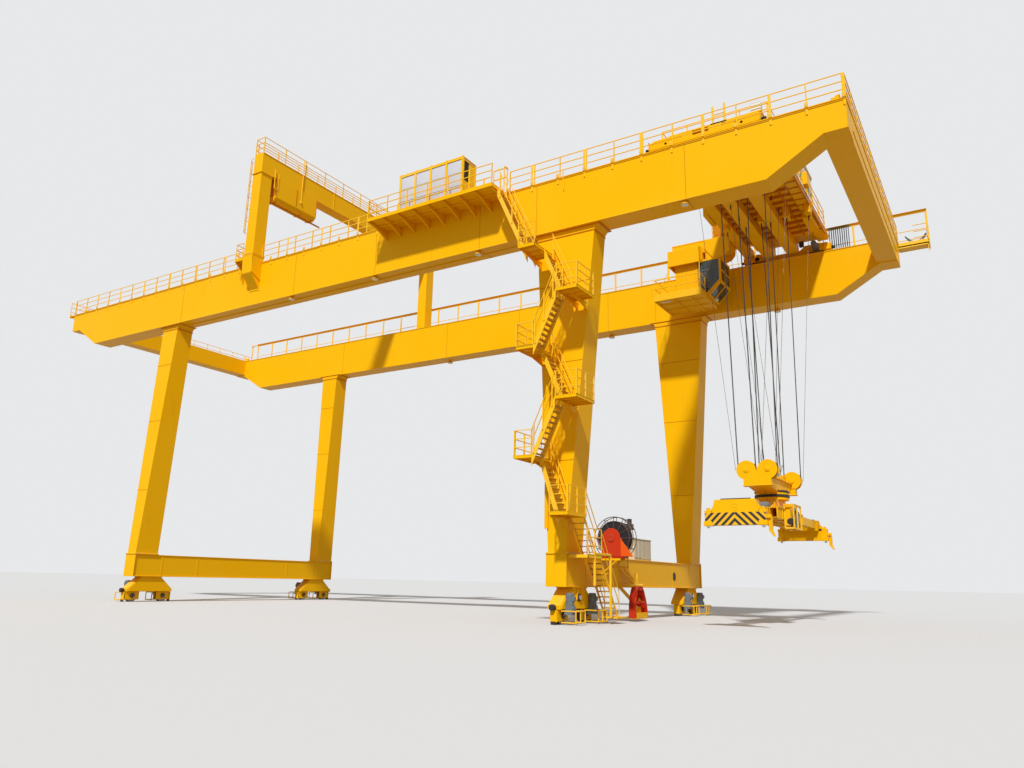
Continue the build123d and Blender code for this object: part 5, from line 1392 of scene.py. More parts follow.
@dataclass
class CableReel:
    """Supply cable reel with its arch plate, drive and the cable guide below."""

    x: float = 16.20
    y: float = -4.75
    z: float = 3.72
    radius: float = 0.99
    drum: float = 0.76

    def reel(self, shop: Workshop) -> None:
        """Turning rims, spokes and wound cable."""
        rims = []
        for y in about(self.y, 0.17):
            rims.append(shop.ring((self.x, y, self.z), self.radius - 0.02, 0.019, Axis.Y, 56, 8))
            rims.append(shop.ring((self.x, y, self.z), self.drum + 0.015, 0.014, Axis.Y, 48, 8))
            hub = (self.x, y, self.z)
            bars = [(Axis.Y.turned(hub, 0.18, a), Axis.Y.turned(hub, 0.965, a)) for a in circle(12)]
            rims.append(shop.rods(bars, 0.016, 8))
        near, far = ((self.x, y, self.z) for y in about(self.y, 0.17))
        bars = [(Axis.Y.turned(near, 0.955, a), Axis.Y.turned(far, 0.955, a)) for a in circle(12)]
        rims.append(shop.rods(bars, 0.012, 6))
        shop.hand_over(rims, "reel_rims", "brown_steel", "cable_reel", replaces=("cable_reel",))
        turns = [shop.ring((self.x, self.y - 0.135 + 0.054 * n, self.z), self.drum - 0.02 + 0.012 * (n % 2), 0.032,
                           Axis.Y, 56, 8) for n in range(6)]
        turns.append(shop.disc((self.x, self.y, self.z), self.drum - 0.03, 0.30, Axis.Y, 56))
        shop.hand_over(turns, "reel_cable_turns", "rubber", "cable_reel")
        hub = [shop.disc((self.x, self.y - 0.165, self.z), 0.30, 0.03, Axis.Y, 28),
               shop.disc((self.x, self.y + 0.165, self.z), 0.30, 0.03, Axis.Y, 28)]
        shop.hand_over(hub, "reel_hub", "red_paint", "cable_reel", soften=0.008)

    def stand(self, shop: Workshop) -> None:
        """Arch plate, gusset, drive and boxes round the reel."""
        x, front = self.x, -5.18
        arch = [(x - 0.50, 2.88)]
        arch += [(x - 0.44 * math.cos(a), self.z + 0.44 * math.sin(a)) for a in arc(14)]
        arch += [(x + 0.46, 2.88)]
        plate = [shop.plate(arch, Axis.Y, about(front, 0.02)),
                 shop.plate([(x - 0.50, 2.88), (x - 0.42, self.z), (x + 0.42, self.z), (x + 0.46, 2.88)], Axis.Y,
                            (-4.97, -4.945)),
                 shop.box((x - 0.48, x - 0.45), (front, -4.96), (2.88, self.z - 0.1)),
                 shop.box((x + 0.42, x + 0.45), (front, -4.96), (2.88, self.z - 0.1)),
                 shop.disc((x, front - 0.035, self.z), 0.17, 0.05, Axis.Y, 24),
                 shop.rod((x, front, self.z), (x, -4.548, self.z), 0.07, 16),
                 shop.box((15.62, 16.75), (front, -4.55), (2.83, 2.88))]
        shop.hand_over(plate, "reel_arch_plate", "red_paint", "gantry", soften=0.01,
                       replaces=("reel_stand",))
        ledge = [shop.box((15.60, 16.62), about(y, 0.04), (2.72, 2.83)) for y in (front + 0.06, -4.62)]
        ledge += [shop.rod((16.45, y, 2.74), (15.60, y, 2.05), 0.04) for y in (front + 0.06, -4.62)]
        shop.hand_over(ledge, "reel_ledge", "yellow_plate", "gantry", soften=0.006)
        bolts = shop.bolts((x, front - 0.065, self.z), 0.13, 8, 0.016, 0.02, Axis.Y)
        shop.hand_over(bolts, "reel_arch_bolts", "bright_steel", "gantry")
        gusset = [shop.plate([(x + 0.42, 2.90), (x + 1.0, 2.90), (x + 0.90, 3.10), (x + 0.42, 3.72)], Axis.Y,
                             (front + 0.01, front + 0.05)),
                  shop.plate([(x + 0.44, 2.90), (x + 0.98, 2.90), (x + 0.44, 3.60)], Axis.Y, (-4.98, -4.95))]
        shop.hand_over(gusset, "reel_gusset", "flame_paint", "gantry", soften=0.008)
        drive = [shop.box((x + 0.36, x + 0.66), (-4.44, -4.14), (4.12, 4.40)),
                 shop.disc((x + 0.51, -4.29, 4.50), 0.11, 0.26, Axis.Z, 16),
                 shop.rod((x, -4.46, self.z), (x, -4.20, self.z), 0.14, 16),
                 shop.plate([(x - 0.22, 2.87), (x + 0.22, 2.87), (x + 0.64, 4.20), (x + 0.34, 4.30)], Axis.Y,
                            (-4.42, -4.36))]
        shop.hand_over(drive, "reel_drive", "dark_paint", "gantry", soften=0.01)
        boxes = [shop.box((15.95, 16.45), (-4.12, -3.62), (3.55, 4.15)),
                 shop.box((15.90, 16.50), (-4.14, -3.60), (4.15, 4.19))]
        shop.hand_over(boxes, "reel_slip_ring_box", "red_paint", "gantry", soften=0.012)
        posts = [shop.box((15.55, 15.95), (-4.10, -3.64), (2.87, 2.93)),
                 shop.rod((16.05, -4.05, 2.4), (16.05, -4.05, 3.6), 0.04),
                 shop.rod((16.35, -3.72, 2.4), (16.35, -3.72, 3.6), 0.04),
                 shop.rod((15.6, -4.05, 2.45), (16.4, -4.05, 2.45), 0.04),
                 shop.rod((15.6, -3.72, 2.45), (16.4, -3.72, 2.45), 0.04),
                 shop.box((15.9, 16.5), (-4.15, -3.6), (3.50, 3.56))]
        shop.hand_over(posts, "reel_box_posts", "yellow_tube", "gantry", soften=0.006)

    def guide(self, shop: Workshop) -> None:
        """Bell-mouthed guide, narrow above and flared below, on its yellow arms."""
        x0, x1 = 16.02, 16.38
        left = [(-2.50, 1.60), (-2.70, 1.42), (-2.86, 1.10), (-2.95, 0.70), (-2.98, 0.16)]
        right = [(-2.12, 1.60), (-1.92, 1.40), (-1.72, 1.05), (-1.56, 0.65), (-1.45, 0.16)]
        shell = [shop.plate([*side, *[(y + push, z - 0.02) for y, z in reversed(side)]], Axis.X, (x0, x1))
                 for side, push in ((left, 0.05), (right, -0.05))]
        shell.append(shop.plate([*left[:4], *reversed(right[:4])], Axis.X, (x0 + 0.01, x0 + 0.03)))
        shell += [shop.rod((x0, y, z), (x1, y, z), 0.07, 14)
                  for y, z in ((-2.42, 1.45), (-2.20, 1.45), (-2.56, 0.85), (-1.92, 0.85))]
        shop.hand_over(shell, "cable_guide_shell", "red_paint", "gantry", soften=0.008,
                       replaces=("cable_guide",))
        foot = [shop.box((x0 + 0.02, x0 + 0.05), (-2.94, -1.49), (0.16, 0.66)),
                shop.box((x0, x1), (-2.96, -1.47), (0.12, 0.16)),
                shop.box((x1 - 0.03, x1), (-2.8, -1.52), (0.16, 0.40))]
        shop.hand_over(foot, "cable_guide_foot", "yellow_plate", "gantry", soften=0.008)
        arms = [((15.60, -3.10, 2.47), (16.10, -2.40, 1.66)), ((15.60, -2.42, 2.40), (16.10, -2.20, 1.66)),
                ((15.60, -3.12, 1.64), (16.15, -3.12, 1.64)), ((16.15, -3.14, 1.64), (16.15, -1.60, 1.64)),
                ((15.60, -1.62, 1.64), (16.15, -1.62, 1.64)), ((15.60, -3.14, 1.62), (16.10, -2.70, 0.92)),
                ((15.60, -1.62, 1.62), (16.10, -1.80, 0.92)), ((16.15, -2.32, 1.60), (16.15, -2.32, 2.18))]
        shop.hand_over(shop.rods(arms, 0.085, 4), "cable_guide_arms", "yellow_tube", "gantry",
                       soften=0.006)

    def cabinets(self, shop: Workshop) -> None:
        """Roof, doors and handle of the two cabinets on the sill beam."""
        second = [shop.box((14.83, 15.53), (-0.14, 1.10), (2.88, 3.90)),
                  shop.box((14.79, 15.57), (-0.17, 1.13), (3.90, 3.95)),
                  shop.box((15.52, 15.55), (-0.10, 0.47), (2.95, 3.84)),
                  shop.box((15.52, 15.55), (0.50, 1.06), (2.95, 3.84))]
        shop.hand_over(second, "second_cabinet", "cabinet_beige", "gantry", soften=0.008)
        handle = [shop.box((14.80, 15.56), (-1.08, -0.17), (3.90, 3.95)),
                  shop.box((15.53, 15.56), (-0.62, -0.60), (2.95, 3.86)),
                  shop.box((15.53, 15.575), (-0.72, -0.68), (3.3, 3.45)),
                  shop.box((15.53, 15.56), (-1.0, -0.66), (3.0, 3.82)),
                  shop.box((15.53, 15.56), (-0.56, -0.20), (3.0, 3.82)),
                  shop.box((14.85, 15.51), (-1.03, -0.17), (2.865, 2.93))]
        shop.hand_over(handle, "control_cabinet_doors", "cabinet_beige", "gantry", soften=0.008)

    def build(self, shop: Workshop) -> None:
        """Build reel, stand, guide and cabinets."""
        self.reel(shop)
        self.stand(shop)
        self.guide(shop)
        self.cabinets(shop)


@dataclass
class Travel:
    """Bogies, drives, rail sweepers and guard frames at the four corners."""

    gauge_x: float = SILL_X
    corner_y: float = 7.10
    wheel_base: float = 2.10

    def corner(self, shop: Workshop, side: int, end: int, made: dict[str, list[Piece]]) -> None:
        """Add what one corner carries to the lists of pieces.

        Args:
            shop: the workshop.
            side: 1 for the right rail, -1 for the left.
            end: 1 for the far end, -1 for the near end.
            made: lists of raw pieces by finish.
        """
        x, y0 = side * self.gauge_x, end * self.corner_y
        paint, tube, motor, dark, steel = (made[key] for key in ("paint", "tube", "motor", "dark", "steel"))
        for face in (0.31, -0.35):
            paint.append(shop.plate([(y0 - 1.50, 0.64), (y0 + 1.50, 0.64), (y0 + 1.50, 0.76),
                                     (y0 + 0.66, 1.50), (y0 - 0.66, 1.50), (y0 - 1.50, 0.76)], Axis.X,
                                    outward(x, side, face, face + 0.04)))
        paint.append(shop.box(about(x, 0.42), about(y0, 0.70), (1.49, 1.56)))
        for dy in (-0.62, -0.2, 0.2, 0.62):
            paint.append(shop.box(outward(x, side, 0.34, 0.40), about(y0 + dy, 0.02), (1.0, 1.50)))
        dark.append(shop.disc((x + side * 0.37, y0, 1.10), 0.16, 0.08, Axis.X, 20))
        steel.append(shop.disc((x + side * 0.42, y0, 1.10), 0.10, 0.06, Axis.X, 12))
        for wheel_y in about(y0, self.wheel_base / 2):
            for face in (-0.20, 0.20):
                dark.append(shop.disc((x + face, wheel_y, 0.38), 0.15, 0.05, Axis.X, 20))
                steel += shop.bolts((x + face * 1.16, wheel_y, 0.38), 0.10, 6, 0.018, 0.03, Axis.X)
            mx = x + side * 0.48
            motor.append(shop.disc((mx, wheel_y, 0.84), 0.18, 0.06, Axis.Z, 24))
            motor.append(shop.disc((mx, wheel_y, 1.24), 0.175, 0.10, Axis.Z, 24, top=0.15))
            for angle in circle(14):
                fin_x, fin_y, _ = Axis.Z.turned((mx, wheel_y, 0.0), 0.175, angle)
                motor.append(shop.box(about(fin_x, 0.012), about(fin_y, 0.012), (0.88, 1.20)))
            motor.append(shop.box(outward(x, side, 0.60, 0.72), about(wheel_y, 0.09), (0.96, 1.14)))
            motor.append(shop.disc((x + side * 0.66, wheel_y, 0.62), 0.15, 0.06, Axis.X, 24))
            motor.append(shop.box(outward(x, side, 0.30, 0.66), about(wheel_y, 0.19), (0.40, 0.46)))
            front, low, high = 0.98, 0.10, 0.56
            ends = []
            for z in (low, high):
                ends.append(((x + side * front, wheel_y - 0.42, z), (x + side * front, wheel_y + 0.42, z)))
                for dy in (-0.42, 0.42):
                    ends.append(((x + side * 0.30, wheel_y + dy, z), (x + side * front, wheel_y + dy, z)))
            for dy in (-0.42, 0.0, 0.42):
                ends.append(((x + side * front, wheel_y + dy, low), (x + side * front, wheel_y + dy, high)))
            tube.append(shop.rods(ends, 0.028, 8))
        for tip in (-1, 1):
            edge = y0 + tip * 1.56
            paint.append(shop.box(about(x, 0.16), reach(edge, tip * 0.05), (0.10, 0.60)))
            dark.append(shop.box(about(x, 0.12), reach(edge, tip * 0.07), (0.015, 0.14)))
        buffer_y = y0 + end * 1.60
        dark.append(shop.disc((x, buffer_y + end * 0.10, 0.70), 0.13, 0.20, Axis.Y, 20))

    def build(self, shop: Workshop) -> None:
        """Build all four corners."""
        made: dict[str, list[Piece]] = {key: [] for key in ("paint", "tube", "motor", "dark", "steel")}
        for side in (-1, 1):
            for end in (-1, 1):
                self.corner(shop, side, end, made)
        shop.hand_over(made["paint"], "bogie_saddle_plates", "yellow_plate", "gantry", soften=0.012)
        shop.hand_over(made["tube"], "bogie_guard_frames", "yellow_tube", "gantry")
        shop.hand_over(made["motor"], "travel_motor_cases", "motor_grey", "gantry", soften=0.008)
        shop.hand_over(made["dark"], "axle_caps_and_sweepers", "dark_paint", "gantry", soften=0.008)
        shop.hand_over(made["steel"], "bogie_pins_and_bolts", "bright_steel", "gantry",
                       soften=0.004)


@dataclass
class LegsAndSills:
    """Flange plates, seams, manholes and the cable channel on legs and sill beams."""

    sill_x: float = SILL_X
    sill_half: float = SILL_HALF
    foot_y: float = 7.70
    heads: tuple[tuple[int, float, float], ...] = ((1, 0.13, 1.515), (-1, -0.29, 0.775))

    def sills(self, shop: Workshop) -> None:
        """Flanges, seams and manholes of the sill beams."""
        parts, holes = [], []
        for side in (-1, 1):
            x = side * self.sill_x
            for z in ((2.84, 2.885), (1.535, 1.58)):
                parts.append(shop.box(about(x, 0.47), (-self.sill_half, self.sill_half), z))
            for y in (-6.55, -3.9, 3.9, 6.55):
                for face in (-0.43, 0.43):
                    parts.append(shop.box(about(x + face, 0.008), about(y, 0.05), (1.58, 2.84)))
            for end in (-1, 1):
                y = end * self.foot_y
                parts.append(shop.box(about(x, 0.52), (y - 0.86, y + 0.80), (2.885, 2.94)))
                face = end * (self.sill_half + 0.01)
                parts.append(shop.box(about(x, 0.50), reach(face, end * 0.03), (1.53, 2.89)))
            for y in (4.18,) if side > 0 else (-4.2, 4.2):
                holes.append(shop.ring((x + side * 0.425, y, 2.15), 0.21, 0.022, Axis.X, 28, 6))
                holes.append(shop.disc((x + side * 0.425, y, 2.15), 0.20, 0.03, Axis.X, 28))
        shop.hand_over(parts, "sill_flanges", "yellow_plate", "gantry", soften=0.008)
        shop.hand_over(holes, "sill_manholes", "dark_paint", "gantry", soften=0.004)
        bolts = []
        for side in (-1, 1):
            for end in (-1, 1):
                for n in range(7):
                    for edge in (-0.48, 0.48):
                        bolts.append(shop.disc((side * self.sill_x + edge, end * self.foot_y - 0.72 + 0.24 * n,
                                                2.955), 0.022, 0.035, Axis.Z, 6))
        shop.hand_over(bolts, "leg_foot_bolts", "bright_steel", "gantry")

    @staticmethod
    def front(level: float) -> float:
        """Y of the leg's near face at a level."""
        return -(WEB_OUT - LEG_IN) - leg_share(level) * (SILL_HALF - WEB_OUT + LEG_IN)

    def channel(self, shop: Workshop) -> None:
        """Upright cable channel before the near right leg, with its clips."""
        low, high = 3.95, 12.6
        x0, x1 = 14.60, 14.77
        parts = [shop.box((x0, x1), (-8.535, -8.505), (low, high)),
                 shop.box((x0, x0 + 0.02), (-8.505, -8.42), (low, high)),
                 shop.box((x1 - 0.02, x1), (-8.505, -8.42), (low, high))]
        for n in range(8):
            z = low + 0.25 + 1.15 * n
            parts.append(shop.box((x0 + 0.02, x1 - 0.02), (-8.505, self.front(z) + 0.02), about(z, 0.03)))
        shop.hand_over(parts, "leg_cable_channel", "yellow_plate", "gantry", soften=0.006)

    def seams(self, shop: Workshop) -> None:
        """Weld seams round the legs and the flanges at their heads, in orange: the lower flange as painted shadow
        under the head, the upper one as a seam.
        """
        deep, foot = 1.14, 1.54  # depth of a leg at its head and at its foot
        seams = []
        for side, lean_x, top_half in self.heads:
            for z in (6.9, 11.4, 15.2):
                share = leg_share(z)
                half = top_half + share * (0.42 - top_half)
                mid = side * (SILL_X + lean_x * (1 - share))
                for end in (-1, 1):
                    outer = end * ((WEB_OUT - LEG_IN) + share * (SILL_HALF - WEB_OUT + LEG_IN) + 0.006)
                    head_in = WEB_OUT - LEG_IN - deep
                    inner = end * (head_in + share * ((SILL_HALF - foot) - head_in) - 0.006)
                    for y in (outer, inner):
                        seams.append(shop.box(about(mid, half), about(y, 0.006), about(z, 0.012)))
        shop.hand_over(seams, "leg_weld_seams", "orange_plate", "gantry")
        caps = []
        for side, lean_x, top_half in self.heads:
            mid = side * (SILL_X + lean_x)
            for end in (-1, 1):
                y = end * (WEB_OUT - LEG_IN - deep / 2)
                # Lower band: painted shadow under the head flange. Upper band: the seam at the girder's foot.
                caps.append(shop.box((mid - top_half - 0.03, mid + top_half + 0.03), about(y, 0.60), (17.63, 17.69)))
                caps.append(shop.box((mid - top_half - 0.34, mid + top_half + 0.34), about(y, 0.62), (17.93, 17.965)))
        shop.hand_over(caps, "leg_head_shadow_and_seam_bands", "orange_plate", "gantry", soften=0.008)

    def build(self, shop: Workshop) -> None:
        """Build sill and leg trim."""
        self.sills(shop)
        self.channel(shop)
        self.seams(shop)


@dataclass
class Stairs:
    """Landings with their brackets, handrails on the wall side, and the ground stair with its gate frame."""

    levels: tuple[float, ...] = (16.60, 14.18, 11.76, 9.34, 6.92, 4.50)
    lanes: tuple[float, float] = (-10.20, -8.55)

    def spans(self) -> list[Span]:
        """X span of each landing, from the top down."""
        left, right = (14.00, 14.90), (16.00, 17.05)
        return [left, right, left, right, left, (15.75, 16.65)]

    def landings(self, shop: Workshop) -> None:
        """Plate decks in thin edge channels, with their arms to the leg and shallow brackets."""
        parts, grates = [], []
        near, wall = self.lanes
        for n, (level, (x0, x1)) in enumerate(zip(self.levels, self.spans())):
            rim = (level - 0.13, level + 0.015)
            parts.append(shop.box((x0, x1), (near, wall), (level - 0.03, level)))
            parts += [shop.box((x0, x1), (y, y + 0.02), rim) for y in (near, wall - 0.02)]
            parts += [shop.box((x, x + 0.02), (near, wall), rim) for x in (x0, x1 - 0.02)]
            parts += [shop.box((x0 + 0.02, x1 - 0.02), about(y, 0.015), (level - 0.10, level - 0.03))
                      for y in spread(near + 0.35, wall - 0.3, 0.5)]
            front, left, right = self.leg(level - 0.13)
            if n < 5:
                arms = (max(left, x0) + 0.03, x1 - 0.10) if n % 2 == 0 else (x0 + 0.03, min(right, x1) - 0.08)
                for x in arms:
                    parts.append(shop.box((x, x + 0.06), (wall, front + 0.02), (level - 0.13, level - 0.01)))
                    parts.append(shop.plate([(front, level - 0.45), (front, level - 0.13),
                                             (near + 0.35, level - 0.13)], Axis.X, (x + 0.02, x + 0.04)))
            else:
                parts.append(shop.box((x0, x0 + 0.08), (wall - 0.1, wall + 0.3), (level - 0.33, level - 0.13)))
                parts.append(shop.box((right - 0.05, x0 + 0.02), (front, wall + 0.30), (level - 0.33, level - 0.13)))
                parts.append(shop.box((x0, x0 + 0.06), (near + 0.03, wall), (level - 0.22, level - 0.13)))
            grates.append(shop.box((x0 + 0.03, x1 - 0.03), (near + 0.03, wall - 0.03), (level, level + 0.012)))
        shop.hand_over(parts, "landing_frames", "yellow_plate", "gantry", soften=0.004,
                       replaces=("stair_landings",))
        shop.hand_over(grates, "landing_gratings", "grating", "gantry", soften=0.003)

    @staticmethod
    def leg(level: float) -> tuple[float, float, float]:
        """Front face and left and right side of the near right leg at a level."""
        share = leg_share(level)
        half = 1.515 + share * (0.42 - 1.515)
        mid = SILL_X + 0.13 * (1 - share)
        return LegsAndSills.front(level), mid - half, mid + half

    def flights(self, shop: Workshop) -> None:
        """Second handrail, on the wall side of every flight."""
        bars, posts = [], []
        spans = self.spans()
        for n in range(5):
            low, high = spans[n + 1], spans[n]
            if n % 2 == 0:
                x0, x1, y = low[0], high[1], -8.575
            else:
                x0, x1, y = low[1], high[0], -9.475
            z0, z1 = self.levels[n + 1], self.levels[n]
            for rise in (0.55, 1.05):
                bars.append(((x0, y, z0 + rise), (x1, y, z1 + rise)))
            for share in (0.05, 0.5, 0.95):
                x, z = x0 + (x1 - x0) * share, z0 + (z1 - z0) * share
                posts.append(((x, y, z - 0.12), (x, y, z + 1.05)))
        bars += [((14.0, -8.575, 17.65), (12.2, -8.575, 21.49)), ((14.0, -8.575, 17.15), (12.2, -8.575, 20.99))]
        posts += [((14.0 - 1.8 * s, -8.575, 16.5 + 3.84 * s), (14.0 - 1.8 * s, -8.575, 17.65 + 3.84 * s))
                  for s in (0.04, 0.35, 0.65, 0.96)]
        shop.hand_over([shop.rods(bars, 0.02, 8), shop.rods(posts, 0.022, 8)], "stair_wall_handrails", "yellow_tube",
                       "gantry")

    def ground(self, shop: Workshop) -> None:
        """Deck on the sill beam's side, stair to the ground with its grips, and the gate frame."""
        face, out, top = 15.60, 16.65, SILL_TOP
        parts = [shop.box((face, out), (-8.40, -7.05), (top - 0.03, top))]
        parts += [shop.box((face, out), about(y, 0.03), (top - 0.14, top - 0.03)) for y in (-8.37, -7.7, -7.08)]
        parts.append(shop.box((out - 0.03, out), (-8.40, -7.05), (top - 0.14, top + 0.02)))
        for lane in (15.90, 16.52):
            parts.append(shop.plate([(-5.25, 0.30), (-7.05, top), (-7.05, top - 0.25), (-5.25, 0.10)], Axis.X,
                                    (lane, lane + 0.03)))
            parts.append(shop.plate([(-7.35, top), (-8.55, 4.50), (-8.55, 4.25), (-7.35, top - 0.14)], Axis.X,
                                    (lane, lane + 0.03)))
        x = 16.62
        for y in (-6.18, -7.74):
            parts.append(shop.box(about(x, 0.045), about(y, 0.045), (0.28 if y > -7 else 1.6, 2.95)))
        parts.append(shop.box(about(x, 0.045), (-7.78, -6.14), (2.88, 2.97)))
        parts.append(shop.box((15.62, x), (-6.22, -6.14), (2.88, 2.96)))
        parts.append(shop.box((15.86, 16.66), (-5.62, -4.62), (0.22, 0.30)))
        parts.append(shop.rod((15.9, -5.3, 0.35), (15.9, -6.9, 2.85), 0.02))
        bars = [((15.88, -5.25, 1.35), (15.88, -7.0, 3.90)), ((15.88, -5.25, 0.85), (15.88, -7.0, 3.40)),
                ((15.88, -5.25, 0.25), (15.88, -5.25, 1.38)), ((15.88, -6.2, 1.5), (15.88, -6.2, 2.72)),
                ((15.88, -7.0, 2.8), (15.88, -7.0, 3.95))]
        bars += [((16.58, -5.25, z), (16.58, -7.05, z + 2.57)) for z in (0.85, 1.38)]
        bars += [((16.58, y, z), (16.58, y, z + 1.2)) for y, z in ((-5.25, 0.20), (-6.15, 1.5))]
        bars += [((16.62, -8.38, z), (16.62, -7.08, z)) for z in (3.24, 3.60, 3.95)]
        bars += [((16.62, y, top), (16.62, y, 3.96)) for y in (-8.38, -7.73, -7.08)]
        bars += [((16.58, -7.35, z), (16.58, -8.55, z + 1.63)) for z in (3.4, 3.95)]
        parts.append(shop.rods(bars, 0.022, 8))
        shop.hand_over(parts, "ground_stair_frame", "yellow_tube", "gantry", soften=0.006,
                       replaces=("base_stair",))
        tread = [shop.box((15.93, 16.52), (y, y + 0.20), (z, z + 0.035))
                 for y, z in [(-5.52 - 0.155 * n, 0.42 + 0.235 * n) for n in range(10)]]
        shop.hand_over(tread, "ground_stair_nosings", "grating", "gantry", soften=0.006)

    def build(self, shop: Workshop) -> None:
        """Build the stair's pieces."""
        self.landings(shop)
        self.flights(shop)
        self.ground(shop)


@dataclass
class Girders:
    """Seams, lamps, lips, post feet, rail clips, end plates and end walkways of the two main girders."""

    left: float = GIRDER_LEFT
    right: float = GIRDER_RIGHT
    top: float = GIRDER_TOP
    bottom: float = GIRDER_BOTTOM
    outside: float = WEB_OUT
    inside: float = WEB_IN
    seams: tuple[float, ...] = (-13.63, -2.95, 3.45, 10.45, 13.81, 21.33)
    lamps: tuple[float, ...] = (-3.30, 3.30, 10.25, 21.20)

    def webs(self, shop: Workshop) -> None:
        """Weld seams, web lips and the feet of the railing posts."""
        seams = [shop.box(about(x, 0.011), reach(y, side * 0.007), (self.bottom, 20.62))
                 for x in self.seams for y, side in ((-self.outside, -1), (self.inside, -1), (self.outside, 1),
                                                     (-self.inside, 1))]
        seams += [shop.box(about(x, 0.012), (-self.outside, -self.inside), (self.bottom - 0.006, self.bottom))
                  for x in self.seams]
        shop.hand_over(seams, "girder_weld_seams", "orange_plate", "gantry")
        lips = []
        for side in (-1, 1):
            y = side * self.outside
            lips.append(shop.box((self.left, self.right), reach(y, side * 0.03), (20.585, 20.61)))
            lips.append(shop.box((self.left, self.right), outward(0.0, side, 6.98, 7.0), (20.62, self.top)))
            lips.append(shop.box((self.left + 4, self.right - 6.2), reach(y, side * 0.02), (17.955, 17.985)))
        feet = spread(self.left + 0.025, self.right - 0.025, 1.445)
        lips += [shop.box(about(x, 0.045), (-8.243, -self.outside), (20.36, 20.585)) for x in feet]
        lips += [shop.box(about(x, 0.075), (-8.275, -8.245), (self.top, 20.90)) for x in feet]
        lips += [shop.box(about(x, 0.055), (-8.262, -8.245), (20.90, 21.79)) for x in feet[::2]]
        shop.hand_over(lips, "girder_lips", "yellow_tube", "gantry", soften=0.006)
        bolts = [shop.disc((x + dx, -8.281, 20.80), 0.017, 0.02, Axis.Y, 6) for x in feet for dx in (-0.045, 0.045)]
        shop.hand_over(bolts, "railing_foot_bolts", "bright_steel", "gantry")

    def fittings(self, shop: Workshop) -> None:
        """Lamps under the girders, rail clips and stops."""
        cases, lenses = [], []
        for x in self.lamps:
            for side in (-1, 1):
                y = side * 7.98
                cases.append(shop.disc((x, y, 17.88), 0.19, 0.13, Axis.Z, 24, top=0.11))
                cases.append(shop.ring((x, y, 17.815), 0.18, 0.022, Axis.Z, 24, 6))
                lenses.append(shop.disc((x, y, 17.82), 0.155, 0.05, Axis.Z, 24))
        shop.hand_over(cases, "girder_lamp_cases", "yellow_tube", "gantry", soften=0.006)
        shop.hand_over(lenses, "girder_lamp_lenses", "lamp_lens", "gantry", soften=0.01, segments=2)
        clips, stops = [], []
        for side in (-1, 1):
            for x in spread(self.left + 0.4, self.right - 0.4, 1.2):
                clips.append(shop.box(about(x, 0.05), about(side * RAIL_Y, 0.14), (self.top, 20.735)))
            for end in (self.left + 0.35, self.right - 0.35):
                away = 1 if end > 0 else -1
                stops.append(shop.plate([(end - away * 0.45, self.top), (end + away * 0.10, self.top),
                                         (end + away * 0.10, 21.20), (end - away * 0.06, 21.20)], Axis.Y,
                                        about(side * RAIL_Y, 0.13)))
                stops.append(shop.disc((end - away * 0.17, side * RAIL_Y, 21.10), 0.08, 0.18, Axis.X, 20))
        shop.hand_over(clips, "rail_clips", "brown_steel", "gantry", soften=0.006)
        shop.hand_over(stops, "trolley_end_stops", "yellow_plate", "gantry", soften=0.008)

    def ends(self, shop: Workshop) -> None:
        """Conduits along the girders and plates on their ends."""
        pipes = [shop.rod((self.left + 0.5, -8.03, 20.76), (self.right - 1.0, -8.03, 20.76), 0.03),
                 shop.rod((15.32, -8.25, 19.95), (15.30, -8.29, 20.95), 0.025),
                 shop.rod((-15.5, -7.55, 17.93), (13.0, -7.55, 17.93), 0.03)]
        pipes += [shop.box(about(x, 0.04), (-7.62, -7.48), (17.90, 17.96)) for x in spread(-14.8, 12.8, 3.0)]
        shop.hand_over(pipes, "girder_conduits", "yellow_tube", "gantry")
        pegs = []
        for side in (-1, 1):
            for end in (self.left, self.right):
                away = 1 if end > 0 else -1
                pegs.append(shop.box(reach(end, away * 0.025), about(side * RAIL_Y, 0.62), (19.36, self.top)))
                for dz in (0.12, 1.22):
                    pegs += [shop.disc((end + away * 0.035, side * RAIL_Y - 0.5 + 0.2 * n, 19.36 + dz), 0.02,
                                       0.03, Axis.X, 6) for n in range(6)]
        shop.hand_over(pegs, "girder_end_plates", "yellow_plate", "gantry", soften=0.005)

    def end_walks(self, shop: Workshop) -> None:
        """Walkways on the end beams, with the deep fascia and the railing at the crane's ends."""
        bars, decks = [], []
        for tip, side, wide in ((self.right, 1, 0.06), (self.left, -1, 0.80)):
            back, edge = tip - side * 0.72, tip + side * wide
            decks.append(shop.box(sorted((back, tip)), (-6.99, 6.99), (self.top, 20.75)))
            decks.append(shop.box(sorted((tip, edge)), (-self.outside, self.outside), (20.64, self.top)))
            decks.append(shop.box(outward(edge, side, -0.03, 0.0), (-self.outside, self.outside), (20.60, 20.84)))
            decks.append(shop.box(outward(tip, side, -0.02, 0.03), (-6.99, 6.99), (19.90, self.top)))
            for y in spread(-8.1, 8.1, 1.8):
                decks.append(shop.plate([(tip, 20.36), (tip, 20.64), (edge, 20.64), (edge, 20.60)], Axis.Y,
                                        about(y, 0.015)))
            x = edge - side * 0.03
            bars += [((x, -self.outside, z), (x, self.outside, z)) for z in (21.78, 21.42, 21.06)]
            bars += [((x, y, 20.7), (x, y, 21.79)) for y in spread(-8.18, 8.18, 1.4)]
        shop.hand_over(decks, "end_walkway_decks", "yellow_plate", "gantry", soften=0.006)
        shop.hand_over([shop.rods(bars, 0.024, 8)], "end_walkway_rails", "yellow_tube", "gantry",
                       replaces=("end_walkways",))

    def build(self, shop: Workshop) -> None:
        """Build the girder trim."""
        self.webs(shop)
        self.fittings(shop)
        self.ends(shop)
        self.end_walks(shop)


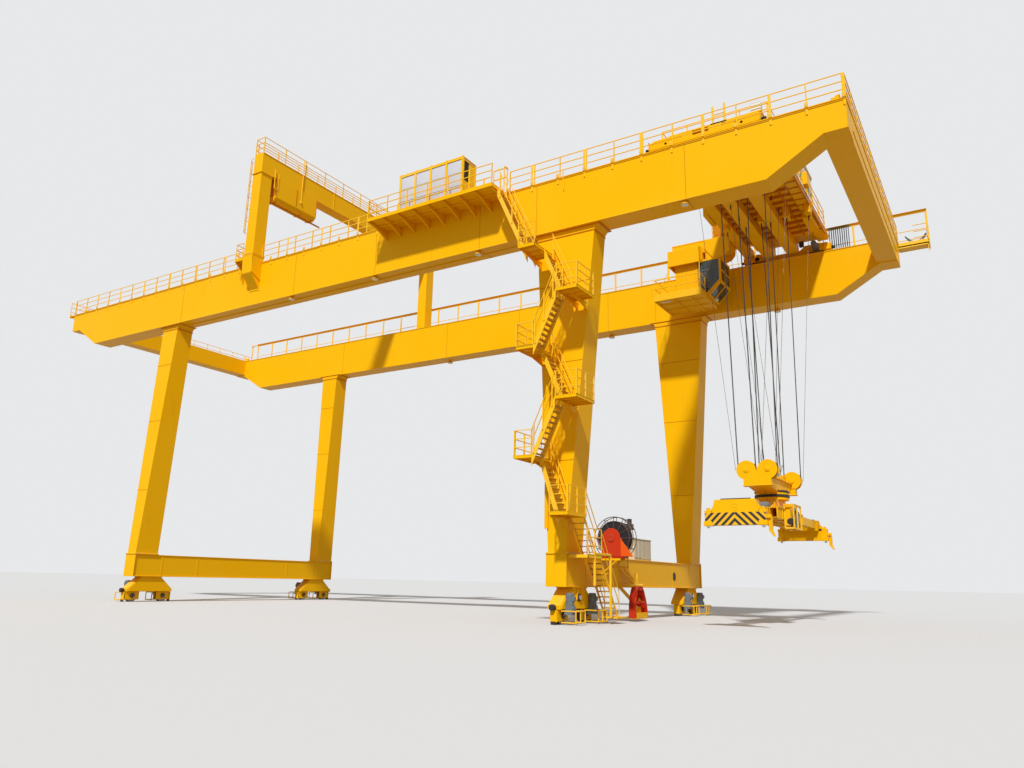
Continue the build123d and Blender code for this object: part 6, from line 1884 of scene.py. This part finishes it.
@dataclass
class House:
    """Electrical house with its panels, and the brackets of its platform."""

    left: float = 5.93
    right: float = 10.10
    near: float = -9.365
    deck: float = 20.44
    roof: float = 22.70

    def walls(self, shop: Workshop) -> None:
        """Panels, frame caps, roof, door and louvres."""
        bay = (self.right - self.left - 0.10) / 4
        panels, frame, ribs = [], [], []
        for n in range(4):
            x = self.left + 0.10 + n * bay
            panels.append(shop.box((x + 0.02, x + bay - 0.12), (self.near + 0.012, self.near + 0.04),
                                   (self.deck + 0.12, self.roof - 0.12)))
            ribs += [shop.box((x + 0.06, x + bay - 0.16), (self.near + 0.002, self.near + 0.014), (z, z + 0.012))
                     for z in (21.15, 21.86)]
        shop.hand_over(panels, "house_panels", "panel_grey", "gantry", soften=0.012, segments=2)
        shop.hand_over(ribs, "house_panel_joints", "motor_grey", "gantry")
        for x in [self.left + 0.05 + n * bay for n in range(5)]:
            frame.append(shop.box(about(x, 0.065), (self.near - 0.02, self.near + 0.01), (self.deck, self.roof)))
            frame.append(shop.plate([(x - 0.07, self.roof), (x + 0.07, self.roof), (x + 0.04, 22.84),
                                     (x - 0.04, 22.84)], Axis.Y, (self.near + 0.02, self.near + 0.05)))
        for z in (self.deck + 0.06, self.roof - 0.05):
            frame.append(shop.box((self.left - 0.02, self.right + 0.02), (self.near - 0.025, self.near + 0.02),
                                  about(z, 0.06)))
        frame.append(shop.box((self.left - 0.03, self.right + 0.03), (self.near - 0.03, -8.22), (22.69, 22.74)))
        frame += [shop.box((x, x + 0.05), (self.near + 0.05, -8.28), (22.74, 22.77)) for x in spread(6.0, 9.95, 0.45)]
        for y in (self.near + 0.03, -8.28):
            frame.append(shop.box((self.right - 0.01, self.right + 0.03), about(y, 0.05), (self.deck, self.roof)))
        frame.append(shop.box(about(self.right, 0.02), (self.near + 0.08, -8.33), (20.52, 21.42)))
        frame.append(shop.box((self.right - 0.04, self.right + 0.01), (-8.84, -8.33), (21.40, 22.60)))
        frame += [shop.box((self.right - 0.01, self.right + 0.025), (-9.30, -8.33), about(z, 0.03))
                  for z in (21.42, 22.58)]
        shop.hand_over(frame, "house_frame", "yellow_tube", "gantry", soften=0.008)
        # The louvres are black: painted shade for the dark openings behind their blades.
        vents = [shop.box((self.right - 0.09, self.right - 0.018), (-9.26, -8.84), (21.45, 22.56))]
        vents += [shop.box((self.right - 0.018, self.right - 0.01), (-9.22, -8.86), (z, z + 0.03))
                  for z in spread(21.5, 22.5, 0.25)]
        vents += [shop.box((self.left - 0.025, self.left), (-9.1, -8.5), (z, z + 0.03))
                  for z in spread(21.0, 22.3, 0.13)]
        shop.hand_over(vents, "house_louvres", "rubber", "gantry", soften=0.004)

    def platform(self, shop: Workshop) -> None:
        """Deck, edge channels, shallow brackets and grating of the platform."""
        near, wall, under = -9.805, -WEB_OUT, 20.36
        parts = [shop.box((4.15, 12.20), (near, wall), (under + 0.02, self.deck)),
                 shop.box((4.14, 12.21), (near - 0.01, near + 0.03), (under - 0.06, self.deck + 0.06)),
                 shop.box((4.14, 4.17), (near, wall - 0.01), (under - 0.06, self.deck + 0.06)),
                 shop.box((12.18, 12.21), (near, wall - 0.01), (under - 0.06, self.deck + 0.06)),
                 shop.box((4.15, 12.20), (-9.0, -8.94), (under - 0.08, under + 0.02))]
        fin = shop.plate([(wall, under - 0.50), (wall, under), (near + 0.04, under), (near + 0.04, under - 0.07),
                          (-9.1, under - 0.16)], Axis.X, (-0.012, 0.012))
        flange = shop.plate([(wall, under - 0.50), (wall, under - 0.53), (-9.1, under - 0.19),
                             (near + 0.04, under - 0.09), (near + 0.04, under - 0.07), (-9.1, under - 0.16)],
                            Axis.X, (-0.05, 0.05))
        parts.append(shop.repeat(shop.join([fin, flange]), [(x, 0.0, 0.0) for x in spread(4.22, 12.13, 0.99)]))
        shop.hand_over(parts, "house_platform_frame", "yellow_plate", "gantry", soften=0.005,
                       replaces=("house_platform",))
        deck = [shop.box((4.18, 5.90), (-9.77, -8.25), (self.deck, 20.455)),
                shop.box((10.14, 12.17), (-9.77, -8.25), (self.deck, 20.455))]
        shop.hand_over(deck, "house_deck_plates", "grating", "gantry")
        gate = [((12.12, -8.6, self.deck), (12.12, -8.6, 21.95)), ((11.30, -8.32, self.deck), (11.30, -8.32, 22.05)),
                ((12.12, -8.6, 21.95), (12.12, -8.26, 21.95)), ((11.3, -8.32, 22.03), (12.12, -8.32, 22.03)),
                ((11.3, -8.32, 21.5), (12.12, -8.32, 21.5)), ((12.12, -8.32, self.deck), (12.12, -8.32, 22.05))]
        shop.hand_over([shop.rods(gate, 0.03, 8)], "house_stair_gate", "yellow_tube", "gantry")

    def build(self, shop: Workshop) -> None:
        """Build the house and its platform."""
        self.walls(shop)
        self.platform(shop)


@dataclass
class Portal:
    """Trim of the service portal: collars, tapered tails, side platform, ladder cage and hoist housing."""

    low: float = -6.90
    high: float = -6.10
    column: float = 8.50
    half: float = 0.42

    def columns(self, shop: Workshop) -> None:
        """Collars, tails, flanges under the beam and bolt rows."""
        parts, bolts = [], []
        for end in (-1, 1):
            inner, outer = self.column - self.half, self.column + self.half
            for z in ((20.96, 21.03), (21.05, 21.09), (26.60, 26.66)):
                parts.append(shop.box((self.low - 0.07, self.high + 0.07),
                                      outward(0.0, end, inner - 0.02, outer + 0.07), z))
            socket = [(end * 8.21, 20.96), (end * 8.21, 19.45), (end * 8.93, 19.85), (end * 8.985, 20.96)]
            parts.append(shop.plate(socket, Axis.X, (self.low - 0.05, self.low + 0.01)))
            parts.append(shop.plate(socket, Axis.X, (self.high - 0.01, self.high + 0.05)))
            parts.append(shop.plate([(end * 8.90, 20.96), (end * 8.90, 19.83), (end * 8.93, 19.83),
                                     (end * 8.985, 20.96)], Axis.X, (self.low - 0.05, self.high + 0.05)))
            parts.append(shop.box((self.low - 0.03, self.high + 0.03), outward(0.0, end, 8.205, 8.24), (18.86, 19.0)))
            for n in range(5):
                bolts.append(shop.disc((self.low + 0.08 + 0.16 * n, end * (outer + 0.035), 21.105), 0.02, 0.03,
                                       Axis.Z, 6))
        for y in (-2.6, 2.6):
            parts.append(shop.box((self.low - 0.03, self.high + 0.03), about(y, 0.03), (26.66, 28.0)))
        for z in (26.70, 27.97):
            parts.append(shop.box((self.low - 0.035, self.high + 0.035), (-8.9, 8.9), about(z, 0.02)))
        shop.hand_over(parts, "portal_collars", "yellow_plate", "gantry", soften=0.008)
        shop.hand_over(bolts, "portal_bolts", "bright_steel", "gantry")

    def hoist(self, shop: Workshop) -> None:
        """Flanges and the hanging poles at the hoist's housing."""
        parts = [shop.box((-7.0, -6.0), about(y, 0.03), (25.5, 26.68)) for y in (-7.68, -6.0, -4.24)]
        parts += [shop.box((-6.80, -6.20), about(y, 0.03), (25.12, 25.20)) for y in (-7.5, -5.4, -4.4)]
        parts.append(shop.box((-6.55, -6.45), (-8.0, -3.4), (25.08, 25.16)))
        shop.hand_over(parts, "portal_hoist_flanges", "orange_plate", "gantry", soften=0.008)
        pole = [((-6.02, -5.6, 25.9), (-6.02, -5.6, 29.08)), ((-6.02, -7.9, 25.9), (-6.02, -7.9, 27.2)),
                ((-6.02, -7.6, 25.9), (-6.02, -7.6, 27.0)), ((-6.02, -7.9, 25.9), (-6.02, -7.6, 25.9)),
                ((-6.5, -4.9, 28.0), (-6.5, -4.9, 29.08)), ((-6.9, -8.7, 28.2), (-6.9, -8.7, 28.9))]
        shop.hand_over([shop.rods(pole, 0.035, 8), shop.disc((-6.02, -5.6, 25.88), 0.09, 0.10, Axis.Z, 12)],
                       "portal_poles", "yellow_tube", "gantry")

    def access(self, shop: Workshop) -> None:
        """Ladder hoops and the small railed platform beside the near column."""
        hoop = [(-7.10 - 0.55 * math.sin(a), -8.5 + 0.33 * math.cos(a)) for a in arc(6)]
        bars = []
        for z in spread(22.9, 27.9, 0.9):
            bars += chain([(x, y, z) for x, y in hoop])
        bars += [((x, y, 22.9), (x, y, 27.9)) for x, y in hoop[1:-1]]
        shop.hand_over([shop.rods(bars, 0.018, 6)], "portal_ladder_cage", "yellow_tube", "gantry")
        deck = [shop.box((-7.65, -6.95), (-8.98, -8.25), (20.76, 20.82)),
                shop.box((-7.67, -6.95), (-9.0, -8.97), (20.72, 20.90)),
                shop.box((-7.67, -7.64), (-8.98, -8.25), (20.72, 20.90))]
        for x in (-7.60, -6.98):
            deck.append(shop.plate([(-8.22, 19.60), (-8.22, 20.76), (-8.95, 20.76), (-8.95, 20.66), (-8.42, 20.30),
                                    (-8.38, 19.60)], Axis.X, about(x, 0.02)))
        shop.hand_over(deck, "portal_side_platform", "yellow_plate", "gantry", soften=0.006)
        posts = [((x, -8.96, 20.8), (x, -8.96, 21.9))
                 for x in (-7.63, -7.0)] + [((-7.63, -8.35, 20.8), (-7.63, -8.35, 21.9))]
        posts += [((-7.63, -8.96, z), (-7.0, -8.96, z)) for z in (21.88, 21.53, 21.18)]
        posts += [((-7.63, -8.96, z), (-7.63, -8.35, z)) for z in (21.88, 21.53, 21.18)]
        shop.hand_over([shop.rods(posts, 0.026, 8)], "portal_side_railing", "yellow_tube", "gantry")

    def build(self, shop: Workshop) -> None:
        """Build the portal's pieces."""
        self.columns(shop)
        self.hoist(shop)
        self.access(shop)


@dataclass
class Festoon:
    """Hanging cable loops on their track, carriers, brackets and the tip platform."""

    loops: int = 9
    first: float = 24.32
    gathered: float = 1.08

    def cables(self, shop: Workshop) -> None:
        """Loops of flat cable gathered beside the trolley, under sliding carriers."""
        step = self.gathered / self.loops
        top = 22.86
        strands = []
        for n in range(self.loops):
            x = self.first + step * n
            deep = 21.26 + 0.10 * (n % 3)
            bend = [(x + step / 2 - step / 2 * math.cos(a), deep + 0.12 - 0.12 * math.sin(a)) for a in arc(6)]
            for lane in (0.0, 0.04, 0.08, 0.12):
                ends = chain([(at, 8.87 + lane, z) for at, z in ((x, top), *bend, (x + step, top))])
                strands.append(shop.rods(ends, 0.021, 6))
        shop.hand_over(strands, "festoon_loops", "cable_blue", "gantry", replaces=("festoon_cables",))
        cars = []
        for n in range(self.loops + 1):
            x = self.first + step * n
            cars.append(shop.box(about(x, 0.03), (8.87, 9.0), (22.80, 22.895)))
            cars += [shop.disc((x, y, top), 0.03, 0.02, Axis.Y, 12) for y in (8.862, 9.008)]
        shop.hand_over(cars, "festoon_carriers", "dark_paint", "gantry", soften=0.004)

    def walkway(self, shop: Workshop) -> None:
        """Track flange, knee brackets, toe board and grating strips of the far walkway."""
        xs = spread(-26.845, 29.54, 1.95)
        parts = [shop.box((-26.9, 29.6), (8.885, 9.005), (22.93, 22.945)),
                 shop.box((-26.9, 29.6), (9.025, 9.044), (20.70, 20.86))]
        for x in xs:
            parts.append(shop.box(about(x, 0.055), (8.99, 9.044), (20.70, 22.90)))
            parts.append(shop.plate([(8.25, 20.05), (8.25, 20.64), (9.02, 20.64), (9.02, 20.55)], Axis.X,
                                    about(x, 0.02)))
        shop.hand_over(parts, "festoon_posts", "yellow_tube", "gantry", soften=0.006)
        strips = [shop.box((x0, x0 + 1.92), (8.27, 9.0), (20.70, 20.712)) for x0 in spread(-26.85, 27.6, 1.95)]
        shop.hand_over(strips, "festoon_gratings", "grating", "gantry")

    def tips(self, shop: Workshop) -> None:
        """Decks and railings at both tips of the far walkway, and the cable left slack on it."""
        levels = (21.78, 21.4, 21.02)
        tip = [shop.box((28.0, 29.59), (8.25, 9.04), (20.56, 20.64)),
               shop.box((29.56, 29.598), (8.25, 9.04), (20.50, 20.86)),
               shop.box((28.0, 29.59), (8.25, 8.28), (20.50, 20.84)),
               shop.box((29.55, 29.598), (8.26, 8.31), (20.64, 21.80))]
        tip += [shop.box((-27.69, -26.88), (8.25, 9.04), (20.56, 20.64)),
                shop.box((-27.69, -26.88), (8.90, 8.98), (22.84, 22.93)),
                shop.box((-27.69, -27.58), (8.99, 9.04), (20.60, 22.90)),
                shop.box((-27.69, -26.88), (8.25, 8.28), (20.50, 20.84))]
        bars = [((29.57, 8.28, z), (29.57, 9.01, z)) for z in levels]
        bars += [((-27.66, 8.28, z), (-27.66, 9.01, z)) for z in levels]
        bars += [((-27.66, 8.28, 20.6), (-27.66, 8.28, 21.8)), ((-27.66, 9.0, 21.4), (-26.8, 9.0, 21.4))]
        bars += [((28.85, 8.28, z), (29.57, 8.28, z)) for z in levels]
        shop.hand_over([*tip, shop.rods(bars, 0.025, 8)], "walkway_tip", "yellow_tube", "gantry",
                       soften=0.006)
        slack = []
        for k in range(3):
            y = 8.5 + 0.1 * k
            points = [(28.4 + 0.12 * n, y, 21.30 - (0.42 + 0.05 * k) * math.sin(math.pi * n / 9)) for n in range(10)]
            slack += chain(points)
        shop.hand_over([shop.rods(slack, 0.02, 6)], "walkway_slack_cable", "cable_blue", "gantry")

    def build(self, shop: Workshop) -> None:
        """Build the far side's pieces."""
        self.cables(shop)
        self.walkway(shop)
        self.tips(shop)


PARTS = (HoistRopes, Headblock, Spreader, Trolley, Cabin, CableReel, Travel, LegsAndSills, Stairs, Girders, House,
         Portal, Festoon)


@dataclass
class Studio:
    """Camera at the photograph's angle, pale floor and plain light."""

    eye: Point = (31.695, -38.337, 1.734)
    yaw: float = 0.565
    pitch: float = 0.246
    roll: float = 0.021
    lens: float = 27.562
    sun: float = 3.15
    sun_from: Point = (0.25, -0.66, 0.71)
    sky: float = 0.44
    sky_tint: Point = (1.0, 0.96, 0.91)
    pale: Point = (0.80, 0.81, 0.82)
    ground: Point = (0.66, 0.67, 0.68)
    bounce: Point = (0.36, 0.31, 0.24)

    def camera(self) -> None:
        """Place the camera."""
        forward = Vector((-math.sin(self.yaw) * math.cos(self.pitch), math.cos(self.yaw) * math.cos(self.pitch),
                          math.sin(self.pitch)))
        right = Vector((math.cos(self.yaw), math.sin(self.yaw), 0.0))
        upward = right.cross(forward)
        c, s = math.cos(self.roll), math.sin(self.roll)
        axes = Matrix((c * right + s * upward, -s * right + c * upward, -forward)).transposed()
        data = bpy.data.cameras.new("photo_view")
        data.lens, data.sensor_width, data.clip_end = self.lens, 36.0, 1000.0
        eye = bpy.data.objects.new("photo_view", data)
        eye.matrix_world = Matrix.Translation(real(*self.eye)) @ axes.to_4x4()
        bpy.context.scene.collection.objects.link(eye)
        bpy.context.scene.camera = eye

    def lights(self) -> None:
        """Add one soft sun and an even sky that shows as a pale background."""
        data = bpy.data.lights.new("key", "SUN")
        data.energy, data.angle = self.sun, math.radians(3)
        key = bpy.data.objects.new("key", data)
        key.rotation_euler = Vector(self.sun_from).to_track_quat("Z", "Y").to_euler()
        bpy.context.scene.collection.objects.link(key)
        world = bpy.data.worlds.new("sky")
        bpy.context.scene.world = world
        world.use_nodes = True
        world.node_tree.nodes.clear()
        net = Tree(world.node_tree)
        path = net.add("LightPath")
        seen = net.math("MAXIMUM", path.outputs["Is Camera Ray"],
                        net.math("MAXIMUM", path.outputs["Is Glossy Ray"], path.outputs["Is Transmission Ray"]))
        soft = net.add("Background", in_Color=(*self.sky_tint, 1.0), in_Strength=self.sky)
        pale = net.add("Background", in_Color=(*self.pale, 1.0), in_Strength=1.0)
        choose = net.add("MixShader")
        net.wire(seen, choose.inputs[0])
        net.wire(soft.outputs[0], choose.inputs[1])
        net.wire(pale.outputs[0], choose.inputs[2])
        net.wire(choose.outputs[0], net.add("OutputWorld").inputs[0])

    def floor(self) -> None:
        """Lay a large plain floor, darker to the light that it would throw back up."""
        bpy.ops.object.select_all(action="DESELECT")
        bpy.ops.mesh.primitive_plane_add(size=900.0)
        floor = bpy.context.active_object
        floor.name = "floor"
        material, net, shader = new_material("floor_pale")
        path = net.add("LightPath")
        net.wire(net.mix(path.outputs["Is Diffuse Ray"], self.ground, self.bounce), shader.inputs["Base Color"])
        shader.inputs["Roughness"].default_value = 0.95
        shader.inputs["Specular IOR Level"].default_value = 0.0
        floor.data.materials.append(material)

    def build(self) -> None:
        """Set up the whole studio."""
        scene = bpy.context.scene
        scene.view_settings.view_transform = "Standard"
        self.camera()
        self.lights()
        self.floor()


def dress_frame(frame: dict, finishes: Finishes) -> None:
    """Give every CAD node the finish of its own material slot.

    Args:
        finishes: the finishes.
    """
    for name, node in frame["nodes"].items():
        for spot in node.material_slots:
            key = spot.material.name.split(".")[0] if spot.material else ""
            match = next((slot for slot in Slot if slot.value == key), None)
            if match is None:
                log.warning("%s has an unknown material %s", name, key)
            else:
                spot.material = finishes[SLOT_FINISH[match]]


def main() -> None:
    """Build the studio, dress the frame and add every sub-assembly."""
    logging.basicConfig(level=logging.INFO, format="%(name)s: %(message)s")
    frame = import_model()
    Studio().build()
    shop = Workshop(Finishes())
    dress_frame(frame, shop.finishes)
    for part in PARTS:
        part().build(shop)
    log.info("%d pieces", len(shop.names))


if __name__ == "__main__":
    main()
